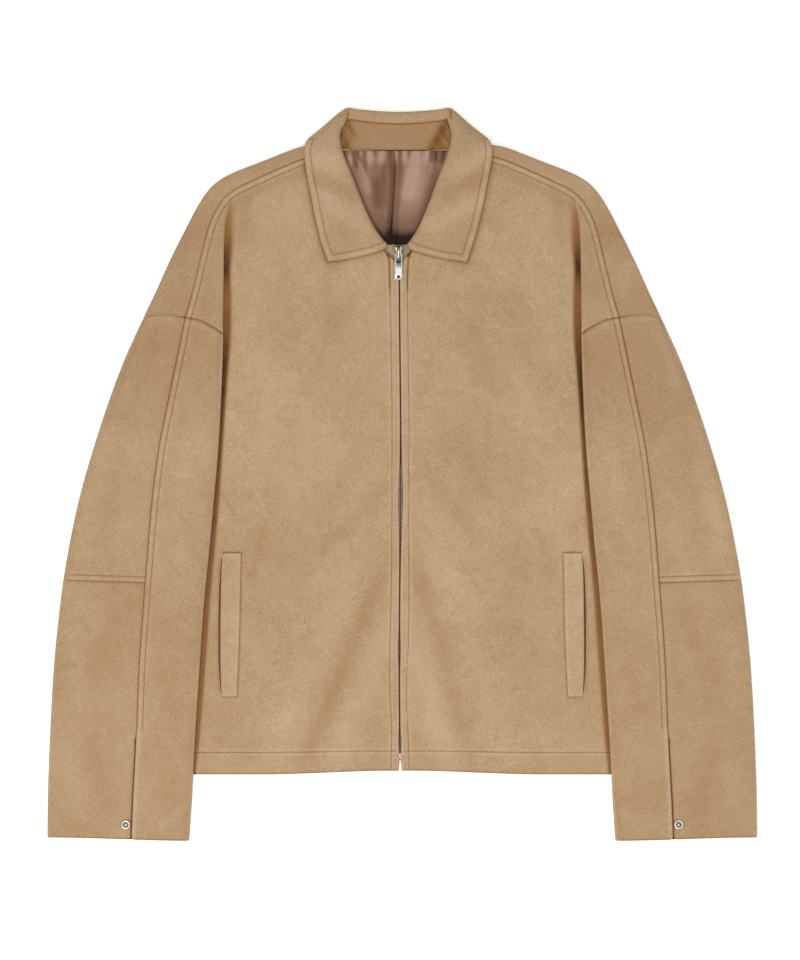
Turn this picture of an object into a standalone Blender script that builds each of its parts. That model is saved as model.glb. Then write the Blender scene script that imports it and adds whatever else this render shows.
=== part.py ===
"""Suede zip jacket, laid on its back with the zip closed and the sleeves down beside the body.

Every cut-and-sewn piece is a wall of cloth: a grid of points on its middle surface, given a
thickness along the grid's own normals. Lengths in the tables are millimetres. The axes are +X to
the right as seen from above, +Y towards the collar and +Z up from the floor, and the origin is
on the underside in the middle of the back. "h" is the distance outward from the body's centre
line, so that one table serves both sides.
"""

import math

import bpy
import numpy as np

MM = 0.001

# ---- driving sizes, millimetres -------------------------------------------------------------

WALL = 1.6                  # suede with its backing
TAPE_WALL = 1.0             # zip tape
LINING_WALL = 1.0
WELT_WALL = 1.4
SEAM_GAP = 0.4              # between two pieces that are sewn edge to edge
LAY_GAP = 0.3               # between a piece and the panel it lies on
FLOOR_MID = WALL / 2        # middle surface of cloth that rests on the floor

BODY_LIFT = 2.8             # front panels' middle surface above the back panel's
PLEAT_RADIUS = 1.15         # folds of the pleat beside the armhole
LAYER_PITCH = 2 * PLEAT_RADIUS
SHOULDER_RADIUS = 2.0       # back panel rolled over the shoulder
SIDE_RADIUS = BODY_LIFT / 2
SLEEVE_RADIUS = 2.4         # folds at both edges of a sleeve
SLEEVE_CROWN = 0.6          # how far a sleeve's upper layer swells between its folds

HEM_Y = -312.7
HEM_RISE = 4.2              # the hem is higher at the zip than at the sides
HEM_RISE_WIDTH = 150.0      # distance from the centre line at which that rise ends
HEM_RISE_Y = (-290.0, 20.0)     # where the rise starts, and the length over which it grows
UNDERARM_H = 280.2
UNDERARM_Y = 74.2
HEM_H = 254.7               # half the hem's width
SIDE_SLOPE = (UNDERARM_H - HEM_H) / (UNDERARM_Y - HEM_Y)
SIDE_STRIP = 1.5            # the back's edge past the roll at the side seam

ZIP_X = -3.0                # the zip lies a little off the centre line
ZIP_WAVE = 1.0
ZIP_WAVE_LENGTH = 424.0
ZIP_WAVE_START = 127.0
ZIP_HALF_GAP = 0.8
ZIP_OPENINGS = ((-21.0, 40.0, 1.2), (-180.0, 14.0, 0.5))    # height, half length, extra half gap
ZIP_TOP_Y = 234.0
ZIP_SPREAD = 4.4            # extra half gap round the slider
ZIP_SPREAD_Y = (216.0, 16.0)
ZIP_RIDGE = 1.9             # front edges are raised by the tape under them
ZIP_RIDGE_WIDTH = (12.0, 18.0)  # half width of the ridge, and the width over which it ends

# Soft rises of the body: how much, then pairs of where each starts and over what length.
SHOULDER_RISE = 1.2
SHOULDER_RISE_Y = (190.0, 90.0)
NECK_ROLL = 0.8             # the fronts swell round the neckline
NECK_ROLL_Y = (225.0, 30.0)
NECK_ROLL_H = (70.0, 40.0)
NECK_LIFT = 2.4             # the back panel lies on the folded-under part of the collar
NECK_LIFT_Y = (284.0, 32.0)
NECK_LIFT_H = (104.0, 26.0)

# A sleeve steps down from the body to the floor beside the side seam and below the hem: start
# outside the seam, width, start below the hem, length. The upper layer bridges in a wider curve.
UNDER_STEP = (6.0, 24.0, 32.0, 28.0)
OVER_STEP = (-6.0, 46.0, 36.0, 40.0)

ELBOW_Y = -107.5
VENT_Y = -281.0
CUFF_Y = -381.0
CUFF_DROP = 3.5             # the cuff's edge is lower towards the body
CUFF_LEVEL = 1.5
CUFF_DROP_Y = (-352.0, 25.0)
CUFF_DROP_H = (372.0, 150.0)
ARMHOLE_SWELL = 0.5         # of the sleeve's upper layer below the armhole
UPPER_LAYER_Z = 5.0         # cloth above this height is the sleeve's upper layer

SLIDER_Y = 242.0
TAB_AXIS_Y = 239.6
TAB_AXIS_Z = 9.4

SNAP_H = 293.5
SNAP_Y = -365.7
SNAP_RADIUS = 5.4

SUEDE = (0.50, 0.33, 0.18)
SUEDE_LIGHT = (0.54, 0.36, 0.20)
SUEDE_DEEP = (0.46, 0.30, 0.16)
SATIN = (0.40, 0.26, 0.19)
TAPE = (0.30, 0.20, 0.11)
STEEL = (0.72, 0.71, 0.69)


def table(columns, *rows):
    """Rows of numbers under named columns, as a dictionary of arrays."""
    return dict(zip(columns.split(), np.array(rows, dtype=float).T))


# The shoulder: station by station from the neck to the armhole, the outline where the back
# panel is rolled over (fold) and the seam where it meets the front panel (seam).
SHOULDER = table(
    "station fold_h fold_y seam_h seam_y seam_z",
    (0, 68.0, 358.0, 72.4, 349.0, 5.0),
    (2, 100.0, 355.2, 103.1, 341.3, 4.9),
    (4, 150.8, 337.6, 150.8, 321.7, 4.8),
    (6, 187.9, 322.2, 182.6, 305.3, 4.8),
    (7, 200.7, 313.2, 191.1, 296.8, 4.9),
    (8, 210.2, 302.1, 198.5, 285.1, 5.1),
    (9, 217.6, 290.4, 203.8, 273.5, 5.4),
    (11, 230.9, 265.0, 211.3, 247.0, 6.2),
    (13, 247.3, 232.1, 217.6, 220.5, 7.0),
    (15, 262.1, 199.3, 225.0, 190.8, 7.5),
    (17, 275.9, 170.7, 230.3, 172.8, 7.8))
CORNER = 7                  # station where the seam turns down towards the armhole
ARMHOLE = 17

# The armhole seam across the top of the sleeve, from the outline to the pleat's fold.
ARMHOLE_TOP = table(
    "h y",
    (275.9, 170.7), (267.4, 174.9), (256.8, 176.5), (246.2, 176.0), (230.3, 172.8),
    (214.4, 169.6), (203.8, 163.8), (196.6, 159.9), (192.1, 155.8))

# The pleat beside the armhole: for each row of the front panel, where its upper fold lies, how
# far the cloth turns, its rise, and how far out the hidden fold reaches.
PLEAT = table(
    "station edge_h edge_y turn rise hidden_h",
    (7, 184.0, 304.2, 20, 0.8, 0.0),
    (8, 186.0, 290.4, 40, 1.6, 0.0),
    (9, 188.0, 276.7, 65, 2.6, 0.0),
    (10, 188.7, 260.8, 95, 3.4, 0.0),
    (11, 189.0, 247.0, 130, 4.1, 0.0),
    (12, 189.2, 233.2, 180, 4.6, 197.5),
    (13, 189.4, 217.3, 180, 4.6, 202.0),
    (14, 189.6, 199.3, 180, 4.6, 206.0),
    (15, 189.8, 186.6, 180, 4.6, 210.0),
    (16, 190.0, 169.6, 180, 4.6, 216.0),
    (17, 190.1, 155.8, 180, 4.6, 222.0))

# Height of the inner end of each of those rows: six on the neckline, then the zip's edge.
ROW_START_Y = (350.0, 337.0, 321.0, 302.0, 282.0, 262.0, 247.0, 233.0, 212.0, 184.0, 155.8)
NECKLINE_ROWS = 7
NECKLINE_OUT = 6.5          # the neckline lies this far outside the collar's roll line

# Broad soft folds of the front panels: a straight line on one side, a half width and a height.
FOLDS = table(
    "side start_h start_y end_h end_y width height",
    (-1, 18.0, -92.0, 96.0, -282.0, 13, -0.7),
    (-1, 12.0, -140.0, 68.0, -292.0, 20, 1.3),
    (-1, 52.0, -95.0, 122.0, -262.0, 22, 0.8),
    (1, 10.0, -70.0, 78.0, -282.0, 13, -0.7),
    (1, 8.0, -140.0, 50.0, -292.0, 19, 1.3),
    (1, 42.0, -85.0, 104.0, -266.0, 22, 0.8))

# Where the front panel's free edge runs under the sleeve, from the pleat to the underarm.
UNDER_EDGE = table(
    "y h",
    (155.8, 222.0), (143.0, 233.5), (127.2, 244.0), (111.3, 256.0), (95.4, 266.5),
    (82.7, 273.5), (74.2, 276.1))
LOWER_ROWS = (143.0, 127.2, 111.3, 95.4, 82.7, 74.2, 42.4, 0.0, -42.0, -77.0, -127.0, -180.0,
              -230.0, -268.0, -290.0, HEM_Y)

# A sleeve below the armhole: outer fold, the seam down its upper side, inner fold and the seam
# on its under side.
SLEEVE = table(
    "y outer seam inner under",
    (170.7, 275.9, 230.3, 189.5, 286.0),
    (117.7, 299.2, 242.0, 190.8, 287.0),
    (42.4, 325.3, 256.8, 194.3, 292.0),
    (-22.3, 343.8, 265.5, 199.7, 301.0),
    (-73.1, 354.4, 270.0, 204.3, 303.0),
    (-127.2, 362.8, 274.2, 209.7, 302.5),
    (-200.3, 370.3, 279.4, 214.8, 301.0),
    (-276.7, 374.5, 282.4, 219.8, 299.0),
    (-340.3, 376.6, 286.0, 223.4, 297.0),
    (-384.0, 377.0, 287.8, 226.6, 296.0))
SLEEVE_ROWS = (42.4, 0.0, -42.0, -77.0, ELBOW_Y, -127.0, -170.0, -215.0, -255.0, VENT_Y, -303.0,
               -318.0, -330.0, -345.0, -365.0, CUFF_Y)
ARMHOLE_RINGS = 5

# The under side of the armhole: from the pleat's fold along the front, round the underarm.
RING_FRONT = table(
    "h y z",
    (192.1, 155.3, 5.9), (207.0, 155.3, 5.9), (222.0, 153.5, 5.9), (238.0, 133.5, 5.9),
    (253.0, 113.5, 5.9), (268.0, 92.0, 6.0), (279.5, 74.0, 6.3), (286.0, 65.5, 4.9))
RING_BACK = table(
    "h y z",
    (273.4, 169.2, 0.8), (277.6, 143.0, 0.8), (279.6, 115.0, 0.8), (282.0, 95.0, 1.2),
    (285.8, 78.0, 2.6), (286.9, 66.0, 4.5))

# The collar, station by station from the front end to the middle of the back: its roll line, the
# farthest point that the leaf reaches outward, where the leaf's edge ends and where the stand is
# sewn to the body. drop is the leaf's slope inside the roll line, in degrees; wrap is 0 where the
# leaf lies on the front and 1 where it is folded behind the neck; turned is the same for the
# stand. shift moves a point of the left half outward and of the right half inward, because the
# collar lies a little askew.
COLLAR = table(
    "roll_h roll_y roll_shift roll_z out_h out_y out_shift out_z edge_h edge_y"
    " drop wrap foot_h foot_y turned",
    (11.6, 247.0, 5.3, 11.4, 73.7, 231.0, 5.1, 9.4, 73.7, 231.0, 80, 0.0, 14.5, 246.0, 0.0),
    (26.0, 268.0, 6.3, 12.6, 81.0, 252.0, 5.3, 9.4, 81.0, 252.0, 80, 0.0, 30.5, 265.5, 0.0),
    (37.4, 293.6, 6.8, 13.6, 87.2, 276.0, 4.9, 9.6, 87.2, 276.0, 80, 0.0, 42.1, 291.5, 0.0),
    (47.8, 321.0, 7.1, 14.2, 92.8, 303.0, 4.6, 10.0, 92.8, 303.0, 80, 0.0, 52.4, 319.1, 0.0),
    (56.2, 343.0, 7.1, 14.4, 97.6, 328.0, 4.6, 10.4, 97.6, 328.0, 78, 0.0, 59.4, 341.4, 0.0),
    (59.2, 356.0, 7.1, 14.2, 100.0, 347.0, 4.2, 10.6, 100.0, 347.0, 72, 0.0, 61.2, 350.5, 0.2),
    (59.4, 366.0, 6.8, 13.4, 99.2, 362.0, 4.2, 9.6, 99.2, 362.0, 62, 0.0, 60.5, 352.0, 0.5),
    (58.2, 373.0, 6.4, 12.2, 95.6, 367.0, 4.2, 6.2, 94.0, 358.0, 48, 1.0, 58.2, 352.4, 0.8),
    (56.6, 380.0, 6.0, 10.6, 86.0, 373.5, 4.0, 5.6, 89.0, 344.0, 34, 1.0, 54.5, 352.0, 1.0),
    (53.0, 385.5, 5.2, 8.4, 74.0, 382.0, 3.8, 5.2, 79.0, 335.0, 18, 1.0, 49.5, 351.4, 1.0),
    (46.5, 388.6, 4.2, 6.4, 58.0, 390.5, 3.4, 5.0, 60.0, 328.0, 7, 1.0, 42.0, 350.8, 1.0),
    (25.0, 388.3, 3.6, 5.5, 27.5, 392.6, 3.5, 4.6, 30.0, 324.0, 2, 1.0, 22.0, 350.4, 1.0),
    (0.0, 388.0, 3.5, 5.4, 0.0, 392.7, 3.5, 4.6, 0.0, 323.5, 0, 1.0, 0.0, 350.3, 1.0))
NECK_STATIONS = 8           # rows of the collar table that the neckline follows

LINING = table(
    "y half centre",
    (349.4, 68.0, -5.5), (340.0, 69.0, -7.0), (323.0, 60.5, -7.0), (305.0, 52.0, -6.5),
    (285.0, 43.0, -6.5), (265.0, 33.0, -6.0), (250.0, 24.0, -5.0))
LINING_CELLS = 8


def smooth(x, y, at):
    """Smooth curve through (x, y), which never swings past its own points.

    Each interval is a cubic whose end slopes are the harmonic means of the slopes beside it.
    """
    if x[0] > x[-1]:
        x, y = x[::-1], y[::-1]
    at = np.clip(np.asarray(at, dtype=float), x[0], x[-1])
    step = np.diff(x)
    slope = np.diff(y) / step
    inner = np.zeros(len(x) - 2)
    same = slope[:-1] * slope[1:] > 0
    inner[same] = 2 / (1 / slope[:-1][same] + 1 / slope[1:][same])
    ends = np.concatenate(([slope[0]], inner, [slope[-1]]))
    i = np.clip(np.searchsorted(x, at, side="right") - 1, 0, len(step) - 1)
    t = (at - x[i]) / step[i]
    return (y[i] * (1 + 2 * t) * (1 - t) ** 2 + y[i + 1] * t ** 2 * (3 - 2 * t)
            + step[i] * t * (1 - t) * (ends[i] * (1 - t) - ends[i + 1] * t))


def ease(value):
    """0 below 0, 1 above 1, and a smooth step between."""
    value = np.clip(value, 0.0, 1.0)
    return value * value * (3 - 2 * value)


def along(points, count):
    """Points evenly spaced along a polyline, its two ends included."""
    points = np.asarray(points, dtype=float)
    length = np.concatenate(([0], np.cumsum(np.linalg.norm(np.diff(points, axis=0), axis=1))))
    at = np.linspace(0, length[-1], count)
    return np.stack([np.interp(at, length, points[:, k]) for k in range(points.shape[1])], axis=1)


# ---- heights of the layers ------------------------------------------------------------------

def risen(value, start_and_span):
    """Share of a rise that starts at one value and is whole a span beyond it."""
    start, span = start_and_span
    return ease((value - start) / span)


def neck_lift(h, y):
    """How much the collar leaf under the neck raises the back panel: 0 away from it."""
    return NECK_LIFT * risen(y, NECK_LIFT_Y) * (1 - risen(np.abs(h), NECK_LIFT_H))


def back_z(h, y):
    """Middle surface of the back panel."""
    return FLOOR_MID + neck_lift(h, y)


def zip_x(y):
    """Centre of the zip, which wanders a little."""
    return ZIP_X + ZIP_WAVE * np.sin(2 * math.pi * (ZIP_WAVE_START - y) / ZIP_WAVE_LENGTH)


def zip_half_gap(y):
    """Half the width between the two front edges."""
    opening = sum(extra * np.exp(-((y - middle) / half) ** 2) for middle, half, extra in ZIP_OPENINGS)
    return ZIP_HALF_GAP + opening + ZIP_SPREAD * risen(y, ZIP_SPREAD_Y)


def fold_height(h, y, side):
    """Sum of the soft folds: a bell across each line, which fades past the line's ends."""
    total = np.zeros(np.shape(h))
    for fold_side, start_h, start_y, end_h, end_y, width, height in zip(*FOLDS.values()):
        run_h, run_y = end_h - start_h, end_y - start_y
        length = math.hypot(run_h, run_y)
        share = ((h - start_h) * run_h + (y - start_y) * run_y) / length ** 2
        across = ((h - start_h) * run_y - (y - start_y) * run_h) / length
        fade = ease((share + 0.25) / 0.5) * ease((1.3 - share) / 0.4)
        total = total + np.where(side == fold_side, height, 0.0) * fade * np.exp(-(across / width) ** 2)
    return total


def body_z(h, y, side):
    """Middle surface of a front panel where it lies on the back."""
    from_zip = np.abs(side * h - zip_x(y))
    ridge = ZIP_RIDGE * (1 - risen(from_zip, ZIP_RIDGE_WIDTH))
    shoulder = SHOULDER_RISE * risen(y, SHOULDER_RISE_Y)
    round_neck = NECK_ROLL * risen(y, NECK_ROLL_Y) * (1 - risen(np.abs(h), NECK_ROLL_H))
    level = back_z(h, y) + BODY_LIFT + np.maximum(ridge, shoulder) + round_neck
    return level + fold_height(h, y, side)


def side_h(y):
    """Outer edge of the body below the underarm."""
    return UNDERARM_H - SIDE_SLOPE * (UNDERARM_Y - y)


def sleeve_z(h, y, step):
    """Middle surface of a sleeve's layer: on the body, then down to the floor in a given step."""
    side_start, side_span, hem_start, hem_span = step
    on_body = 1 - ease((h - side_h(y) - side_start) / side_span)
    above_hem = ease((y - HEM_Y + hem_start) / hem_span)
    return FLOOR_MID + (BODY_LIFT + LAYER_PITCH) * on_body * above_hem


# ---- walls of cloth -------------------------------------------------------------------------

def make_material(name, color, roughness, metallic):
    """A plain Principled material."""
    material = bpy.data.materials.new(name)
    material.use_nodes = True
    shader = material.node_tree.nodes["Principled BSDF"]
    shader.inputs["Base Color"].default_value = (*color, 1.0)
    shader.inputs["Roughness"].default_value = roughness
    shader.inputs["Metallic"].default_value = metallic
    return material


def add_object(name, vertices, faces, color, roughness=0.9, metallic=0.0, sharp=50):
    """A named object from vertices in metres, with its own material."""
    mesh = bpy.data.meshes.new(name)
    mesh.from_pydata([tuple(v) for v in vertices], [], [tuple(f) for f in faces])
    mesh.validate()
    mesh.shade_smooth()
    mesh.set_sharp_from_angle(angle=math.radians(sharp))
    mesh.materials.append(make_material(name, color, roughness, metallic))
    piece = bpy.data.objects.new(name, mesh)
    bpy.context.scene.collection.objects.link(piece)
    return piece


def wall(name, middle, thickness, color, keep=None, roughness=0.9):
    """A closed wall of cloth round a grid of points.

    middle holds rows x columns x 3 points in millimetres. keep marks the cells that the piece
    has, all of them by default, so that a grid can have a notch.
    """
    rows, columns = middle.shape[:2]
    ids = np.arange(rows * columns).reshape(rows, columns)
    quads = np.stack([ids[:-1, :-1], ids[:-1, 1:], ids[1:, 1:], ids[1:, :-1]], axis=-1)
    if keep is not None:
        quads = quads[keep]
    quads = quads.reshape(-1, 4)
    points = middle.reshape(-1, 3)
    corner = points[quads]
    face_normal = np.cross(corner[:, 2] - corner[:, 0], corner[:, 3] - corner[:, 1])
    face_normal /= np.linalg.norm(face_normal, axis=1, keepdims=True)
    normal = np.zeros_like(points)
    for k in range(4):
        np.add.at(normal, quads[:, k], face_normal)
    used, renumbered = np.unique(quads, return_inverse=True)
    quads = renumbered.reshape(-1, 4)
    points, normal = points[used], normal[used]
    normal /= np.linalg.norm(normal, axis=1, keepdims=True)
    count = len(points)
    directed = {(int(q[k]), int(q[(k + 1) % 4])) for q in quads for k in range(4)}
    rim = [(b, a, a + count, b + count) for a, b in sorted(directed) if (b, a) not in directed]
    faces = [tuple(int(v) for v in q) for q in quads]
    faces += [tuple(int(v) + count for v in q[::-1]) for q in quads]
    vertices = np.concatenate([points + normal * thickness / 2, points - normal * thickness / 2])
    return add_object(name, vertices * MM, faces + rim, color, roughness)


def placed(half, side):
    """A grid in (h, y, z) as one in (x, y, z) on a side: -1 is left, 1 is right."""
    grid = np.array(half)
    grid[..., 0] *= side
    return grid


def side_name(base, side):
    """The node's name on that side."""
    return f"{base}_{'left' if side < 0 else 'right'}"


# ---- the shoulder line, shared by the back and the fronts -----------------------------------

STATIONS = np.arange(ARMHOLE + 1)


def shoulder_curve(name, station=STATIONS):
    """A column of the shoulder table at any station."""
    return smooth(SHOULDER["station"], SHOULDER[name], station)


def outward(h, y):
    """Unit vectors to the outside of a curve that runs outward and down."""
    dh, dy = np.gradient(h), np.gradient(y)
    length = np.hypot(dh, dy)
    return np.stack([-dy / length, dh / length], axis=1)


def shoulder_lift():
    """Height of the seam above its plain value, where the neck raises it."""
    return neck_lift(shoulder_curve("seam_h"), shoulder_curve("seam_y"))


def armhole_points():
    """The armhole seam from the outline to the pleat as h, y, z."""
    h, y = ARMHOLE_TOP["h"], ARMHOLE_TOP["y"]
    seam_h, seam_z = SHOULDER["seam_h"][-1], SHOULDER["seam_z"][-1]
    outline_z = FLOOR_MID + 2 * SHOULDER_RADIUS
    fold_z = FLOOR_MID + BODY_LIFT + 2 * LAYER_PITCH
    z = np.interp(-h, [-h[0], -seam_h, -h[-1]], [outline_z, seam_z, fold_z])
    return np.stack([h, y, z], axis=1)


def armhole_part(start_h, end_h, count):
    """Evenly spaced points of the armhole seam between two distances from the centre line."""
    points = armhole_points()
    low, high = min(start_h, end_h), max(start_h, end_h)
    inside = points[(points[:, 0] > low + 0.5) & (points[:, 0] < high - 0.5)]
    ends = [[h, np.interp(h, points[::-1, 0], points[::-1, 1]),
             np.interp(h, points[::-1, 0], points[::-1, 2])] for h in (high, low)]
    path = np.vstack([ends[0], inside, ends[1]])
    if start_h < end_h:
        path = path[::-1]
    return along(path, count)


# ---- back panel -----------------------------------------------------------------------------

BACK_BOTTOM_CELLS = 5
ROLL_CELLS = 4
WRAP_CELLS = 4
BACK_LOWER_ROWS = (143.0, 115.0, 92.0, 74.2, 42.0, 0.0, -55.0, -110.0, -165.0, -220.0, -265.0,
                   -290.0, -310.5)
BACK_HEM_RISE = 13.0        # the back's hem is drawn up in the middle
BACK_HEM_Y = -275.0         # where that starts
BACK_HEM_SPAN = 35.0
NOTCH_ROWS = 4              # rows beside the armhole, where the back panel has a plain edge
NOTCH_TOP = (170.7, 275.4)  # height and half width of the back at the upper end of that edge
NECK_DIP = 6.0              # the middle of the back's neckline below its ends
NECK_DIP_STATIONS = 9


def roll(start, direction, radius, cells):
    """An upward half turn of cloth: points from start outward, up and over."""
    angle = np.linspace(0, math.pi, cells + 1)[1:]
    out = np.sin(angle) * radius
    up = (1 - np.cos(angle)) * radius
    return np.stack([start[0] + direction[0] * out, start[1] + direction[1] * out,
                     start[2] + up], axis=1)


def back_rows():
    """Half rows of the back panel from the centre line outward, over the shoulder to the seam."""
    fold_h, fold_y = shoulder_curve("fold_h"), shoulder_curve("fold_y")
    seam_h, seam_y = shoulder_curve("seam_h"), shoulder_curve("seam_y")
    seam_z = shoulder_curve("seam_z") + shoulder_lift()
    out = outward(fold_h, fold_y)
    inset = SHOULDER_RADIUS + WALL / 2
    rows = []
    for s in STATIONS:
        start_h, start_y = fold_h[s] - out[s, 0] * inset, fold_y[s] - out[s, 1] * inset
        if s == ARMHOLE:
            start_h, start_y = start_h - SEAM_GAP, start_y + SEAM_GAP
        dip = NECK_DIP * ease(1 - s / NECK_DIP_STATIONS)
        h = np.linspace(0, start_h, BACK_BOTTOM_CELLS + 1)
        y = start_y - dip * (1 - (h / start_h) ** 2)
        bottom = np.stack([h, y, back_z(h, y)], axis=1)
        turn = roll(bottom[-1], out[s], SHOULDER_RADIUS, ROLL_CELLS)
        end = np.array([seam_h[s], seam_y[s], seam_z[s]])
        onward = (end - turn[-1])[:2]
        end[:2] -= onward / np.linalg.norm(onward) * SEAM_GAP / 2
        strip = np.linspace(turn[-1], end, WRAP_CELLS + 1)[1:]
        if s == ARMHOLE:
            strip = armhole_part(turn[-1, 0], end[0], WRAP_CELLS + 1)[1:]
            strip[:, 1] += SEAM_GAP / 2
        rows.append(np.concatenate([bottom, turn, strip]))
    return rows


def back_lower_rows():
    """The same below the armhole: a plain edge, then a narrow roll up the side seam."""
    rows = []
    for number, y in enumerate(BACK_LOWER_ROWS):
        at_side = number >= NOTCH_ROWS - 1
        edge = side_h(y) - WALL / 2 - SIDE_RADIUS
        if not at_side:
            edge = np.interp(y, [UNDERARM_Y, NOTCH_TOP[0]], [UNDERARM_H - SIDE_STRIP, NOTCH_TOP[1]])
        h = np.linspace(0, edge, BACK_BOTTOM_CELLS + 1)
        drawn_up = BACK_HEM_RISE * (1 - (h / edge) ** 2) * ease((BACK_HEM_Y - y) / BACK_HEM_SPAN)
        bottom = np.stack([h, y + drawn_up, back_z(h, y)], axis=1)
        turn = roll(bottom[-1], (1.0, 0.0), SIDE_RADIUS, ROLL_CELLS)
        strip_end = turn[-1] - [SIDE_STRIP * WRAP_CELLS, 0, 0]
        strip = np.linspace(turn[-1], strip_end, WRAP_CELLS + 1)[1:]
        rows.append(np.concatenate([bottom, turn, strip]))
    return rows


def build_back():
    """The back panel, with both shoulders wrapped over to the front."""
    half = np.array(back_rows() + back_lower_rows())
    middle = np.concatenate([placed(half[:, :0:-1], -1), half], axis=1)
    beyond = np.zeros((half.shape[0] - 1, half.shape[1] - 1), dtype=bool)
    beyond[:, :BACK_BOTTOM_CELLS] = True
    beyond[:ARMHOLE] = True
    beyond[ARMHOLE + NOTCH_ROWS:, :BACK_BOTTOM_CELLS + ROLL_CELLS + 1] = True
    keep = np.concatenate([beyond[:, ::-1], beyond], axis=1)
    wall("back", middle[::-1], WALL, SUEDE, keep[::-1])


# ---- front panels ---------------------------------------------------------------------------

FRONT_CELLS = 15
SEAM_SAMPLES = 200          # points that the shoulder seam is measured on
SEAM_EASE = 0.1             # more gap where the seam is curved
PLEAT_TURN_CELLS = 4
PLEAT_RUN_CELLS = 1
TOP_RUN_CELLS = 4


def pleat_path(turn_deg, rise, hidden, edge_h):
    """The pleat's section as distances outward and heights from where the cloth starts to turn.

    An arc turns the cloth up by the given angle, a straight run follows, and a second arc turns
    it back. Below half a turn the run makes up the rise; at half a turn it is as long as the
    hidden fold needs.
    """
    turn = math.radians(turn_deg)
    r = PLEAT_RADIUS
    if turn_deg < 180:
        run = (rise - 2 * r * (1 - math.cos(turn))) / math.sin(turn)
    else:
        run = hidden - edge_h - 2 * r - WALL
    angle = np.linspace(0, turn, PLEAT_TURN_CELLS + 1)
    first = np.stack([r * np.sin(angle), r * (1 - np.cos(angle))], axis=1)
    end = first[-1] + run * np.array([math.cos(turn), math.sin(turn)])
    straight = np.linspace(first[-1], end, PLEAT_RUN_CELLS + 1)[1:]
    centre = end + r * np.array([math.sin(turn), -math.cos(turn)])
    second = centre + r * np.stack([-np.sin(angle[::-1]), np.cos(angle[::-1])], axis=1)[1:]
    path = np.concatenate([first, straight, second])
    start = edge_h + r + WALL / 2 - centre[0]
    return path, start


def row_start(index, side):
    """The inner end of a front panel's upper row, on the neckline or on the zip's edge."""
    y = ROW_START_Y[index]
    if index >= NECKLINE_ROWS:
        return np.array([side * zip_x(y) + zip_half_gap(y), y])
    neck = {key: column[:NECK_STATIONS] for key, column in COLLAR.items()}
    roll_h = smooth(neck["roll_y"], neck["roll_h"], y)
    askew = smooth(neck["roll_y"], neck["roll_shift"], y)
    return np.array([roll_h - side * askew + NECKLINE_OUT, y])


def seam_points():
    """The forward shoulder seam at every station, as h, y, z."""
    return np.stack([shoulder_curve("seam_h"), shoulder_curve("seam_y"),
                     shoulder_curve("seam_z") + shoulder_lift()], axis=1)


def front_upper_row(index, side):
    """One row of a front panel above the armhole."""
    station = PLEAT["station"][index]
    seam = seam_points()
    path, start = pleat_path(PLEAT["turn"][index], PLEAT["rise"][index],
                             PLEAT["hidden_h"][index], PLEAT["edge_h"][index])
    edge_y = PLEAT["edge_y"][index]
    inner = row_start(index, side)
    if index == 0:
        first = along(seam[:CORNER + 1], SEAM_SAMPLES)
        first = first[first[:, 0] < start]
        body = along(first, FRONT_CELLS + 1)
        body[:, 1] -= SEAM_GAP / 2 + SEAM_EASE
        heading = seam[CORNER, :2] - body[-1, :2]
        heading /= np.linalg.norm(heading)
    else:
        h = np.linspace(inner[0], start, FRONT_CELLS + 1)
        y = np.linspace(inner[1], edge_y, FRONT_CELLS + 1)
        body = np.stack([h, y, body_z(h, y, side)], axis=1)
        heading = np.array([1.0, 0.0])
    base = body[-1]
    pleat = np.stack([base[0] + heading[0] * path[1:, 0], base[1] + heading[1] * path[1:, 0],
                      base[2] + path[1:, 1]], axis=1)
    last = pleat[-1]
    end = seam[int(station)].copy()
    inward = last[:2] - end[:2]
    end[:2] += inward / np.linalg.norm(inward) * SEAM_GAP / 2
    if station == ARMHOLE:
        top = armhole_part(last[0], end[0], TOP_RUN_CELLS + 1)
        top[:, 1] += SEAM_GAP / 2
        pleat[-1] = top[0]
        return np.concatenate([body, pleat, top[1:]])
    return np.concatenate([body, pleat, np.linspace(last, end, TOP_RUN_CELLS + 1)[1:]])


def front_lower_row(y, side, columns):
    """One row of a front panel below the armhole, from the zip to its free edge."""
    inner = side * zip_x(y) + zip_half_gap(y)
    if y >= UNDERARM_Y:
        outer = np.interp(y, UNDER_EDGE["y"][::-1], UNDER_EDGE["h"][::-1])
    else:
        outer = side_h(y) - WALL / 2 - SIDE_RADIUS - SIDE_STRIP - SEAM_GAP
    h = np.linspace(inner, outer, FRONT_CELLS + 1)
    rise_y, rise_span = HEM_RISE_Y
    hem = HEM_RISE * (1 - ease(h / HEM_RISE_WIDTH)) * ease((rise_y - y) / rise_span)
    body = np.stack([h, y + hem, body_z(h, y, side)], axis=1)
    filler = np.repeat(body[-1:], columns - len(body), axis=0)
    return np.concatenate([body, filler])


def build_front(side):
    """A front panel with its pleat beside the armhole."""
    rows = [front_upper_row(i, side) for i in range(len(PLEAT["station"]))]
    columns = len(rows[0])
    upper = len(rows)
    rows += [front_lower_row(y, side, columns) for y in LOWER_ROWS]
    half = np.array(rows)
    keep = np.zeros((half.shape[0] - 1, columns - 1), dtype=bool)
    keep[:upper - 1] = True
    keep[:, :FRONT_CELLS] = True
    wall(side_name("front", side), placed(half, side), WALL, SUEDE_LIGHT, keep)


# ---- sleeves --------------------------------------------------------------------------------

TOP_CELLS = 4
FOLD_CELLS = 4
UNDER_CELLS = 5


def arm(name, y):
    """A column of the sleeve table at any height."""
    return smooth(SLEEVE["y"], SLEEVE[name], y)


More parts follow.
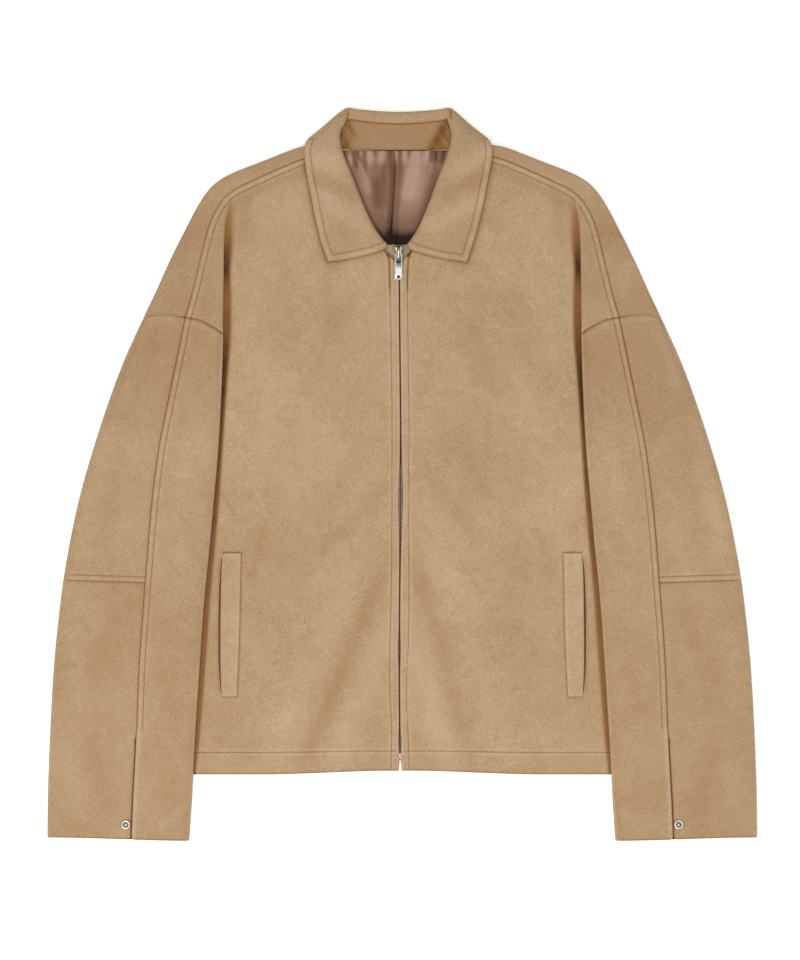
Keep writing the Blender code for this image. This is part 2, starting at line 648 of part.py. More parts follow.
def cuff_drop(h, y):
    """The cuff edge is a little lower towards the body."""
    (start_y, span_y), (start_h, span_h) = CUFF_DROP_Y, CUFF_DROP_H
    return ease((start_y - y) / span_y) * (CUFF_LEVEL - CUFF_DROP * ease((start_h - h) / span_h))


def ring_low(column_table, count):
    """Evenly spaced points of a part of the armhole's under side."""
    return along(np.stack([column_table[k] for k in "hyz"], axis=1), count)


def half_fold(start, end, direction, radius, cells):
    """A half turn between an upper point and a lower one, bulging in a direction."""
    angle = np.linspace(0, math.pi, cells + 1)
    mix = (1 - np.cos(angle)) / 2
    bulge = np.sin(angle) * radius
    line = start + (end - start) * mix[:, None]
    line[:, 0] += direction[0] * bulge
    line[:, 1] += direction[1] * bulge
    return line


def sleeve_ring(y, toward_body):
    """Half of a sleeve's section at one height, from the upper seam round to the under seam."""
    r = SLEEVE_RADIUS
    outer, seam, inner, under = (float(arm(k, y)) for k in ("outer", "seam", "inner", "under"))
    if toward_body:
        fold, sign, gap = inner + WALL / 2 + r, -1.0, -SEAM_GAP / 2
    else:
        fold, sign, gap = outer - WALL / 2 - r, 1.0, SEAM_GAP / 2
    top_h = np.linspace(seam + gap, fold, TOP_CELLS + 1)
    share = (top_h - inner) / (outer - inner)
    top_z = sleeve_z(top_h, y, OVER_STEP) + 2 * r + SLEEVE_CROWN * 4 * share * (1 - share)
    fold_low = float(sleeve_z(fold, y, UNDER_STEP))
    top_z[-1] = fold_low + 2 * r
    top = np.stack([top_h, np.full_like(top_h, y), top_z], axis=1)
    turn = half_fold(top[-1], np.array([fold, y, fold_low]), (sign, 0.0), r, FOLD_CELLS)
    low_h = np.linspace(fold, under + gap, UNDER_CELLS + 1)
    low = np.stack([low_h, np.full_like(low_h, y), sleeve_z(low_h, y, UNDER_STEP)], axis=1)
    ring = np.concatenate([top[:-1], turn[:-1], low])
    ring[:, 1] += cuff_drop(ring[:, 0], ring[:, 1])
    return ring


def armhole_ring(toward_body):
    """The same at the armhole, where the ring slants from the top seam to the underarm."""
    seam_h = SHOULDER["seam_h"][-1]
    if toward_body:
        top = armhole_part(seam_h, ARMHOLE_TOP["h"][-1], TOP_CELLS + 1)
        top[0, 0] -= SEAM_GAP / 2
        start = np.array([RING_FRONT[k][0] for k in "hyz"])
        turn = half_fold(top[-1], start, (-1.0, 0.0), PLEAT_RADIUS, FOLD_CELLS)
        low = ring_low(RING_FRONT, UNDER_CELLS + 1)
    else:
        out = outward(shoulder_curve("fold_h"), shoulder_curve("fold_y"))[-1]
        outline = np.array([SHOULDER["fold_h"][-1], SHOULDER["fold_y"][-1]])
        inset = outline - out * (SHOULDER_RADIUS + WALL / 2)
        top = armhole_part(seam_h, inset[0], TOP_CELLS + 1)
        top[0, 0] += SEAM_GAP / 2
        top[-1] = [inset[0], inset[1], FLOOR_MID + 2 * SHOULDER_RADIUS]
        turn = half_fold(top[-1], np.array([inset[0], inset[1], FLOOR_MID]), out,
                         SHOULDER_RADIUS, FOLD_CELLS)
        low = ring_low(RING_BACK, UNDER_CELLS + 1)
        low[0] = turn[-1]
    top[:, 1] -= SEAM_GAP / 2
    turn[:, 1] -= SEAM_GAP / 2
    return np.concatenate([top[:-1], turn[:-1], low])


def sleeve_grid(toward_body):
    """All rings of half a sleeve from the armhole to the cuff."""
    first = armhole_ring(toward_body)
    plain = sleeve_ring(SLEEVE_ROWS[0], toward_body)
    name, inward = ("inner", WALL / 2) if toward_body else ("outer", -WALL / 2)
    fold_column = TOP_CELLS + FOLD_CELLS // 2
    near = np.clip(1 - np.abs(np.arange(len(first)) - fold_column) / (TOP_CELLS + 2), 0, 1)
    rings = [first.copy()]
    for k in range(1, ARMHOLE_RINGS):
        share = k / ARMHOLE_RINGS
        ring = first * (1 - share) + plain * share
        fold_h, fold_y = ring[fold_column, :2]
        ring[:, 0] += (float(arm(name, fold_y)) - fold_h + inward) * near
        ring[:, 2] += ARMHOLE_SWELL * math.sin(math.pi * share) * (ring[:, 2] > UPPER_LAYER_Z)
        rings.append(ring)
    rings += [sleeve_ring(y, toward_body) for y in SLEEVE_ROWS]
    return np.array(rings)


def build_sleeve(side):
    """A sleeve's three panels: one towards the body, and an upper and a lower one outside."""
    inner = sleeve_grid(True)
    elbow = ARMHOLE_RINGS + SLEEVE_ROWS.index(ELBOW_Y)
    outer = sleeve_grid(False)
    above, below = outer[:elbow + 1].copy(), outer[elbow:].copy()
    above[-1, :, 1] += SEAM_GAP / 2
    below[0, :, 1] -= SEAM_GAP / 2
    wall(side_name("sleeve_front", side), placed(inner, side), WALL, SUEDE)
    wall(side_name("sleeve_upper", side), placed(above, side)[:, ::-1], WALL, SUEDE_DEEP)
    wall(side_name("sleeve_lower", side), placed(below, side)[:, ::-1], WALL, SUEDE_LIGHT)


# ---- collar ---------------------------------------------------------------------------------

COLLAR_CELLS = 12
STAND_CELLS = 3
LEAF_START = 1.0            # the leaf's inner edge lies this far inside the roll line
LEAF_RUN = 4.6              # and runs on this far down its slope,
LEAF_RUN_LEVEL = 3.0        # or this much more where it is level
CREST_IN = (1.6, 0.2)       # control points of the crest: distance from the roll line, rise
CREST_OUT = (2.2, 0.6)
LEAF_SHARES = (0.4, 0.7, 0.88, 1.0)     # of the way out, for the control points in front
LEAF_SAG = 0.8              # power of that share in the leaf's fall
FOLD_OUT = 1.2              # control points of the fold behind the neck, beyond its outline
UNDER_SHARE = 0.4           # of the way from the fold to the edge, for the point under it
STAND_BEND = 4.0            # how far the stand runs on in line with the leaf
STAND_GAP = 0.6             # between leaf and stand where they lie in line
FOLDED_STAND_GAP = 1.5      # and where the leaf meets it at a right angle


def basis(count, u):
    """Clamped cubic B-spline weights of count control points at each u from 0 to 1."""
    degree = 3
    spans = count - degree
    knots = np.concatenate([np.zeros(degree), np.arange(spans + 1), np.full(degree, spans)])
    u = np.asarray(u, dtype=float) * spans
    weights = np.zeros((len(u), len(knots) - 1))
    span = np.clip(np.floor(u).astype(int), 0, spans - 1) + degree
    weights[np.arange(len(u)), span] = 1
    for d in range(1, degree + 1):
        new = np.zeros_like(weights)
        for i in range(len(knots) - 1 - d):
            left = knots[i + d] - knots[i]
            right = knots[i + d + 1] - knots[i + 1]
            if left > 0:
                new[:, i] += (u - knots[i]) / left * weights[:, i]
            if right > 0:
                new[:, i] += (knots[i + d + 1] - u) / right * weights[:, i + 1]
        weights = new
    return weights[:, :count]


def collar_stations():
    """Every station of the collar from the left front end round to the right one."""
    whole = {}
    for k, v in COLLAR.items():
        sign = -1.0 if k.endswith("_h") else 1.0
        whole[k] = np.concatenate([sign * v, v[-2::-1]])
    for name, askew in (("roll", "roll"), ("foot", "roll"), ("out", "out"), ("edge", "out")):
        whole[name + "_h"] -= whole[askew + "_shift"]
    return whole


def collar_plan(stations, name):
    """A point of each station seen from above."""
    return np.stack([stations[name + "_h"], stations[name + "_y"]], axis=1)


def raised(plan, z):
    """Points seen from above, given their heights."""
    return np.concatenate([plan, np.broadcast_to(z, (len(plan), 1))], axis=1)


def leaf_controls(s):
    """The collar leaf's control net: stations x 7 points."""
    roll_line, far, edge = (collar_plan(s, name) for name in ("roll", "out", "edge"))
    tangent = np.gradient(roll_line, axis=0)
    tangent /= np.linalg.norm(tangent, axis=1, keepdims=True)
    into = np.stack([tangent[:, 1], -tangent[:, 0]], axis=1)
    wrap, roll_z, out_z = (s[name][:, None] for name in ("wrap", "roll_z", "out_z"))
    drop = np.radians(s["drop"])[:, None]
    run = LEAF_RUN + LEAF_RUN_LEVEL * np.cos(drop)
    inner = raised(roll_line + into * (LEAF_START + run * np.cos(drop)), roll_z - run * np.sin(drop))
    crest_in = raised(roll_line + into * CREST_IN[0], roll_z + CREST_IN[1])
    crest_out = raised(roll_line - into * CREST_OUT[0], roll_z + CREST_OUT[1])
    reach = far - roll_line
    front = [raised(roll_line + reach * share, roll_z + (out_z - roll_z) * share ** LEAF_SAG)
             for share in LEAF_SHARES]
    beyond = far + reach / np.linalg.norm(reach, axis=1, keepdims=True) * FOLD_OUT
    under = far * (1 - UNDER_SHARE) + edge * UNDER_SHARE
    back = [raised(beyond, out_z)] + [raised(plan, FLOOR_MID) for plan in (beyond, under, edge)]
    outer = [a * (1 - wrap) + b * wrap for a, b in zip(front, back)]
    return np.stack([inner, crest_in, crest_out] + outer, axis=1)


def stand_grid(s, leaf):
    """The stand from its foot to the leaf's inner edge, bent where it runs on in line with it."""
    turned = s["turned"][:, None]
    step = leaf[:, 0] - leaf[:, 1]
    step /= np.linalg.norm(step, axis=1, keepdims=True)
    top = leaf[:, 0] + step * (STAND_GAP * turned + FOLDED_STAND_GAP * (1 - turned))
    plan = collar_plan(s, "foot")
    on_front = body_z(np.abs(plan[:, 0]), plan[:, 1], np.sign(plan[:, 0]))[:, None]
    on_back = (back_z(plan[:, 0], plan[:, 1]) + WALL + LAY_GAP)[:, None]
    foot = raised(plan, on_front * (1 - turned) + on_back * turned)
    share = np.linspace(0, 1, STAND_CELLS + 1)[None, :, None]
    bend = (top + step * STAND_BEND * turned)[:, None]
    return (foot[:, None] * (1 - share) ** 2 + bend * 2 * share * (1 - share)
            + top[:, None] * share ** 2)


def build_collar():
    """The collar leaf, folded over at the front and behind at the back, and its stand."""
    stations = collar_stations()
    net = leaf_controls(stations)
    weights = basis(net.shape[1], np.linspace(0, 1, COLLAR_CELLS + 1))
    leaf = np.einsum("uk,skc->suc", weights, net)
    wall("collar_leaf", leaf, WALL, SUEDE_LIGHT)
    wall("collar_stand", stand_grid(stations, leaf), WALL, SUEDE)


def build_lining():
    """The back's lining, as far as the neck shows it."""
    share = np.linspace(-1, 1, LINING_CELLS + 1)
    x = LINING["centre"][:, None] + LINING["half"][:, None] * share
    y = np.repeat(LINING["y"][:, None], len(share), axis=1)
    z = back_z(x, y) + WALL / 2 + 2 * LAY_GAP + LINING_WALL / 2
    wall("lining_back", np.stack([x, y, z], axis=-1), LINING_WALL, SATIN, roughness=0.45)


# ---- pockets and zip ------------------------------------------------------------------------

WELT = table("y inner outer", (-76.9, 170.3, 191.6), (-153.0, 172.0, 194.6), (-230.6, 175.2, 192.8))
WELT_ROWS = 8
WELT_CELLS = 3


def build_welt(side):
    """A pocket welt lying on its front panel."""
    y = np.linspace(WELT["y"][0], WELT["y"][-1], WELT_ROWS + 1)[:, None]
    share = np.linspace(0, 1, WELT_CELLS + 1)[None, :]
    inner = np.interp(-y, -WELT["y"], WELT["inner"])
    outer = np.interp(-y, -WELT["y"], WELT["outer"])
    h = inner + (outer - inner) * share
    y = np.broadcast_to(y, h.shape)
    z = body_z(h, y, side) + WALL / 2 + LAY_GAP + WELT_WALL / 2
    wall(side_name("pocket_welt", side), placed(np.stack([h, y, z], axis=-1), side), WELT_WALL,
         SUEDE_DEEP)


CHAIN_HALF_WIDTH = 2.9
CHAIN_MID_Z = 3.15
CHAIN_HEIGHT = 2.3
TAPE_MID_Z = 2.7
TAPE_WIDTH = 13.0
TAPE_END_Y = -297.0
ZIP_END_Y = -289.5
ZIP_CELLS = 28
BOX_END_Y = -296.5
BOX_HALF_WIDTH = 2.6
BOX_HEIGHT = 2.5


def zip_strip(name, near, far, z, thickness, top_y, end_y, color, roughness, rows=ZIP_CELLS):
    """A strip that follows the zip between two distances from its centre."""
    y = np.linspace(top_y, end_y, rows + 1)[:, None]
    offset = np.array([near, far])[None, :]
    x = zip_x(y) + offset
    grid = np.stack([x, np.broadcast_to(y, x.shape), np.full_like(x, z)], axis=-1)
    wall(name, grid, thickness, color, roughness=roughness)


def build_zip():
    """Two tapes, the closed chain between them and the box at its lower end."""
    for side in (-1, 1):
        near = side * (CHAIN_HALF_WIDTH + LAY_GAP)
        zip_strip(side_name("zip_tape", side), near, near + side * TAPE_WIDTH, TAPE_MID_Z,
                  TAPE_WALL, ZIP_TOP_Y, TAPE_END_Y, TAPE, 0.9)
    zip_strip("zip_chain", -CHAIN_HALF_WIDTH, CHAIN_HALF_WIDTH, CHAIN_MID_Z, CHAIN_HEIGHT,
              ZIP_TOP_Y, ZIP_END_Y, STEEL, 0.35)
    zip_strip("zip_box", -BOX_HALF_WIDTH, BOX_HALF_WIDTH, CHAIN_MID_Z, BOX_HEIGHT,
              ZIP_END_Y - LAY_GAP, BOX_END_Y, STEEL, 0.35, rows=1)


def prism(outline, low, high):
    """Vertices and faces of an upright prism over a closed outline."""
    count = len(outline)
    vertices = [(x, y, z) for z in (low, high) for x, y in outline]
    faces = [tuple(range(count))[::-1], tuple(range(count, 2 * count))]
    faces += [(i, (i + 1) % count, (i + 1) % count + count, i + count) for i in range(count)]
    return vertices, faces


def metal(name, vertices, faces):
    """A steel piece from vertices in millimetres."""
    return add_object(name, np.array(vertices) * MM, faces, STEEL, 0.3, 1.0, sharp=35)


def rounded(half_width, low_y, high_y, corner, taper=0.0, cells=3):
    """A rectangle with round corners, its lower end narrower by taper on each side."""
    outline = []
    for cx, cy, start in ((1, 1, 0), (-1, 1, 90), (-1, -1, 180), (1, -1, 270)):
        width = half_width - corner - (taper if cy < 0 else 0.0)
        centre = (cx * width, high_y - corner if cy > 0 else low_y + corner)
        for angle in np.radians(np.linspace(start, start + 90, cells + 1)):
            outline.append((centre[0] + corner * math.cos(angle),
                            centre[1] + corner * math.sin(angle)))
    return outline


SLIDER_HALF_WIDTH = 4.4
SLIDER_HALF_LENGTH = 6.0
SLIDER_CORNER = 2.0
SLIDER_TAPER = 0.7
SLIDER_LOW = 1.9
SLIDER_HIGH = 8.0
BAIL_HALF_WIDTH = 1.1
BAIL = ((-5.2, 7.6), (-5.2, 11.4), (-4.2, 12.4), (4.2, 12.4), (5.2, 11.4), (5.2, 7.6),
        (3.6, 7.6), (3.6, 10.9), (-3.6, 10.9), (-3.6, 7.6))     # its outline from the side: y, z


def build_slider():
    """The slider: its body and the bail that holds the pull tab."""
    outline = rounded(SLIDER_HALF_WIDTH, -SLIDER_HALF_LENGTH, SLIDER_HALF_LENGTH, SLIDER_CORNER,
                      SLIDER_TAPER)
    body = metal("zip_slider", *prism(outline, SLIDER_LOW, SLIDER_HIGH))
    vertices = [(x, y, z) for x in (-BAIL_HALF_WIDTH, BAIL_HALF_WIDTH) for y, z in BAIL]
    count = len(BAIL)
    faces = [tuple(range(count)), tuple(range(count, 2 * count))[::-1]]
    faces += [(i + count, (i + 1) % count + count, (i + 1) % count, i) for i in range(count)]
    bail = metal("slider_bail_shape", vertices, faces)
    bail.hide_render = True
    bail.display_type = "WIRE"
    union = body.modifiers.new("bail", "BOOLEAN")
    union.operation = "UNION"
    union.object = bail
    for piece in (body, bail):
        piece.location = (float(zip_x(SLIDER_Y)) * MM, SLIDER_Y * MM, 0.0)


TAB_HALF_WIDTH = 4.6
TAB_LENGTH = 28.0
TAB_HALF_THICKNESS = 0.7
TAB_ABOVE_AXIS = 0.8
TAB_CORNER = 1.2
TAB_SLOT_HALF = 2.1
TAB_SLOT_Y = (-9.6, -0.8)
TAB_SLOT_CORNER = 0.8
TAB_TILT = 3.5


def build_pull_tab():
    """The pull tab, a plate with a slot that takes the bail, hung on its upper bar."""
    outer = rounded(TAB_HALF_WIDTH, TAB_ABOVE_AXIS - TAB_LENGTH, TAB_ABOVE_AXIS, TAB_CORNER)
    slot = rounded(TAB_SLOT_HALF, *TAB_SLOT_Y, TAB_SLOT_CORNER)
    count = len(outer)
    rings = [(outline, z) for z in (-TAB_HALF_THICKNESS, TAB_HALF_THICKNESS)
             for outline in (outer, slot)]
    vertices = [(x, y, z) for outline, z in rings for x, y in outline]
    faces = []
    for i in range(count):
        j = (i + 1) % count
        faces.append((j, i, i + count, j + count))
        faces.append((i + 2 * count, j + 2 * count, j + 3 * count, i + 3 * count))
        faces.append((i, j, j + 2 * count, i + 2 * count))
        faces.append((j + count, i + count, i + 3 * count, j + 3 * count))
    tab = metal("pull_tab", vertices, faces)
    tab.location = (float(zip_x(SLIDER_Y)) * MM, TAB_AXIS_Y * MM, TAB_AXIS_Z * MM)
    tab.rotation_euler = (math.radians(TAB_TILT), 0.0, 0.0)


SNAP_PROFILE = ((0.0, 0.0), (SNAP_RADIUS, 0.0), (SNAP_RADIUS, 0.9), (SNAP_RADIUS - 0.8, 1.6),
                (3.0, 1.5), (2.4, 0.9), (1.7, 0.9), (1.2, 1.8), (0.0, 2.0))     # radius, z
SNAP_SEGMENTS = 20


def build_snap(side):
    """A press stud on the cuff: a ring with a domed middle."""
    segments = SNAP_SEGMENTS
    angle = np.linspace(0, 2 * math.pi, segments, endpoint=False)
    vertices = [(0.0, 0.0, 0.0)]
    for r, z in SNAP_PROFILE[1:-1]:
        vertices += [(r * math.cos(a), r * math.sin(a), z) for a in angle]
    vertices.append((0.0, 0.0, SNAP_PROFILE[-1][1]))
    rings = len(SNAP_PROFILE) - 2
    faces = [(0, 1 + (i + 1) % segments, 1 + i) for i in range(segments)]
    for k in range(rings - 1):
        a, b = 1 + k * segments, 1 + (k + 1) * segments
        faces += [(a + i, a + (i + 1) % segments, b + (i + 1) % segments, b + i)
                  for i in range(segments)]
    last = 1 + (rings - 1) * segments
    faces += [(last + i, last + (i + 1) % segments, len(vertices) - 1) for i in range(segments)]
    snap = metal(side_name("snap", side), vertices, faces)
    inner, outer = arm("inner", SNAP_Y), arm("outer", SNAP_Y)
    share = float((SNAP_H - inner) / (outer - inner))
    top = float(sleeve_z(SNAP_H, SNAP_Y, OVER_STEP)) + 2 * SLEEVE_RADIUS
    top += SLEEVE_CROWN * 4 * share * (1 - share) + WALL / 2 + LAY_GAP
    snap.location = (side * SNAP_H * MM, SNAP_Y * MM, top * MM)


def main():
    """Empty the scene and build every piece."""
    for old in list(bpy.data.objects):
        bpy.data.objects.remove(old, do_unlink=True)
    build_back()
    build_lining()
    build_collar()
    build_zip()
    build_slider()
    build_pull_tab()
    for side in (-1, 1):
        build_front(side)
        build_sleeve(side)
        build_welt(side)
        build_snap(side)


main()
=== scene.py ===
"""Looks of the suede zip jacket: its cloth shells, seams, stitches, zip, snaps and finishes.

Every length in a field or a table is in millimetres, and a mesh is written in metres. The axes
are +X to the right as seen from above, +Y towards the collar and +Z up. "h" is the distance
outward from the body's centre line, so that one table serves both sides.
"""

import logging
import math
from dataclasses import dataclass, field
from enum import Enum, auto
from typing import Any, Iterable, Optional, Sequence, Union

import bpy
import numpy as np
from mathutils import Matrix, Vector


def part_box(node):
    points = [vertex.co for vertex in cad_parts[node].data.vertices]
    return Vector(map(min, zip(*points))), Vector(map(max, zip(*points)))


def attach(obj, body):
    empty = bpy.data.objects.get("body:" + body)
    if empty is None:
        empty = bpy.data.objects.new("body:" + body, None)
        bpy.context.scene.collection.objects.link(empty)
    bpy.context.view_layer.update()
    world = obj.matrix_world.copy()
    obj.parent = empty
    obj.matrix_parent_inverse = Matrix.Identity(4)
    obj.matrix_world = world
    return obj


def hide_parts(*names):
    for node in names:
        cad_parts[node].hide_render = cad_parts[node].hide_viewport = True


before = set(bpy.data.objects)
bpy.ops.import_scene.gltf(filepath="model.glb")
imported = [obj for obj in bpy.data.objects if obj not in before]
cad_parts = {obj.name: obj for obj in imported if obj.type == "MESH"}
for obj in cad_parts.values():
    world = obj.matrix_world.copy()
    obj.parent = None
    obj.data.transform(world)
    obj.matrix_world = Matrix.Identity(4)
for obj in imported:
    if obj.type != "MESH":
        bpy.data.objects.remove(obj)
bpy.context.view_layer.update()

LOG = logging.getLogger("jacket")
MM = 0.001
JACKET = "jacket"
TAB_BODY = "pull_tab"
FAR = 99.0                  # a distance past the reach of every seam and stitch
THIN_RIM = 0.03             # square of the share of the wall that is left at a rounded edge

Array = np.ndarray
Material = bpy.types.Material


class Side(Enum):
    """The two halves of the jacket, as seen from above."""

    LEFT = -1
    RIGHT = 1

    def named(self, base: str) -> str:
        """The piece's name on this side."""
        return f"{base}_{self.name.lower()}"


# ---- curves and steps -----------------------------------------------------------------------

def table(columns: str, *rows: Sequence[float]) -> dict[str, Array]:
    """Rows of numbers under named columns.

    Args:
        columns: the column names, with spaces between them.
        rows: one row for each station.

    Returns:
        An array for each column name.
    """
    return dict(zip(columns.split(), np.array(rows, dtype=float).T))


def smooth(x: Array, y: Array, at: Any) -> Array:
    """A smooth curve through points, which never swings past them.

    Each interval is a cubic, and its end slopes are the harmonic means of the slopes beside it.

    Args:
        x: where the points are, in rising or falling order.
        y: their values, a number or an array for each.
        at: where the curve is wanted; it is held at its ends.

    Returns:
        The curve's values.
    """
    if x[0] > x[-1]:
        x, y = x[::-1], y[::-1]
    at = np.clip(np.asarray(at, dtype=float), x[0], x[-1])
    tail = (1,) * (y.ndim - 1)
    step = np.diff(x)
    slope = np.diff(y, axis=0) / step.reshape((-1,) + tail)
    product = slope[:-1] * slope[1:]
    same = product > 0
    inner = np.where(same, 2 * product / np.where(same, slope[:-1] + slope[1:], 1), 0)
    ends = np.concatenate([slope[:1], inner, slope[-1:]])
    i = np.clip(np.searchsorted(x, at, side="right") - 1, 0, len(step) - 1)
    t = ((at - x[i]) / step[i]).reshape(at.shape + tail)
    span = step[i].reshape(at.shape + tail)
    return (y[i] * (1 + 2 * t) * (1 - t) ** 2 + y[i + 1] * t ** 2 * (3 - 2 * t)
            + span * t * (1 - t) * (ends[i] * (1 - t) - ends[i + 1] * t))


def ease(value: Any) -> Array:
    """A smooth step: 0 below 0, 1 above 1 and 3v^2 - 2v^3 between."""
    value = np.clip(value, 0.0, 1.0)
    return value * value * (3 - 2 * value)


def bell(distance: Any, width: Any) -> Array:
    """A bell curve, exp(-(distance / width)^2)."""
    return np.exp(-(np.asarray(distance) / width) ** 2)


def lengths(points: Array) -> Array:
    """Distance travelled along a polyline.

    Args:
        points: one or more polylines, with the points on the last but one axis.

    Returns:
        The sum of the steps up to each point, from 0.
    """
    steps = np.linalg.norm(np.diff(points, axis=-2), axis=-1)
    return np.concatenate([np.zeros(steps.shape[:-1] + (1,)), np.cumsum(steps, axis=-1)], axis=-1)


def along(points: Array, at: Array) -> Array:
    """Points of a polyline at given distances from its start.

    Args:
        points: the polyline, one point a row.
        at: distances travelled along it.

    Returns:
        One point for each distance.
    """
    travelled = lengths(points)
    return np.stack([np.interp(at, travelled, points[:, k]) for k in range(points.shape[1])], axis=1)


def unit(vectors: Array) -> Array:
    """Vectors of length 1 in the same directions."""
    return vectors / np.maximum(np.linalg.norm(vectors, axis=-1, keepdims=True), 1e-9)


def xyz(x: Any, y: Any, z: Any) -> Array:
    """Points from three coordinates that broadcast together."""
    return np.stack(np.broadcast_arrays(x, y, z), axis=-1)


def marks(distance: Array, *bells: tuple[float, float, float]) -> Array:
    """A sum of bells across a line.

    Args:
        distance: from the line.
        bells: height, distance of its middle and half width of each bell.

    Returns:
        The sum.
    """
    return sum(height * bell(distance - middle, width) for height, middle, width in bells)


def curve(rows: dict[str, Array], name: str, at: Any) -> Array:
    """A column of a table as a smooth curve over its y."""
    return smooth(rows["y"], rows[name], at)


def straight(rows: dict[str, Array], name: str, at: Any) -> Array:
    """A column of a table as straight lines over its y, which falls from row to row."""
    return np.interp(at, rows["y"][::-1], rows[name][::-1])


def cells(rows: int, columns: int, wrap_rows: bool = False, wrap_columns: bool = False) -> Array:
    """Corner numbers of a grid's cells.

    Args:
        rows: rows of points.
        columns: points in a row.
        wrap_rows: whether the last row joins the first.
        wrap_columns: whether the last column joins the first.

    Returns:
        rows x columns x 4 point numbers, each cell wound from its row on to the next.
    """
    ids = np.arange(rows * columns).reshape(rows, columns)
    ids = np.pad(ids, ((0, int(wrap_rows)), (0, int(wrap_columns))), mode="wrap")
    return np.stack([ids[:-1, :-1], ids[:-1, 1:], ids[1:, 1:], ids[1:, :-1]], axis=-1)


def reached(run: Array, points: Array, distance: float) -> Array:
    """The point of each row of a grid that lies at a distance along it.

    Args:
        run: distance travelled at each point, which rises along the row.
        points: the grid.
        distance: the one that is wanted.

    Returns:
        One point for each row, on the straight line between the two grid points beside it.
    """
    after = np.clip((run < distance).sum(axis=1), 1, run.shape[1] - 1)
    row = np.arange(len(run))
    low, high = run[row, after - 1], run[row, after]
    share = np.clip((distance - low) / np.maximum(high - low, 1e-9), 0, 1)[:, None]
    return points[row, after - 1] * (1 - share) + points[row, after] * share


@dataclass(frozen=True)
class Spacing:
    """Places along a line that lie close together near given marks and far apart elsewhere.

    Attributes:
        near_start: marks, as distances from the line's start.
        near_end: marks, as distances back from its end.
        fine: the step at a mark.
        coarse: the step far from every mark.
        reach: how far from a mark the step grows.
    """

    near_start: tuple[float, ...] = (0.0,)
    near_end: tuple[float, ...] = (0.0,)
    fine: float = 0.5
    coarse: float = 3.5
    reach: float = 7.0

    def places(self, length: float) -> Array:
        """Distances along a line.

        The steps that a fine sample of the line takes are added up, and the places are where
        their sum passes whole parts of itself.

        Args:
            length: of the line.

        Returns:
            The distances, from 0 to the length.
        """
        s = np.linspace(0, length, 900)
        spots = np.array(list(self.near_start) + [length - m for m in self.near_end])
        nearest = np.abs(s[:, None] - spots[None, :]).min(axis=1)
        step = self.fine + (self.coarse - self.fine) * ease(nearest / self.reach)
        total = np.concatenate([[0], np.cumsum(np.diff(s) / ((step[1:] + step[:-1]) / 2))])
        return np.interp(np.linspace(0, total[-1], int(math.ceil(total[-1])) + 1), total, s)

    def shares(self, length: float) -> Array:
        """The same places as shares of the length, from 0 to 1."""
        return self.places(length) / length


@dataclass(frozen=True)
class Fold:
    """A soft fold of the cloth: a bell across a straight line, which fades past its ends.

    Attributes:
        from_h: plan point where it begins.
        from_y: the same point's place along the body.
        to_h: plan point where it ends.
        to_y: the same point's place along the body.
        width: half width of the bell.
        height: height of a ridge, or minus the depth of a trough.
    """

    from_h: float
    from_y: float
    to_h: float
    to_y: float
    width: float
    height: float

    def at(self, h: Array, y: Array) -> Array:
        """Height of the fold at plan points.

        Args:
            h: distances from the centre line.
            y: places along the body.

        Returns:
            The bell across the line, times a fade past each of its ends.
        """
        run_h, run_y = self.to_h - self.from_h, self.to_y - self.from_y
        length = math.hypot(run_h, run_y)
        share = ((h - self.from_h) * run_h + (y - self.from_y) * run_y) / length ** 2
        across = ((h - self.from_h) * run_y - (y - self.from_y) * run_h) / length
        fade = ease((share + 0.25) / 0.5) * ease((1.3 - share) / 0.4)
        return self.height * fade * bell(across, self.width)


def folded(folds: Iterable[Fold], h: Array, y: Array) -> Array:
    """Sum of several folds at plan points."""
    return sum((f.at(h, y) for f in folds), np.zeros(np.shape(h)))


# ---- how the layers lie ---------------------------------------------------------------------

SHOULDER = table(
    "station fold_h fold_y seam_h seam_y seam_z",
    (0, 68, 358, 72.4, 349, 5),
    (2, 100, 355.2, 103.1, 341.3, 4.9),
    (4, 150.8, 337.6, 150.8, 321.7, 4.8),
    (6, 187.9, 322.2, 182.6, 305.3, 4.8),
    (7, 200.7, 313.2, 191.1, 296.8, 4.9),
    (8, 210.2, 302.1, 198.5, 285.1, 5.1),
    (9, 217.6, 290.4, 203.8, 273.5, 5.4),
    (11, 230.9, 265, 211.3, 247, 6.2),
    (13, 247.3, 232.1, 217.6, 220.5, 7),
    (15, 262.1, 199.3, 225, 190.8, 7.5),
    (17, 275.9, 170.7, 230.3, 172.8, 7.8))
CORNER = 7
ARMHOLE = 17

ARMHOLE_TOP = table(
    "h y",
    (275.9, 170.7), (267.4, 174.9), (256.8, 176.5), (246.2, 176), (230.3, 172.8),
    (214.4, 169.6), (203.8, 163.8), (196.6, 159.9), (192.1, 155.8))

PLEAT = table(
    "station edge_h edge_y turn rise hidden_h",
    (7, 184, 304.2, 20, 0.8, 0),
    (8, 186, 290.4, 40, 1.6, 0),
    (9, 188, 276.7, 65, 2.6, 0),
    (10, 188.7, 260.8, 95, 3.4, 0),
    (11, 189, 247, 130, 4.1, 0),
    (12, 189.2, 233.2, 180, 4.6, 197.5),
    (13, 189.4, 217.3, 180, 4.6, 202),
    (14, 189.6, 199.3, 180, 4.6, 206),
    (15, 189.8, 186.6, 180, 4.6, 210),
    (16, 190, 169.6, 180, 4.6, 216),
    (17, 190.1, 155.8, 180, 4.6, 222))

ROW_START_Y = np.array([350.0, 337.0, 321.0, 302.0, 282.0, 262.0, 247.0, 233.0, 212.0, 184.0, 155.8])

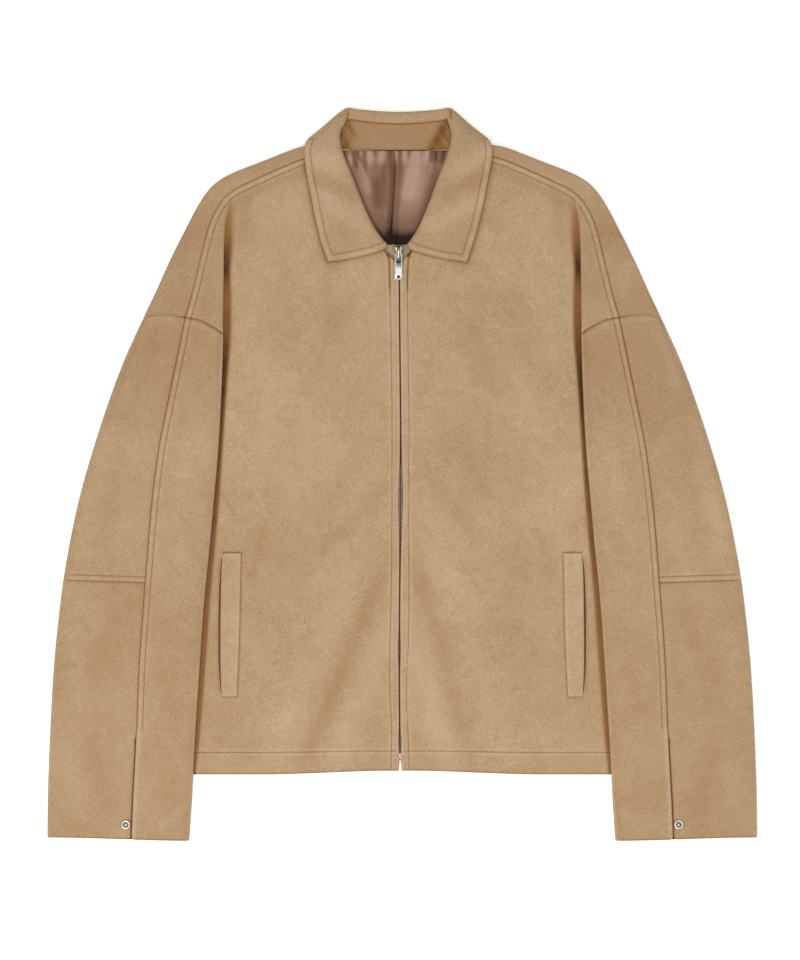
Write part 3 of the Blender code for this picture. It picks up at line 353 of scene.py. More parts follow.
UNDER_EDGE = table(
    "y h",
    (155.8, 222), (143, 233.5), (127.2, 244), (111.3, 256), (95.4, 266.5),
    (82.7, 273.5), (74.2, 276.1))

SLEEVE = table(
    "y outer seam inner under",
    (170.7, 275.9, 230.3, 189.5, 286),
    (117.7, 299.2, 242, 190.8, 287),
    (42.4, 325.3, 256.8, 194.3, 292),
    (-22.3, 343.8, 265.5, 199.7, 301),
    (-73.1, 354.4, 270, 204.3, 303),
    (-127.2, 362.8, 274.2, 209.7, 302.5),
    (-200.3, 370.3, 279.4, 214.8, 301),
    (-276.7, 374.5, 282.4, 219.8, 299),
    (-340.3, 376.6, 286, 223.4, 297),
    (-384, 377, 287.8, 226.6, 296))

RING_FRONT = table(
    "h y z",
    (192.1, 155.3, 5.9), (207, 155.3, 5.9), (222, 153.5, 5.9), (238, 133.5, 5.9),
    (253, 113.5, 5.9), (268, 92, 6), (279.5, 74, 6.3), (286, 65.5, 4.9))
RING_BACK = table(
    "h y z",
    (273.4, 169.2, 0.8), (277.6, 143, 0.8), (279.6, 115, 0.8), (282, 95, 1.2),
    (285.8, 78, 2.6), (286.9, 66, 4.5))

COLLAR = table(
    "roll_h roll_y roll_shift roll_z out_h out_y out_shift out_z edge_h edge_y"
    " drop wrap foot_h foot_y turned",
    (11.6, 247, 5.3, 11.4, 73.7, 231, 5.1, 9.4, 73.7, 231, 80, 0, 14.5, 246, 0),
    (26, 268, 6.3, 12.6, 81, 252, 5.3, 9.4, 81, 252, 80, 0, 30.5, 265.5, 0),
    (37.4, 293.6, 6.8, 13.6, 87.2, 276, 4.9, 9.6, 87.2, 276, 80, 0, 42.1, 291.5, 0),
    (47.8, 321, 7.1, 14.2, 92.8, 303, 4.6, 10, 92.8, 303, 80, 0, 52.4, 319.1, 0),
    (56.8, 343, 7.3, 14.4, 97.6, 328, 4.6, 10.4, 97.6, 328, 78, 0, 60.4, 341.4, 0),
    (60.8, 356, 7.3, 14.2, 100, 347, 4.2, 10.6, 100, 347, 72, 0, 62.2, 350.5, 0.2),
    (62.4, 366, 7.2, 13.4, 97.6, 358.8, 4.2, 9.2, 97.6, 358.8, 62, 0, 61.5, 352, 0.5),
    (62.4, 373.5, 6.8, 12.2, 92.9, 363.8, 4.2, 6.4, 91.5, 354.5, 48, 1, 60, 352.4, 0.8),
    (60.5, 380.5, 5.9, 10.6, 80.9, 373.2, 4.6, 5.6, 84, 343, 34, 1, 56.5, 352, 1),
    (58.6, 385.8, 5.2, 8.8, 69, 383.2, 4.6, 5.3, 75.5, 335, 20, 1, 52, 351.4, 1),
    (55.2, 389, 4.4, 7.2, 59.8, 390.4, 4.2, 5, 66, 331, 12, 1, 47.5, 351.1, 1),
    (50.6, 390.2, 3.8, 6.2, 52.9, 393.8, 3.8, 4.8, 57, 328, 8, 1, 43.5, 350.9, 1),
    (42, 388.6, 3.6, 5.8, 43, 392.2, 3.5, 4.7, 45, 326, 5, 1, 36, 350.7, 1),
    (22, 386.4, 3.5, 5.5, 23, 390.4, 3.5, 4.6, 24, 324, 2, 1, 19, 350.4, 1),
    (0, 385.4, 3.5, 5.4, 0, 389.4, 3.5, 4.6, 0, 323.5, 0, 1, 0, 350.3, 1))
NECK_STATIONS = 8           # rows of the collar table that the neckline follows

WELT = table(
    "y inner outer",
    (-76.9, 170.3, 190.7), (-100, 171.2, 192.1), (-153, 172, 193), (-190, 173.4, 193.1),
    (-230.6, 175.2, 191.7))

FRONT_FOLDS = {
    Side.LEFT: (
        Fold(18, -92, 96, -282, 13, -0.7),
        Fold(12, -140, 68, -292, 20, 1.3),
        Fold(52, -95, 122, -262, 22, 0.8)),
    Side.RIGHT: (
        Fold(12, -73, 65, -284, 13, -0.7),
        Fold(8, -140, 50, -292, 19, 1.3),
        Fold(42, -85, 104, -266, 22, 0.8)),
}


@dataclass(frozen=True)
class Lay:
    """Thicknesses of the cloth and how high each layer of the laid jacket lies.

    Attributes:
        wall: suede with its backing.
        seam_gap: between two panels that meet at a seam.
        lay_gap: between two layers that lie on each other.
        body_lift: a front's middle surface above the back's.
        pleat_radius: radius of the pleat's folds beside the armhole.
        shoulder_radius: radius where the back rolls over the shoulder.
        sleeve_radius: radius of a sleeve's two side folds.
        crown: how far a sleeve's upper layer swells between its folds.
        neck_rise: lift of the back by the collar folded under it.
        zip_ridge: lift of the fronts over the zip.
        hem_y: the fronts' lower edge.
        hem_h: half width of the hem.
        underarm_h: where the side seam ends at the armhole.
        underarm_y: the same point's place along the body.
    """

    wall: float = 1.6
    seam_gap: float = 0.4
    lay_gap: float = 0.3
    body_lift: float = 2.8
    pleat_radius: float = 1.15
    shoulder_radius: float = 2.0
    sleeve_radius: float = 2.4
    crown: float = 0.6
    neck_rise: float = 2.4
    zip_ridge: float = 1.9
    hem_y: float = -312.7
    underarm_h: float = 280.2
    underarm_y: float = 74.2
    hem_h: float = 254.7

    @property
    def floor_mid(self) -> float:
        """Middle surface of cloth that rests on the floor."""
        return self.wall / 2

    @property
    def pitch(self) -> float:
        """Height from one layer of the pleat to the next."""
        return 2 * self.pleat_radius

    @property
    def side_radius(self) -> float:
        """Radius where the back rolls up at the side seam."""
        return self.body_lift / 2

    def neck_lift(self, h: Array, y: Array) -> Array:
        """How much the collar under the neck raises the back panel."""
        return self.neck_rise * ease((y - 284) / 32) * (1 - ease((np.abs(h) - 104) / 26))

    def back_z(self, h: Array, y: Array) -> Array:
        """Middle surface of the back panel."""
        return self.floor_mid + self.neck_lift(h, y)

    @staticmethod
    def zip_x(y: Any) -> Array:
        """Centre of the zip: a slow sine wave, and a small bend to the left under the slider."""
        y = np.asarray(y)
        return -2.35 + 0.75 * np.sin(2 * math.pi * (127.0 - y) / 424.0) - 0.9 * ease((y - 200) / 40)

    @staticmethod
    def zip_half_gap(y: Any) -> Array:
        """Half the width between the fronts.

        Args:
            y: places along the zip.

        Returns:
            A slit, three bell-shaped openings, the slider's room and the spread at the hem.
        """
        y = np.asarray(y)
        opening = 1.5 * bell(y + 21, 38) + 0.75 * bell(y + 180, 14) + 0.65 * bell(y + 281, 13)
        return 0.34 + opening + 4.4 * ease((y - 216) / 16) + 1.1 * ease((-293 - y) / 16)

    def body_z(self, h: Array, y: Array, side: Any) -> Array:
        """Middle surface of a front panel where it lies on the back.

        Args:
            h: distances from the centre line.
            y: places along the body.
            side: 1 on the right and -1 on the left.

        Returns:
            The back's own height, the lift, the greater of the zip's ridge and the shoulder's
            rise, and a soft roll round the neck.
        """
        from_zip = np.abs(side * h - self.zip_x(y))
        ridge = self.zip_ridge * (1 - ease((from_zip - 12) / 18))
        shoulder = 1.2 * ease((y - 190) / 90)
        round_neck = 0.8 * ease((y - 225) / 30) * (1 - ease((np.abs(h) - 70) / 40))
        return self.back_z(h, y) + self.body_lift + np.maximum(ridge, shoulder) + round_neck

    def side_h(self, y: Any) -> Array:
        """Outer edge of the body below the underarm, a straight line to the hem."""
        share = (self.underarm_y - np.asarray(y)) / (self.underarm_y - self.hem_y)
        return self.underarm_h + (self.hem_h - self.underarm_h) * share

    def _stepped_z(self, h: Array, y: Array, inset: float, slope: float, below: float,
                   hem_slope: float) -> Array:
        """Middle surface of cloth that lies on the body and comes down to the floor.

        Args:
            h: distances from the centre line.
            y: places along the body.
            inset: how far outside the side seam the way down begins.
            slope: width of that way down.
            below: how far below the hem the other way down ends.
            hem_slope: width of that one.

        Returns:
            Heights: smooth steps from the body's height to the floor's.
        """
        on_body = 1 - ease((h - self.side_h(y) - inset) / slope)
        return self.floor_mid + (self.body_lift + self.pitch) * on_body * ease(
            (y - self.hem_y + below) / hem_slope)

    def under_sleeve_z(self, h: Array, y: Array) -> Array:
        """Middle surface of a sleeve's lower layer: on the body, then down to the floor."""
        return self._stepped_z(h, y, 6, 24, 32, 28)

    def over_sleeve_z(self, h: Array, y: Array) -> Array:
        """The same for the upper layer, which bridges the steps in a wider curve."""
        return self._stepped_z(h, y, -6, 46, 36, 40)


LAY = Lay()


class ShoulderLine:
    """The shoulder's outline, its forward seam and the armhole seam, shared by the panels."""

    @staticmethod
    def column(name: str, station: Any) -> Array:
        """A column of the shoulder table at any station."""
        return smooth(SHOULDER["station"], SHOULDER[name], station)

    @classmethod
    def seam(cls, station: Any) -> Array:
        """Points (h, y, z) of the forward seam."""
        h, y = cls.column("seam_h", station), cls.column("seam_y", station)
        return np.stack([h, y, cls.column("seam_z", station) + LAY.neck_lift(h, y)], axis=-1)

    @classmethod
    def armhole(cls) -> Array:
        """The armhole seam from the outline to the pleat's fold.

        Returns:
            Points (h, y, z) on a smooth curve through its table, with the heights of the
            shoulder's roll, the forward seam and the pleat's fold on straight lines between.
        """
        h, y = ARMHOLE_TOP["h"], ARMHOLE_TOP["y"]
        outline_z = LAY.floor_mid + 2 * LAY.shoulder_radius
        fold_z = LAY.floor_mid + LAY.body_lift + 2 * LAY.pitch
        seam_h, seam_z = SHOULDER["seam_h"][-1], SHOULDER["seam_z"][-1]
        z = np.interp(-h, [-h[0], -seam_h, -h[-1]], [outline_z, seam_z, fold_z])
        knots = np.linspace(0, 1, len(h))
        return smooth(knots, np.stack([h, y, z], axis=1), np.linspace(0, 1, 8 * (len(h) - 1) + 1))

    @classmethod
    def armhole_part(cls, start_h: float, end_h: float, share: Array) -> Array:
        """Part of the armhole seam between two distances from the centre line.

        Args:
            start_h: where the part begins.
            end_h: where it ends.
            share: how far along the part each point is, from 0 to 1.

        Returns:
            Points (h, y, z).
        """
        points = cls.armhole()
        low, high = min(start_h, end_h), max(start_h, end_h)
        inside = points[(points[:, 0] > low + 0.5) & (points[:, 0] < high - 0.5)]
        rising = points[::-1].T
        ends = [[h, *(np.interp(h, rising[0], values) for values in rising[1:])] for h in (high, low)]
        path = np.vstack([ends[0], inside, ends[1]])
        if start_h < end_h:
            path = path[::-1]
        return along(path, share * lengths(path)[-1])


# ---- cloth shells ---------------------------------------------------------------------------

class Edge(Enum):
    """The four edges of a grid."""

    FIRST_ROW = auto()
    LAST_ROW = auto()
    FIRST_COLUMN = auto()
    LAST_COLUMN = auto()

    @property
    def on_rows(self) -> bool:
        """Whether the rows end at this edge."""
        return self in (Edge.FIRST_COLUMN, Edge.LAST_COLUMN)


@dataclass
class Shell:
    """A closed wall of cloth round a grid of points on its middle surface.

    Attributes:
        name: the piece's name.
        middle: rows x columns x 3 points.
        facing: 1 or -1, which makes the grid's normals point to the cloth's outside.
        keep: the cells that the piece has, all of them by default.
        thickness: of the whole wall.
        lift: how far the outside stands out beyond half the thickness, at each point.
        wear_and_painted_light: from 0 to 1, painted shade and seam marks at each point; below 0 a painted
            highlight.
        rim: the radius to which an edge is rounded.
    """

    name: str
    middle: Array
    facing: int
    keep: Optional[Array] = None
    thickness: float = LAY.wall
    lift: Optional[Array] = None
    wear_and_painted_light: Optional[Array] = None
    rim: dict[Edge, float] = field(default_factory=dict)

    def __post_init__(self) -> None:
        """Fills in what wasn't given, and works out the cells and the normals."""
        shape = self.middle.shape[:2]
        self.lift = np.zeros(shape) if self.lift is None else self.lift
        self.wear_and_painted_light = np.zeros(shape) if self.wear_and_painted_light is None else self.wear_and_painted_light
        quads = cells(*shape)
        quads = quads.reshape(-1, 4) if self.keep is None else quads[self.keep]
        self._quads = quads if self.facing > 0 else quads[:, ::-1]
        self.normals = self._find_normals()

    def _find_normals(self) -> Array:
        """Unit normal at each point.

        Returns:
            The sum of the cross products of the diagonals of the cells round a point, brought to
            length 1.
        """
        points = self.middle.reshape(-1, 3)
        corner = points[self._quads]
        face = unit(np.cross(corner[:, 2] - corner[:, 0], corner[:, 3] - corner[:, 1]))
        total = np.zeros_like(points)
        for k in range(4):
            np.add.at(total, self._quads[:, k], face)
        return unit(total).reshape(self.middle.shape)

    def distance(self, *edges: Edge) -> Array:
        """Distance of each point from the nearest of some edges.

        Args:
            edges: which of the grid's edges count.

        Returns:
            Lengths along the rows or the columns.
        """
        found = []
        for edge in edges:
            run = lengths(self.middle if edge.on_rows else self.middle.transpose(1, 0, 2))
            run = run if edge in (Edge.FIRST_ROW, Edge.FIRST_COLUMN) else run[:, -1:] - run
            found.append(run if edge.on_rows else run.T)
        return np.minimum.reduce(found)

    def rounding(self) -> Array:
        """Share of the thickness at each point.

        Returns:
            1 inside the cloth, and a quarter circle up from each edge that has a rim.
        """
        share = np.ones(self.middle.shape[:2])
        for edge, radius in self.rim.items():
            near = 1 - np.clip(self.distance(edge) / radius, 0, 1)
            share = np.minimum(share, np.sqrt(np.maximum(1 - near ** 2, THIN_RIM)))
        return share

    def outside(self) -> Array:
        """Points of the outer surface."""
        out = (self.thickness / 2) * self.rounding() + self.lift
        return self.middle + self.normals * out[..., None]

    def object(self, finish: Material) -> bpy.types.Object:
        """Makes the closed mesh: outer faces, inner faces and a rim round the kept cells.

        An edge of a cell is on the rim where no other cell has it the other way round.

        Args:
            finish: its material.

        Returns:
            The object.
        """
        half = self.thickness / 2 * self.rounding()
        inner = (self.middle - self.normals * half[..., None]).reshape(-1, 3)
        used, flat = np.unique(self._quads, return_inverse=True)
        quads = flat.reshape(-1, 4)
        count = len(used)
        directed = np.concatenate([quads[:, [k, (k + 1) % 4]] for k in range(4)])
        forward = directed[:, 0] * count + directed[:, 1]
        backward = directed[:, 1] * count + directed[:, 0]
        rim = directed[~np.isin(backward, forward)]
        rim_faces = np.stack([rim[:, 1], rim[:, 0], rim[:, 0] + count, rim[:, 1] + count], axis=1)
        faces = np.concatenate([quads, quads[:, ::-1] + count, rim_faces])
        points = np.concatenate([self.outside().reshape(-1, 3)[used], inner[used]])
        wear_and_painted_light = np.tile(self.wear_and_painted_light.reshape(-1)[used], 2)
        return make_object(self.name, points, faces, finish, wear_and_painted_light)

    def settled(self, finish: Material, slot: str, *nodes: str) -> bpy.types.Object:
        """Makes the mesh and lets it ride on the jacket, in place of CAD nodes."""
        return settle(self.object(finish), JACKET, nodes)


def make_object(name: str, points: Array, faces: Array, finish: Material,
                wear_and_painted_light: Optional[Array] = None, smooth_faces: bool = True) -> bpy.types.Object:
    """Makes a mesh object at the origin.

    Args:
        name: the piece's name.
        points: vertices in millimetres.
        faces: vertex numbers, one row a face, all with as many corners.
        finish: its material.
        wear_and_painted_light: a value at each vertex for the attribute of that name: painted shade, painted
            highlight and seam marks.
        smooth_faces: whether its faces are shaded smooth.

    Returns:
        The object, linked to the scene.
    """
    mesh = bpy.data.meshes.new(name)
    corners = faces.shape[1]
    mesh.vertices.add(len(points))
    mesh.vertices.foreach_set("co", (points * MM).astype(np.float32).ravel())
    mesh.loops.add(faces.size)
    mesh.loops.foreach_set("vertex_index", faces.astype(np.int32).ravel())
    mesh.polygons.add(len(faces))
    mesh.polygons.foreach_set("loop_start", np.arange(0, faces.size, corners, dtype=np.int32))
    mesh.polygons.foreach_set("use_smooth", np.full(len(faces), smooth_faces))
    mesh.update(calc_edges=True)
    # the attribute carries painted shade and painted highlight along with seam marks
    if wear_and_painted_light is not None:
        attribute = mesh.attributes.new("wear_and_painted_light", "FLOAT", "POINT")
        attribute.data.foreach_set("value", wear_and_painted_light.astype(np.float32))
    mesh.materials.append(finish)
    piece = bpy.data.objects.new(name, mesh)
    bpy.context.scene.collection.objects.link(piece)
    return piece


def settle(piece: bpy.types.Object, body: str, nodes: Sequence[str] = ()
           ) -> bpy.types.Object:
    """Makes a piece ride on a body and stand for CAD nodes.

    Args:
        piece: the object.
        body: the body that it moves with.
        nodes: the CAD nodes that it replaces.

    Returns:
        The same object.
    """
    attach(piece, body)
    if nodes:
        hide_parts(*nodes)
    LOG.info("%s: %d faces", piece.name, len(piece.data.polygons))
    return piece


def mirrored(half: Array, side: Side) -> Array:
    """Points (h, y, z) or (h, y) of one half as points (x, y, z) or (x, y) on a side."""
    return half * np.array([side.value, 1, 1])[:half.shape[-1]]


def distance_to(points: Array, line: Array) -> Array:
    """Plan distance of each point of a grid from a polyline.

    The foot of the perpendicular on each segment is held between the segment's ends, and the
    nearest segment counts.

    Args:
        points: rows x columns x 2 or 3.
        line: one plan point a row.

    Returns:
        rows x columns distances.
    """
    flat = points[..., :2].reshape(-1, 2)
    start, run = line[:-1, :2], np.diff(line[:, :2], axis=0)
    square = np.maximum((run ** 2).sum(axis=1), 1e-9)
    best = np.full(len(flat), np.inf)
    for block in np.array_split(np.arange(len(flat)), max(1, len(flat) * len(run) // 2_000_000)):
        away = flat[block, None, :] - start[None]
        share = np.clip((away * run[None]).sum(axis=2) / square, 0, 1)
        gap = away - share[..., None] * run[None]
        best[block] = np.sqrt((gap ** 2).sum(axis=2)).min(axis=1)
    return best.reshape(points.shape[:2])


# ---- sewing ---------------------------------------------------------------------------------

@dataclass(frozen=True)
class Sewing:
    """A row of stitches and the groove that it presses into the cloth.

    Attributes:
        pitch: from one stitch to the next.
        length: of the thread that shows in each stitch.
        radius: of the thread.
        groove: depth of the groove.
        groove_width: half width of the groove.
        shade: how dark the groove is painted, for its shade and the flattened nap.
        sides: of the thread's section.
        ring_at: where the rings of a stitch lie, as shares of its length.
        ring_size: their sizes, as shares of the radius.
        sunk: how deep a stitch's ends dip, as a share of the radius.
    """

    pitch: float = 2.7
    length: float = 1.75
    radius: float = 0.3
    groove: float = 0.24
    groove_width: float = 0.65
    shade: float = 0.26
    sides: int = 6
    ring_at: tuple[float, ...] = (-0.5, -0.36, 0.36, 0.5)
    ring_size: tuple[float, ...] = (0.35, 1.0, 1.0, 0.35)
    sunk: float = 0.9

    def press(self, distance: Array) -> Array:
        """Depth of the groove at a distance from the stitch line, as a negative height."""
        return -self.groove * bell(distance, self.groove_width)

    def mark(self, distance: Array) -> Array:
        """Painted shade and flattened nap at a distance from the stitch line."""
        return self.shade * bell(distance, self.groove_width)

    def _block(self) -> Array:
        """Faces of one stitch.

        Returns:
            Its sides, and each end's hexagon as two faces of four corners.
        """
        rings = len(self.ring_at)
        sides = cells(rings, self.sides, wrap_columns=True).reshape(-1, 4)
        last = (rings - 1) * self.sides
        ends = [[0, 5, 4, 3], [last, last + 1, last + 2, last + 3],
                [0, 3, 2, 1], [last, last + 3, last + 4, last + 5]]
        return np.concatenate([sides, ends])

    def thread(self, name: str, lines: Sequence[tuple[Array, Array]], finish: Material
               ) -> bpy.types.Object:
        """Makes every stitch of several lines as one mesh.

        Each stitch is a capsule: four rings of a hexagon carried along the line's tangent,
        narrower at its two ends, which dip by the square of their distance from its middle.

        Args:
            name: the piece's name.
            lines: pairs of points and outward normals along each line.
            finish: the thread's material.

        Returns:
            The object.
        """
        stitches = []
        for points, normals in lines:
            travelled = lengths(points)
            at = np.arange(self.pitch / 2, travelled[-1], self.pitch)
            ahead = along(points, np.minimum(at + self.length / 2, travelled[-1]))
            behind = along(points, np.maximum(at - self.length / 2, 0))
            up = unit(np.stack([np.interp(at, travelled, values) for values in normals.T], axis=1))
            stitches.append(np.stack([(ahead + behind) / 2, unit(ahead - behind), up]))
        centre, tangent, up = np.concatenate(stitches, axis=1)[:, :, None, None]
        across = unit(np.cross(up, tangent))
        up = np.cross(tangent, across)
        angle = np.linspace(0, 2 * math.pi, self.sides, endpoint=False)[:, None]
        place = np.array(self.ring_at)[:, None, None]
        size = np.array(self.ring_size)[:, None, None] * self.radius
        dip = -(place * 2) ** 2 * self.radius * self.sunk
        points = (centre + tangent * place * self.length + up * dip
                  + (across * np.cos(angle) + up * np.sin(angle)) * size).reshape(-1, 3)
        per_stitch = len(self.ring_at) * self.sides
        shift = np.arange(0, len(points), per_stitch)[:, None, None]
        return make_object(name, points, (self._block() + shift).reshape(-1, 4), finish)


SEWING = Sewing()


def on_surface(points: Array, normals: Array, usable: Array, line: Array, sink: float = 0.02
               ) -> tuple[Array, Array]:
    """Puts a plan line on a surface.

    The height comes from the nearest surface point and the plane through it.

    Args:
        points: rows x columns x 3 points of the outer surface.
        normals: their unit normals.
        usable: which of them may be used, such as those of the top layer.
        line: one plan point a row.
        sink: how far the line lies below the surface.

    Returns:
        The line's points and the normals there.
    """
    surface, up = points[usable], normals[usable]
    found, tilt = [], []
    for block in np.array_split(line[:, :2], max(1, len(line) * len(surface) // 3_000_000)):
        away = ((block[:, None, :] - surface[None, :, :2]) ** 2).sum(axis=2)
        nearest = away.argmin(axis=1)
        base, n = surface[nearest], up[nearest]
        slope = ((block - base[:, :2]) * n[:, :2]).sum(axis=1) / np.maximum(n[:, 2], 0.3)
        found.append(np.column_stack([block, base[:, 2] - np.clip(slope, -1, 1)]))
        tilt.append(n)
    return np.concatenate(found) - np.concatenate(tilt) * sink, np.concatenate(tilt)


def plan_line(h: Array, y: Array, side: Side, step: float = 1.0) -> Array:
    """A plan polyline with evenly spaced points.

    Args:
        h: distances of its corners from the centre line.
        y: their places along the body.
        side: which half of the jacket it is on.
        step: from one point to the next.

    Returns:
        Points (x, y).
    """
    points = mirrored(np.stack(np.broadcast_arrays(h, y), axis=-1), side)
    total = lengths(points)[-1]
    return along(points, np.linspace(0, total, max(2, int(total / step))))


def offset(line: Array, by: float) -> Array:
    """A polyline moved sideways by a distance, to the left of its direction."""
    tangent = unit(np.gradient(line, axis=0))
    return line + np.stack([-tangent[:, 1], tangent[:, 0]], axis=1) * by


def uneven(x: Array, y: Array, phase: float, height: float = 0.16) -> Array:
    """Slow unevenness of laid cloth: the sum of five plane waves, 29 to 97 mm long.

    Args:
        x: plan points.
        y: plan points.
        phase: a number that makes each panel different.
        height: of each wave.

    Returns:
        Heights, up to about three times height.
    """
    long = np.array([97.0, 71.0, 53.0, 38.0, 29.0])
    heading = np.array([0.4, 1.35, 2.2, 0.9, 2.75]) + phase
    strength = np.array([1.0, 0.9, 0.8, 0.5, 0.35]) * height
    run = x[..., None] * np.cos(heading) + y[..., None] * np.sin(heading)
    bend = 0.8 * np.sin(2 * math.pi * (y[..., None] * np.cos(heading)) / 160 + phase)
    return (np.sin(2 * math.pi * run / long + bend + phase * np.arange(1, 6)) * strength).sum(axis=-1)


def puckers(travel: Array, distance: Array, height: float, pitch: float = 8.5,
            depth: float = 7.0) -> Array:
    """Small gathers that run away from a seam and die out.

    Args:
        travel: distance along the seam.
        distance: distance from the seam.
        height: of the gathers at the seam.
        pitch: from one gather to the next.
        depth: how far they reach.

    Returns:
        Heights: two sine waves of unlike pitch, times a bell of the distance.
    """
    wave = (np.sin(2 * math.pi * travel / pitch)
            + 0.8 * np.sin(2 * math.pi * travel / (pitch * 1.63) + 1.1)
            + 0.5 * np.sin(2 * math.pi * travel / (pitch * 0.71) + 2.3))
    return height * wave * bell(distance, depth)


# ---- the panels -----------------------------------------------------------------------------

@dataclass(frozen=True)
class SeamLook:
    """What a topstitched seam does to the cloth beside it.

    Attributes:
        stitch_at: distance of the stitches from the seam.
        swell: height of the soft ridge between the seam and the stitches.
        dark: how dark the seam itself is.
        rubbed: how strong the painted highlight on that ridge is.
        outside_at: how far past the stitches a second ridge is.
    """

    stitch_at: float = 6.4
    swell: float = 0.42
    dark: float = 0.4
    rubbed: float = 0.1
    outside_at: float = 2.2

    def lift(self, distance: Array) -> Array:
        """Height beside the seam: a ridge, then the stitches' groove."""
        ridge = self.swell * bell(distance - self.stitch_at * 0.5, self.stitch_at * 0.36)
        return ridge + SEWING.press(distance - self.stitch_at)

    def wear_and_painted_light(self, distance: Array) -> Array:
        """Painted shade and painted highlight beside the seam, and the seam's dark line.

        Args:
            distance: from the edge that laps over.

        Returns:
            More in the seam and in the stitches' groove, and below 0, as painted highlight, on the ridges
            beside them.
        """
        ridges = marks(distance, (1.0, self.stitch_at * 0.5, 1.7),
                       (0.6, self.stitch_at + self.outside_at, 1.2))
        groove = SEWING.mark(distance - self.stitch_at)
        return self.dark * bell(distance, 0.8) + groove - self.rubbed * ridges


SEAM = SeamLook()

ZIP_STITCH = {
    Side.LEFT: table(
        "y x",
        (250, -26), (245, -19.6), (240, -15.8), (234, -14), (206.7, -13.2), (148.4, -12),
        (53, -10.9), (-95.4, -11.4), (-169.6, -13), (-201.4, -13.5), (-233.2, -13), (-265, -11.2),
        (-308, -12)),
    Side.RIGHT: table(
        "y x",
        (250, 15.8), (245, 10.2), (240, 7.6), (234, 6.4), (206.7, 5.4), (148.4, 6), (53, 7.1),
        (-42.4, 6.6), (-95.4, 7.1), (-169.6, 6.6), (-201.4, 5), (-233.2, 4.6), (-265, 6),
        (-308, 7.5)),
}

SMALL_FOLDS = {
    Side.LEFT: (
        Fold(16, -7, 87, -77, 8, -0.35), Fold(42, 42, 80, -29, 9, -0.3),
        Fold(148, -53, 160, -104, 5, -0.36), Fold(165, 302, 172, 254, 8, -0.4),
        Fold(120, 120, 150, 20, 14, 0.35), Fold(60, 190, 95, 110, 13, -0.3),
        Fold(140, 236, 165, 150, 12, 0.4)),
    Side.RIGHT: (
        Fold(22, 10, 80, -60, 9, -0.3), Fold(52, 60, 88, -10, 9, -0.28),
        Fold(147, -54, 160, -100, 5, -0.34), Fold(163, 302, 170, 254, 8, -0.4),
        Fold(112, 130, 146, 36, 14, 0.35), Fold(66, 180, 98, 96, 13, -0.3),
        Fold(136, 230, 162, 140, 12, 0.4)),
}

# The body's furrow beside each sleeve, by y: the sleeve's edge, the flat width and the fade of the furrow,
# and how dark its painted shade is; front_z also sinks the cloth by it.
BESIDE_SLEEVE = table(
    "y edge flat fade dark",
    (300, 184.4, 1, 8, 0), (296.8, 184.8, 2, 10, 0.08), (280.9, 187.6, 3, 10, 0.34),
    (254.4, 189, 4.6, 8.5, 0.62), (233.2, 189.4, 4.2, 6.5, 0.9), (222.6, 189.5, 4, 5.5, 0.96),
    (206.7, 189.6, 4.8, 5, 0.7), (190.8, 189.7, 6, 4.5, 0.6), (169.6, 189.8, 5.8, 4.5, 0.7),
    (148.4, 190.2, 5.6, 4.5, 0.8), (127.2, 190.8, 4.6, 4, 0.92), (106, 191.8, 4, 3.5, 0.98),
    (63.6, 193.4, 3, 3, 0.86), (-21.2, 199.8, 3.6, 3.5, 0.745), (-63.6, 203.6, 3.8, 3.5, 0.7),
    (-127.2, 209.8, 4, 3.5, 0.6), (-169.6, 212.8, 4.2, 3.5, 0.565), (-233.2, 217.2, 3.8, 3.5, 0.54),
    (-275.6, 219.8, 3, 3, 0.54), (-312.7, 222, 1.5, 2.5, 0.5))

FURROW_DEPTH = 1.2

SLEEVE_FOLDS = (
    Fold(262, 14, 274, -127, 7, -0.35), Fold(318, 60, 343, -60, 13, 0.5),
    Fold(296, 40, 316, -60, 9, -0.35), Fold(300, -130, 330, -215, 12, -0.4),
    Fold(345, -140, 352, -230, 14, 0.45), Fold(220, 60, 236, -40, 12, 0.45),
    Fold(236, 130, 262, 60, 9, -0.35), Fold(330, -270, 312, -350, 12, -0.45),
    Fold(350, -280, 345, -350, 10, 0.4), Fold(262, -372, 232, -350, 6, 0.6),
    Fold(252, -300, 246, -352, 9, -0.3), Fold(290, 150, 316, 70, 8, -0.4),
    Fold(274, 160, 296, 90, 9, 0.5))
ABOVE_CUFF = {Side.LEFT: Fold(256, -198, 239, -250, 7, -0.45),
              Side.RIGHT: Fold(240, -198, 253, -250, 7, -0.45)}


def beside_sleeve(h: Array, y: Array) -> Array:
    """Painted shade of the body's cloth close to the sleeve, in the deep narrow furrow there.

    Args:
        h: distances from the centre line.
        y: places along the body.

    Returns:
        The table's painted shade near the sleeve's edge, fading towards the zip.
    """
    edge, flat, fade, dark = (straight(BESIDE_SLEEVE, k, y) for k in ("edge", "flat", "fade", "dark"))
    return dark * ease(1 - (edge - h - flat) / fade)


def front_folds(h: Array, y: Array, side: Side) -> Array:
    """Height of a front's folds, broad and small."""
    return folded(FRONT_FOLDS[side], h, y) + folded(SMALL_FOLDS[side], h, y)


def front_z(h: Array, y: Array, side: Side) -> Array:
    """Middle surface of a front panel with all its folds, and its furrow beside the sleeve."""
    return (LAY.body_z(h, y, side.value) + front_folds(h, y, side)
            - FURROW_DEPTH * beside_sleeve(h, y) + uneven(h * side.value, y, front_phase(side)))


def front_phase(side: Side) -> float:
    """What makes the unevenness of the two fronts differ."""
    return 0.7 + side.value


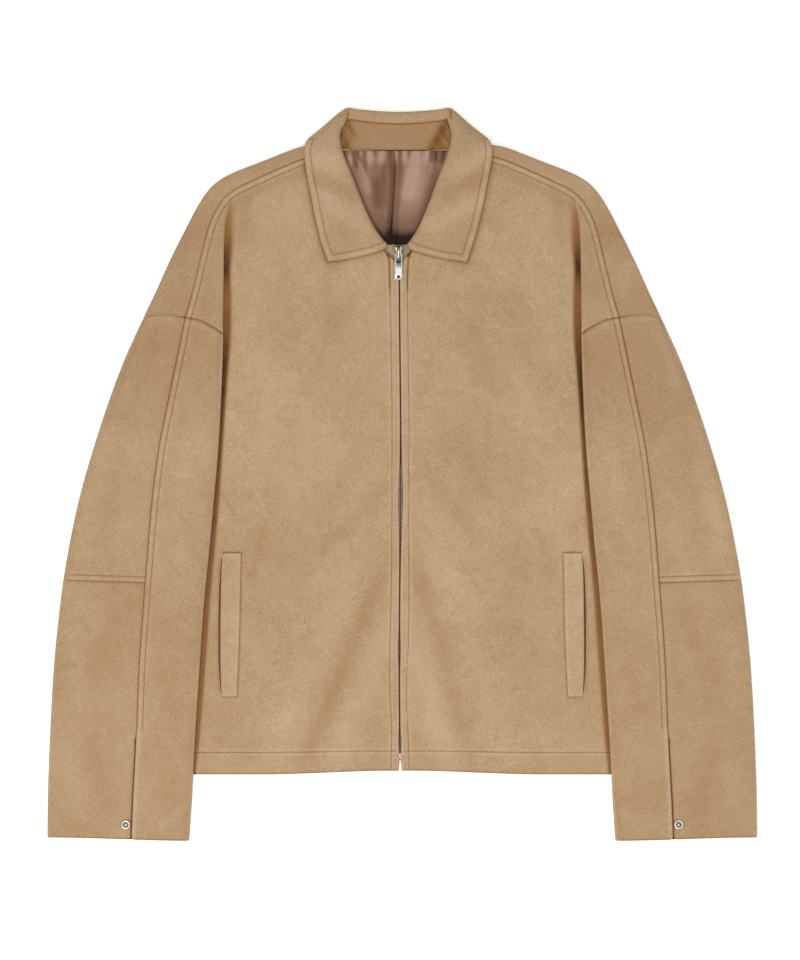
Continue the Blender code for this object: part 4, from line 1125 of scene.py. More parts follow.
@dataclass
class Front:
    """A front panel, with the pleat beside its armhole.

    Attributes:
        side: which half of the jacket.
        neckline_out: how far the neckline lies outside the collar's roll line.
        turn_cells: cells of each of the pleat's folds.
        run_cells: cells between them.
        hem_rise: how much higher the hem is at the zip than at the side.
        hem_stitch: height of the hem's stitches above the hem.
        row: usual length of a row, by which its columns are spaced.
        armhole_y: lower end of the armhole, where the free rows begin.
        furrow_from: share of a row, as a length, where the close columns of the furrow begin.
        furrow_step: the step between them.
        covered_h: past this distance from the centre line the sleeve covers the body.
        rim: how far each edge is rounded.
    """

    side: Side
    neckline_out: float = 6.5
    turn_cells: int = 7
    run_cells: int = 5
    hem_rise: float = 4.2
    hem_stitch: float = 23.4
    row: float = 230.0
    armhole_y: float = 155.8
    furrow_from: float = 150.0
    furrow_step: float = 1.7
    covered_h: float = 189.0
    body_columns: Spacing = Spacing((0.0, 3.0, 8.5, 11.5), (), 0.62, 3.6, 6.0)
    top_columns: Spacing = Spacing((), (0.0, 3.0, 6.4), 0.6, 2.6, 5.0)
    seam_rows: Spacing = Spacing((0.0, 3.0, 6.0, 9.0), (), 0.6, 1.4, 5.0)
    upper_rows: Spacing = Spacing((), (0.0,), 0.8, 2.6, 8.0)
    lower_rows: Spacing = Spacing((), (0.0, 23.4), 0.6, 3.3, 6.0)
    rim: dict[Edge, float] = field(default_factory=lambda: {
        Edge.FIRST_ROW: 1.1, Edge.LAST_COLUMN: 1.0, Edge.FIRST_COLUMN: 1.5, Edge.LAST_ROW: 1.2})

    def __post_init__(self) -> None:
        """Works out the pleat and the columns."""
        plain = self.body_columns.places(self.row)
        close = np.arange(self.furrow_from, self.row - self.furrow_step / 2, self.furrow_step)
        body = np.concatenate([plain[plain < self.furrow_from - 1.0], close, [self.row]])
        self.body_share = body / self.row
        self.top_share = self.top_columns.shares(32.0)
        self.paths, self.starts = self._pleats()

    def _pleats(self) -> tuple[Array, Array]:
        """The pleat's section at each row of its table.

        An arc turns the cloth up, a straight run follows, and a second arc turns it back. Below
        half a turn the run makes up the rise, and at half a turn it is as long as the hidden fold.

        Returns:
            The sections, and the distance from the centre line where each starts to turn.
        """
        r = LAY.pleat_radius
        paths, starts = [], []
        for degrees, rise, hidden, edge in zip(*(PLEAT[k] for k in ("turn", "rise", "hidden_h", "edge_h"))):
            turn = math.radians(degrees)
            if degrees < 180:
                run = (rise - 2 * r * (1 - math.cos(turn))) / math.sin(turn)
            else:
                run = hidden - edge - 2 * r - LAY.wall
            angle = np.linspace(0, turn, self.turn_cells + 1)
            first = r * np.stack([np.sin(angle), 1 - np.cos(angle)], axis=1)
            end = first[-1] + run * np.array([math.cos(turn), math.sin(turn)])
            straight_run = np.linspace(first[-1], end, self.run_cells + 1)[1:]
            centre = end + r * np.array([math.sin(turn), -math.cos(turn)])
            second = centre + r * np.stack([-np.sin(angle[::-1]), np.cos(angle[::-1])], axis=1)[1:]
            paths.append(np.concatenate([first, straight_run, second]))
            starts.append(edge + r + LAY.wall / 2 - centre[0])
        return np.array(paths), np.array(starts)

    def _zip_edge(self, y: Array) -> Array:
        """Distance of the panel's edge along the zip from the centre line."""
        return self.side.value * LAY.zip_x(y) + LAY.zip_half_gap(y)

    def _inner(self, index: Array) -> Array:
        """Where rows begin: on the neckline, and from row 7 on along the zip's edge.

        Args:
            index: row numbers of the pleat's table, with parts of a row.

        Returns:
            Plan points.
        """
        y = smooth(np.arange(len(ROW_START_Y)), ROW_START_Y, index)
        neckline = {key: rows[:NECK_STATIONS] for key, rows in COLLAR.items()}
        roll, askew = (smooth(neckline["roll_y"], neckline[k], y) for k in ("roll_h", "roll_shift"))
        neck = roll - self.side.value * askew + self.neckline_out
        return np.stack([neck + (self._zip_edge(y) - neck) * np.clip(index - 6, 0, 1), y], axis=-1)

    def _upper(self, index: Array) -> Array:
        """Rows above the armhole: the body, the pleat and the run out to the shoulder seam.

        A row is straight from its inner end to the pleat. Above row 1 it is blended with the
        shoulder seam's own line, and below row 9 its run is blended with the armhole's.

        Args:
            index: row numbers of the pleat's table, with parts of a row.

        Returns:
            Rows of points (h, y, z).
        """
        numbers = np.arange(len(self.starts))
        level = np.maximum(index, 1)
        inner = self._inner(level)[:, None]
        outer = np.stack([smooth(numbers, self.starts, level),
                          smooth(numbers, PLEAT["edge_y"], level)], axis=-1)[:, None]
        plan = inner + (outer - inner) * self.body_share[None, :, None]
        seam = ShoulderLine.seam(np.linspace(0, CORNER, 240))
        seam = seam[seam[:, 0] < self.starts[0]]
        first = along(seam, self.body_share * lengths(seam)[-1])
        first[:, 1] -= LAY.seam_gap / 2 + 0.1
        near = np.clip(1 - index, 0, 1)[:, None]
        h, y = np.moveaxis(plan * (1 - near[..., None]) + first[:, :2] * near[..., None], -1, 0)
        body = xyz(h, y, front_z(h, y, self.side) * (1 - near) + first[:, 2] * near)
        corner = ShoulderLine.seam(np.array([float(CORNER)]))[0, :2]
        heading = unit((corner - first[-1, :2]) * near + np.array([1.0, 0.0]) * (1 - near))
        path = smooth(numbers, self.paths, index)[:, 1:]
        base = body[:, -1:]
        pleat = np.concatenate([base[..., :2] + heading[:, None] * path[..., :1],
                                base[..., 2:] + path[..., 1:]], axis=-1)
        last = pleat[:, -1]
        end = ShoulderLine.seam(CORNER + index)
        end[:, :2] += unit(last[:, :2] - end[:, :2]) * LAY.seam_gap / 2
        top = last[:, None] + (end - last)[:, None] * self.top_share[None, 1:, None]
        arm = ShoulderLine.armhole_part(last[-1, 0], end[-1, 0], self.top_share)[1:]
        arm[:, 1] += LAY.seam_gap / 2
        blend = np.clip(index - 9, 0, 1)[:, None, None]
        return np.concatenate([body, pleat, top * (1 - blend) + arm * blend], axis=1)

    def _hem_lift(self, h: Array) -> Array:
        """How much higher than at the side the hem is at a distance from the centre line."""
        return self.hem_rise * (1 - ease(h / 150))

    def _lower(self, y: Array, columns: int) -> Array:
        """Rows below the armhole, from the zip to the side.

        Args:
            y: their places along the body.
            columns: points in a row; those past the side stay on it.

        Returns:
            Rows of points (h, y, z).
        """
        inner = self._zip_edge(y)
        free = dict(UNDER_EDGE, h=np.concatenate([self.starts[-1:], UNDER_EDGE["h"][1:]]))
        seam = LAY.side_h(y) - LAY.wall / 2 - LAY.side_radius - 1.5 - LAY.seam_gap
        outer = np.where(y >= LAY.underarm_y, straight(free, "h", y), seam)
        h = inner[:, None] + (outer - inner)[:, None] * self.body_share[None]
        y = y[:, None]
        hem = self._hem_lift(h) * ease((-290 - y) / 20)
        body = xyz(h, y + hem, front_z(h, y, self.side))
        return np.concatenate([body, np.repeat(body[:, -1:], columns - h.shape[1], axis=1)], axis=1)

    def grid(self) -> tuple[Array, Array]:
        """The whole panel.

        Returns:
            Rows of points (h, y, z), and which of their cells the panel has.
        """
        upper = np.concatenate([self.seam_rows.shares(14.0), 1 + 9 * self.upper_rows.shares(150.0)[1:]])
        rows = self._upper(upper)
        y = self.armhole_y - self.lower_rows.places(self.armhole_y - LAY.hem_y)[1:]
        rows = np.concatenate([rows, self._lower(y, rows.shape[1])])
        keep = np.zeros((rows.shape[0] - 1, rows.shape[1] - 1), dtype=bool)
        keep[:len(upper) - 1] = True
        keep[:, :len(self.body_share) - 1] = True
        self.upper_count = len(upper)
        return rows, keep

    def zip_line(self, top: float = 206.0) -> Array:
        """Plan line of the stitches beside the zip, or of their groove from a given height."""
        y = np.linspace(top, -307.0, 300)
        return np.column_stack([curve(ZIP_STITCH[self.side], "x", y), y])

    def hem_line(self) -> Array:
        """Plan line of the stitches above the hem, which rises with the hem a little."""
        h = np.linspace(6.0 if self.side is Side.LEFT else 1.5, 238.0, 120)
        return plan_line(h, LAY.hem_y + self.hem_stitch + self._hem_lift(h) * 0.4, self.side)

    def shoulder_line(self, away: float = 0.0) -> Array:
        """Plan line along the forward shoulder seam, moved into the panel by a distance."""
        return mirrored(offset(ShoulderLine.seam(np.linspace(0, ARMHOLE, 260))[:, :2], -away), self.side)

    def _leaf_line(self) -> Array:
        """Plan line of the collar leaf's outer edge, where it lies on this front.

        Returns:
            Points (x, y), the first of them on the leaf's roll.
        """
        h, shift, y = (np.concatenate([COLLAR["roll_" + k][:1], COLLAR["out_" + k][:NECK_STATIONS]])
                       for k in ("h", "shift", "y"))
        return mirrored(np.stack([h - self.side.value * shift, y], axis=1), self.side)

    def _body_wear_and_painted_light(self, placed: Array, zipper: Array, hem: Array) -> Array:
        """Painted shade, painted highlight and stitch marks on the body's cloth.

        Args:
            placed: the grid.
            zipper: distances from the stitches beside the zip.
            hem: distances from those above the hem.

        Returns:
            The sum of stitch marks, painted light and shade of the folds, painted shade in the zip's slit,
            the neck, the furrow and the pocket's mouth, the collar's painted shadow and the hem's painted
            shade.
        """
        x, y = placed[..., 0], placed[..., 1]
        h = x * self.side.value
        from_zip = np.abs(x - LAY.zip_x(y)) - LAY.zip_half_gap(y)
        # stitch grooves darker, with a painted highlight on the ridges beside them
        wear_and_painted_light = sum(SEWING.mark(line) - marks(line, (0.1, 2.0, 1.2)) for line in (zipper, hem))
        # painted shade in the zip's stitch groove under the collar
        wear_and_painted_light += marks(zipper, (0.5, 0.0, 1.2)) * ease((y - 196) / 12)
        # painted shade in the zip's slit and a painted highlight beside it
        wear_and_painted_light += marks(from_zip, (1.0, 0.0, 0.5), (-0.3, 1.5, 0.8))
        # painted shade inside the neck opening
        wear_and_painted_light += 1.1 * ease((y - 235) / 5) * (1 - ease((from_zip - 3) / 8))
        folds = front_folds(h, y, self.side)
        # painted shade in the sleeve's furrow; fold ridges get painted highlight and troughs painted shade
        wear_and_painted_light += beside_sleeve(h, y) - 0.14 * np.maximum(folds, 0) - 0.27 * np.minimum(folds, 0)
        # painted shadow of the collar leaf on the front
        wear_and_painted_light += marks(distance_to(placed, self._leaf_line()), (0.22, 0.0, 4.5), (0.25, 0.0, 1.6))
        # painted shade beside the welt's free edge
        beside_pocket = ease((-78 - y) / 8) * ease((y + 229) / 8)
        wear_and_painted_light += beside_pocket * marks(h - curve(WELT, "outer", y), (0.2, 2.2, 1.6))
        # painted shade along the hem's edge
        wear_and_painted_light += marks(y - LAY.hem_y - self._hem_lift(h), (0.5, 0.0, 1.2))
        # painted shade growing towards the hem
        return wear_and_painted_light + 0.05 * ease((-20 - y) / 160)

    def build(self, suede: Material, thread: Material) -> None:
        """Makes the panel and its stitches.

        Args:
            suede: the cloth's finish.
            thread: the stitches' finish.
        """
        rows, keep = self.grid()
        placed = mirrored(rows, self.side)
        columns = len(self.body_share)
        on_top = np.zeros(placed.shape[:2], dtype=bool)
        on_top[:self.upper_count, columns + 2 * self.turn_cells + self.run_cells - 3:] = True
        on_body = np.zeros_like(on_top)
        on_body[:, :columns] = True
        x, y = placed[..., 0], placed[..., 1]
        covered = x * self.side.value >= self.covered_h
        seam = np.where(on_top | (on_body & ~covered), distance_to(placed, self.shoulder_line()), FAR)
        zipper = distance_to(placed, self.zip_line(250.0))
        hem = distance_to(placed, self.hem_line())
        arm = distance_to(placed, plan_line(ARMHOLE_TOP["h"], ARMHOLE_TOP["y"], self.side))
        arm = np.where(on_top, arm, FAR)
        placed[..., 2] += np.where(on_body, 0, 0.4) * uneven(x, y, front_phase(self.side))
        placed[..., 2] -= marks(arm, (0.9, 0.0, 3.2))
        ridge = marks(np.abs(x - LAY.zip_x(y)), (0.45, 5.5, 3.0))
        lift = SEAM.lift(seam) + on_body * (SEWING.press(zipper) + SEWING.press(hem) + ridge)
        lift += on_body * (puckers(y, zipper, 0.07, 7.0, 4.0) + puckers(x, hem, 0.07, 8.0, 6.0))
        # seams get a dark line and painted highlight beside them; below the shoulder seam and on the strip
        # past the pleat the cloth gets painted shade
        wear_and_painted_light = SEAM.wear_and_painted_light(seam) + marks(arm, (0.3, 0.0, 1.0)) + marks(seam, (0.13, 11.0, 8.0)) * on_body
        wear_and_painted_light += np.where(on_body, self._body_wear_and_painted_light(placed, zipper, hem), 0.1 * on_top)
        name = self.side.named("front")
        shell = Shell(name + "_shell", placed, -self.side.value, keep, lift=lift, wear_and_painted_light=wear_and_painted_light, rim=self.rim)
        piece = shell.settled(suede, "suede", name)
        usable = (on_top | on_body) & (shell.normals[..., 2] > 0.5)
        usable &= ~(on_body & covered & (y > 150))
        lines = [self.zip_line(), self.hem_line(), self.shoulder_line(SEAM.stitch_at)]
        stitched = [on_surface(shell.outside(), shell.normals, usable, line) for line in lines]
        settle(SEWING.thread(self.side.named("front_stitches"), stitched, thread), JACKET)


@dataclass
class Back:
    """The back panel, rolled over both shoulders and up both sides.

    Attributes:
        bottom: spacing of the columns from the centre line out.
        strip: of those from the shoulder's roll in to the forward seam.
        roll_cells: cells of each roll.
        station_rows: rows along the shoulder.
        side_rows: rows from the armhole to the underarm, to the hem's slope and to the hem.
        neck_dip: how much lower the centre of the neck's edge is.
        hem_rise: how much higher the hem is at the centre than at the sides.
        folds: of the part that is rolled over the shoulder.
    """

    bottom: Spacing = Spacing((), (0.0,), 2.2, 9.0, 12.0)
    strip: Spacing = Spacing((), (0.0,), 0.55, 2.0, 4.0)
    roll_cells: int = 9
    station_rows: int = 120
    side_rows: tuple[int, int, int] = (28, 78, 22)
    neck_dip: float = 6.0
    hem_rise: float = 13.0
    folds: tuple[Fold, ...] = (Fold(214.4, 268, 222, 204, 4, -0.35), Fold(150, 333, 190, 310, 4, -0.25))

    def _outward(self, station: Array) -> Array:
        """Directions to the outside of the shoulder's outline.

        Args:
            station: places along the outline.

        Returns:
            Unit vectors, square to the outline's run.
        """
        low, high = (np.clip(station + step, 0, ARMHOLE) for step in (-0.05, 0.05))
        run = unit(np.stack([ShoulderLine.column(k, high) - ShoulderLine.column(k, low)
                             for k in ("fold_h", "fold_y")], axis=1))
        return np.stack([-run[:, 1], run[:, 0]], axis=1)

    def _roll(self, start: Array, direction: Array, radius: float) -> Array:
        """An upward half turn from each start.

        Args:
            start: points where the cloth leaves the floor.
            direction: unit plan vector outward at each.
            radius: of the turn.

        Returns:
            Rows of points: out by r sin a and up by r (1 - cos a).
        """
        angle = np.linspace(0, math.pi, self.roll_cells + 1)[None, 1:, None]
        plan = start[:, None, :2] + direction[:, None] * np.sin(angle) * radius
        return np.concatenate([plan, start[:, None, 2:] + (1 - np.cos(angle)) * radius], axis=-1)

    def _upper(self, station: Array, share: Array, strip: Array) -> Array:
        """Half rows from the centre line outward, over the shoulder and in to the seam.

        Args:
            station: places along the shoulder.
            share: columns from the centre line to the roll.
            strip: columns from the roll to the seam.

        Returns:
            Rows of points (h, y, z).
        """
        fold = np.stack([ShoulderLine.column(k, station) for k in ("fold_h", "fold_y")], axis=1)
        seam = ShoulderLine.seam(station)
        out = self._outward(station)
        start = fold - out * (LAY.shoulder_radius + LAY.wall / 2)
        start += ease(station - 16)[:, None] * np.array([-LAY.seam_gap, LAY.seam_gap])
        dip = self.neck_dip * ease(1 - station / 9)
        h = start[:, :1] * share[None]
        y = start[:, 1:] - dip[:, None] * (1 - share[None] ** 2)
        bottom = xyz(h, y, LAY.back_z(h, y))
        turn = self._roll(bottom[:, -1], out, LAY.shoulder_radius)
        end = seam.copy()
        end[:, :2] += unit(seam[:, :2] - turn[:, -1, :2]) * 1.2
        over = turn[:, -1:] + (end[:, None] - turn[:, -1:]) * strip[None, 1:, None]
        arm = ShoulderLine.armhole_part(turn[-1, -1, 0], end[-1, 0], strip)[1:]
        arm[:, 1] += LAY.seam_gap / 2
        blend = np.clip(station - 16, 0, 1)[:, None, None]
        over = over * (1 - blend) + arm * blend
        left = np.linalg.norm(over[..., :2] - end[:, None, :2], axis=-1)
        over[..., 2] -= 0.8 * (1 - ease((left - 0.8) / 4.2)) * (1 - 0.7 * blend[..., 0])
        return np.concatenate([bottom, turn, over], axis=1)

    def _lower(self, y: Array, share: Array, strip: Array) -> Array:
        """Half rows below the armhole: a plain edge, then a narrow roll up the side seam.

        Args:
            y: places along the body.
            share: columns from the centre line to the roll.
            strip: columns from the roll inward.

        Returns:
            Rows of points (h, y, z).
        """
        edge = LAY.side_h(y) - LAY.wall / 2 - LAY.side_radius
        above = np.interp(y, [LAY.underarm_y, 170.7], [LAY.underarm_h - 1.5, 275.4])
        edge = np.where(y > LAY.underarm_y, above, edge)[:, None]
        h = edge * share[None]
        at = y[:, None] + self.hem_rise * (1 - share[None] ** 2) * ease((-275 - y) / 35)[:, None]
        bottom = xyz(h, at, LAY.back_z(h, at))
        turn = self._roll(bottom[:, -1], np.array([[1.0, 0.0]]), LAY.side_radius)
        over = turn[:, -1:] - xyz(strip[None, 1:] * 6.0, 0.0, 0.0)
        return np.concatenate([bottom, turn, over], axis=1)

    def build(self, suede: Material) -> None:
        """Makes the panel.

        Args:
            suede: its finish.
        """
        share, strip = self.bottom.shares(250.0), self.strip.shares(17.0)
        station = np.linspace(0, ARMHOLE, self.station_rows + 1)
        ends = ((165.0, LAY.underarm_y), (70.0, -270.0), (-273.0, -310.5))
        y = np.concatenate([np.linspace(*pair, rows) for pair, rows in zip(ends, self.side_rows)])
        half = np.concatenate([self._upper(station, share, strip), self._lower(y, share, strip)])
        grid = np.concatenate([mirrored(half[:, :0:-1], Side.LEFT), half], axis=1)
        bottom = len(share) - 1
        has = np.zeros((half.shape[0] - 1, half.shape[1] - 1), dtype=bool)
        has[:, :bottom] = True
        has[:self.station_rows] = True
        has[self.station_rows + self.side_rows[0]:, :bottom + self.roll_cells + 3] = True
        over = np.abs(np.arange(grid.shape[1]) - (half.shape[1] - 1))[None] > bottom
        x, y, z = np.moveaxis(grid, -1, 0)
        z += over * (z > 4.5) * 0.22 * np.sin(y / 9.0 + x / 23.0)
        z += over * (z >= 4.0) * folded(self.folds, np.abs(x), y)
        near = distance_to(xyz(np.abs(x), y, z), ShoulderLine.seam(np.linspace(0, ARMHOLE, 260)))
        # painted shade on the part rolled over the shoulder, varying along it, and a dark line at the seam
        shoulder_shade = 0.12 - 0.02 * ease((y - 255) / 70) + 0.05 * np.sin(y / 13.0)
        wear_and_painted_light = over * (marks(near, (0.42, 0.0, 0.7)) + shoulder_shade)
        shell = Shell("back_shell", grid, 1, np.concatenate([has[:, ::-1], has], axis=1), wear_and_painted_light=wear_and_painted_light,
                      rim={Edge.LAST_ROW: 1.1})
        piece = shell.settled(suede, "suede", "back")


class Sewn(Enum):
    """How an edge of a sleeve's panel is finished."""

    OVER = auto()
    UNDER = auto()
    GATHERED = auto()
    RAW = auto()


@dataclass
class Sleeve:
    """A sleeve's three panels: one towards the body, and an upper and a lower one outside it.

    A panel's rows follow each other down the sleeve, and each runs from the upper seam round the
    side fold to the under seam.

    Attributes:
        side: which half of the jacket.
        elbow_y: the seam between the two outer panels.
        vent_y: where the seam ends and the cuff's vent begins.
        cuff_y: the cuff's edge.
        arm_top_y: the first level row; above it the rows slant to the armhole.
        turn_cells: cells of each side fold.
        tuck: how far an outer panel reaches under the panel that laps over it.
        vent_tuck: how much farther it reaches at the vent.
        step: how much lower it lies there.
        cuff_corner: radius of the cuff's corners beside the vent.
        stitched: spacing of the inner panel's upper columns.
        plain: of the outer panels' upper columns.
        hidden: of the lower layer's columns.
        slanting: of the rows above the first level one.
        inner_rows: of the inner panel's level rows.
        upper_rows: of those above the elbow.
        lower_rows: of those below it.
    """

    side: Side
    elbow_y: float = -107.5
    vent_y: float = -268.0
    cuff_y: float = -381.0
    arm_top_y: float = 42.4
    turn_cells: int = 10
    tuck: float = 1.3
    vent_tuck: float = 4.5
    step: float = 1.0
    cuff_corner: float = 3.5
    stitched: Spacing = Spacing((0.0, 3.2, 6.4), (), 0.6, 3.2, 6.0)
    plain: Spacing = Spacing((0.0, 2.0, 4.0, 6.0), (), 0.6, 3.4, 7.0)
    hidden: Spacing = Spacing((), (0.0,), 3.0, 7.0, 12.0)
    slanting: Spacing = Spacing((0.0, 4.0), (), 0.7, 3.0, 7.0)
    inner_rows: Spacing = Spacing((), (0.0,), 0.7, 3.0, 7.0)
    upper_rows: Spacing = Spacing((), (0.0, 3.2, 6.4), 0.6, 3.0, 6.0)
    lower_rows: Spacing = Spacing((0.0,), (0.0,), 0.6, 3.0, 6.0)

    def _cuff_drop(self, h: Array, y: Array) -> Array:
        """Lowering of the cuff's edge, greater towards the body."""
        return ease((-352 - y) / 25) * (1.5 - 3.5 * ease((372 - h) / 150))

    def _half_fold(self, start: Array, end: Array, direction: Sequence[float], radius: float) -> Array:
        """A half turn between an upper and a lower point.

        Args:
            start: upper points.
            end: lower points.
            direction: unit plan vector in which the turn bulges.
            radius: how far it bulges.

        Returns:
            Rows of points on the straight line by (1 - cos a) / 2, moved outward by r sin a.
        """
        angle = np.linspace(0, math.pi, self.turn_cells + 1)[None, :, None]
        line = start[:, None] + (end - start)[:, None] * (1 - np.cos(angle)) / 2
        line[..., :2] += np.asarray(direction) * np.sin(angle) * radius
        return line

    def _ring(self, y: Array, toward_body: bool, top: Array, low: Array) -> Array:
        """Level rows.

        Args:
            y: their places along the sleeve.
            toward_body: whether they belong to the inner panel.
            top: columns of the upper layer, from the seam to the fold.
            low: columns of the lower layer, from the fold to the under seam.

        Returns:
            Rows of points (h, y, z); the upper layer swells by a parabola between the folds.
        """
        r = LAY.sleeve_radius
        outer, seam, inner, under = (curve(SLEEVE, k, y)[:, None]
                                     for k in ("outer", "seam", "inner", "under"))
        way = -1 if toward_body else 1
        gap = way * LAY.seam_gap / 2
        fold = (inner if toward_body else outer) - way * (LAY.wall / 2 + r)
        y = y[:, None]
        h = seam + gap + (fold - seam - gap) * top
        share = (h - inner) / (outer - inner)
        z = LAY.over_sleeve_z(h, y) + 2 * r + LAY.crown * 4 * share * (1 - share)
        fold_low = LAY.under_sleeve_z(fold, y)
        z += (fold_low + 2 * r - z[:, -1:]) * ease((top - 0.5) / 0.5)
        upper = xyz(h, y, z)
        turn = self._half_fold(upper[:, -1], xyz(fold, y, fold_low)[:, 0], (way, 0.0), r)
        h = fold + (under + gap - fold) * low
        lower = xyz(h, y, LAY.under_sleeve_z(h, y))
        ring = np.concatenate([upper[:, :-1], turn[:, :-1], lower], axis=1)
        ring[..., 1] += self._cuff_drop(ring[..., 0], ring[..., 1])
        return ring

    def _armhole(self, toward_body: bool, top: Array, low: Array) -> Array:
        """The row along the armhole, which slants from the top seam to the underarm.

        Args:
            toward_body: whether it belongs to the inner panel.
            top: columns of the upper layer.
            low: columns of the lower layer.

        Returns:
            Points (h, y, z).
        """
        gap = LAY.seam_gap / 2
        seam_h = SHOULDER["seam_h"][-1]
        under = np.stack(list((RING_FRONT if toward_body else RING_BACK).values()), axis=1)
        if toward_body:
            end, bulge, radius, shift = under[0], np.array([-1.0, 0.0]), LAY.pleat_radius, -gap
            upper = ShoulderLine.armhole_part(seam_h, end[0], top)
        else:
            last = np.array([ARMHOLE - 0.1, ARMHOLE])
            run_h, run_y = (np.diff(ShoulderLine.column(k, last))[0] for k in ("fold_h", "fold_y"))
            bulge, radius, shift = unit(np.array([-run_y, run_h])), LAY.shoulder_radius, gap
            outline = np.array([ARMHOLE_TOP["h"][0], ARMHOLE_TOP["y"][0]])
            inset = outline - bulge * (radius + LAY.wall / 2)
            end = np.array([*inset, LAY.floor_mid])
            upper = ShoulderLine.armhole_part(seam_h, inset[0], top)
            upper[-1] = [*inset, LAY.floor_mid + 2 * radius]
        upper[:, 0] += shift * (1 - np.clip(top * 12, 0, 1))
        turn = self._half_fold(upper[-1:], end[None], bulge, radius)[0]
        lower = along(under, low * lengths(under)[-1])
        if not toward_body:
            lower[0] = turn[-1]
        upper[:, 1] -= gap
        turn[:, 1] -= gap
        return np.concatenate([upper[:-1], turn[:-1], lower])

    def _slanting(self, toward_body: bool, top: Array, low: Array) -> Array:
        """Rows from the armhole to the first level one, blended and kept on the outline.

        Args:
            toward_body: whether they belong to the inner panel.
            top: columns of the upper layer.
            low: columns of the lower layer.

        Returns:
            Rows of points (h, y, z).
        """
        share = self.slanting.shares(124.0)[:-1, None]
        first = self._armhole(toward_body, top, low)
        plain = self._ring(np.array([self.arm_top_y]), toward_body, top, low)[0]
        grid = first * (1 - share[..., None]) + plain * share[..., None]
        turn = np.linspace(0, 1, self.turn_cells + 1)[:-1]
        position = np.concatenate([4 * top[:-1], 4 + 4 * turn, 8 + 5 * low])
        h, y, z = np.moveaxis(grid, -1, 0)
        fold = slice(len(top) - 1 + self.turn_cells // 2, len(top) + self.turn_cells // 2)
        name, way = ("inner", 1) if toward_body else ("outer", -1)
        miss = curve(SLEEVE, name, y[:, fold]) - h[:, fold] + way * LAY.wall / 2
        h += miss * np.clip(share * 25, 0, 1) * np.clip(1 - np.abs(position - 6) / 6, 0, 1)
        z += 0.5 * np.sin(math.pi * share) * ease((z - 4.6) / 0.8)
        return grid

    def _bend_elbow(self, grid: Array) -> None:
        """Lowers the elbow seam towards the sleeve's middle.

        Args:
            grid: an outer panel, changed in place.
        """
        h, y, _ = np.moveaxis(grid, -1, 0)
        seam, outer = curve(SLEEVE, "seam", y), curve(SLEEVE, "outer", y)
        share = np.clip((outer - h) / (outer - seam), 0, 1)
        y += (1.0 - 2.7 * share) * bell(y - self.elbow_y, 30)

    def _tucked(self, grid: Array, count: int) -> Array:
        """How far each point moves under the front panel: the tuck, and more at the vent."""
        column = np.clip(1 - np.arange(grid.shape[1]) / (count * 0.6), 0, 1)[None]
        return column * (self.tuck + self.vent_tuck * ease((self.vent_y - grid[..., 1]) / 14))

    def _panel(self, node: str, half: Array, count: int,
               suede: Material, edges: dict[Edge, Sewn]) -> Shell:
        """Makes one panel.

        Args:
            node: the CAD node that it stands for, without its side.
            half: its grid in (h, y, z).
            count: cells of its upper layer across.
            suede: its finish.
            edges: how each edge of the grid is finished.

        Returns:
            Its shell.
        """
        column = np.arange(half.shape[1])[None]
        from_edge = curve(SLEEVE, "outer", half[..., 1]) - half[..., 0]
        from_body = half[..., 0] - curve(SLEEVE, "inner", half[..., 1])
        folds = 0.8 * folded(SLEEVE_FOLDS + (ABOVE_CUFF[self.side],), half[..., 0], half[..., 1])
        folds *= ease((count + 1 - column) / 3)
        on_top = ease((count + 2 - column) / 4) * np.ones(folds.shape)
        placed = mirrored(half, self.side)
        x, y, z = np.moveaxis(placed, -1, 0)
        z += folds + on_top * uneven(x, y, 2.1 + 0.6 * self.side.value)
        # painted shade towards the shoulder, along the outer edge, along the fold beside the body and towards
        # the cuff; fold ridges get painted highlight and troughs painted shade
        wear_and_painted_light = 0.05 + 0.10 * ease((y - 30) / 110) + 0.12 * (1 - ease(from_edge / 9)) - 0.16 * folds
        wear_and_painted_light += 0.28 * (1 - ease(from_body / 9)) + 0.04 * ease((-60 - y) / 120)
        lift = np.zeros(folds.shape)
        measure = Shell(node, placed, 1)
        for edge, kind in edges.items():
            distance = measure.distance(edge)
            travel = y if edge.on_rows else x + 0.4 * y
            if kind is Sewn.OVER:
                sewn = ease((y - self.vent_y) / 6) if edge.on_rows else 1.0
                gathers = puckers(travel, distance - SEAM.stitch_at, 0.06, 8.0, 4.0)
                lift += sewn * (SEAM.lift(distance) + gathers) + (1 - sewn) * marks(distance, (0.5, 2, 4))
                # the seam's dark line and painted highlight; at the vent, a painted highlight along the free
                # edge
                wear_and_painted_light += sewn * SEAM.wear_and_painted_light(distance) + marks(distance, (0.1, 0, 0.6))
                wear_and_painted_light -= (1 - sewn) * marks(distance, (0.2, 2.4, 1.8))
            elif kind is Sewn.UNDER:
                vent = ease((self.vent_y - y) / 12) if edge.on_rows else 0.0
                shown = distance - self.tuck - self.vent_tuck * vent
                z -= on_top * (self.step + 1.3 * vent) * (1 - ease(shown / (4.2 + 3 * vent)))
                # painted shade where the panel goes under the one that laps over it
                wear_and_painted_light += (0.5 + 0.45 * vent) * (1 - ease((shown + 0.4) / (1.5 + 1.6 * vent)))
                lift += marks(distance, (0.3, 8, 4)) + puckers(travel, distance - 5, 0.07, 9.0, 5.0)
            elif kind is Sewn.GATHERED:
                lift += marks(distance, (0.75, 7.5, 6.5)) + puckers(travel, distance - 2, 0.17, 8.3, 6.0)
                z -= on_top * marks(distance, (1.0, 0, 2.2))
                # the armhole seam's dark line and a faint painted highlight beside it
                wear_and_painted_light += marks(distance, (0.34, 0, 1.0), (-0.08, 5, 3))
            else:
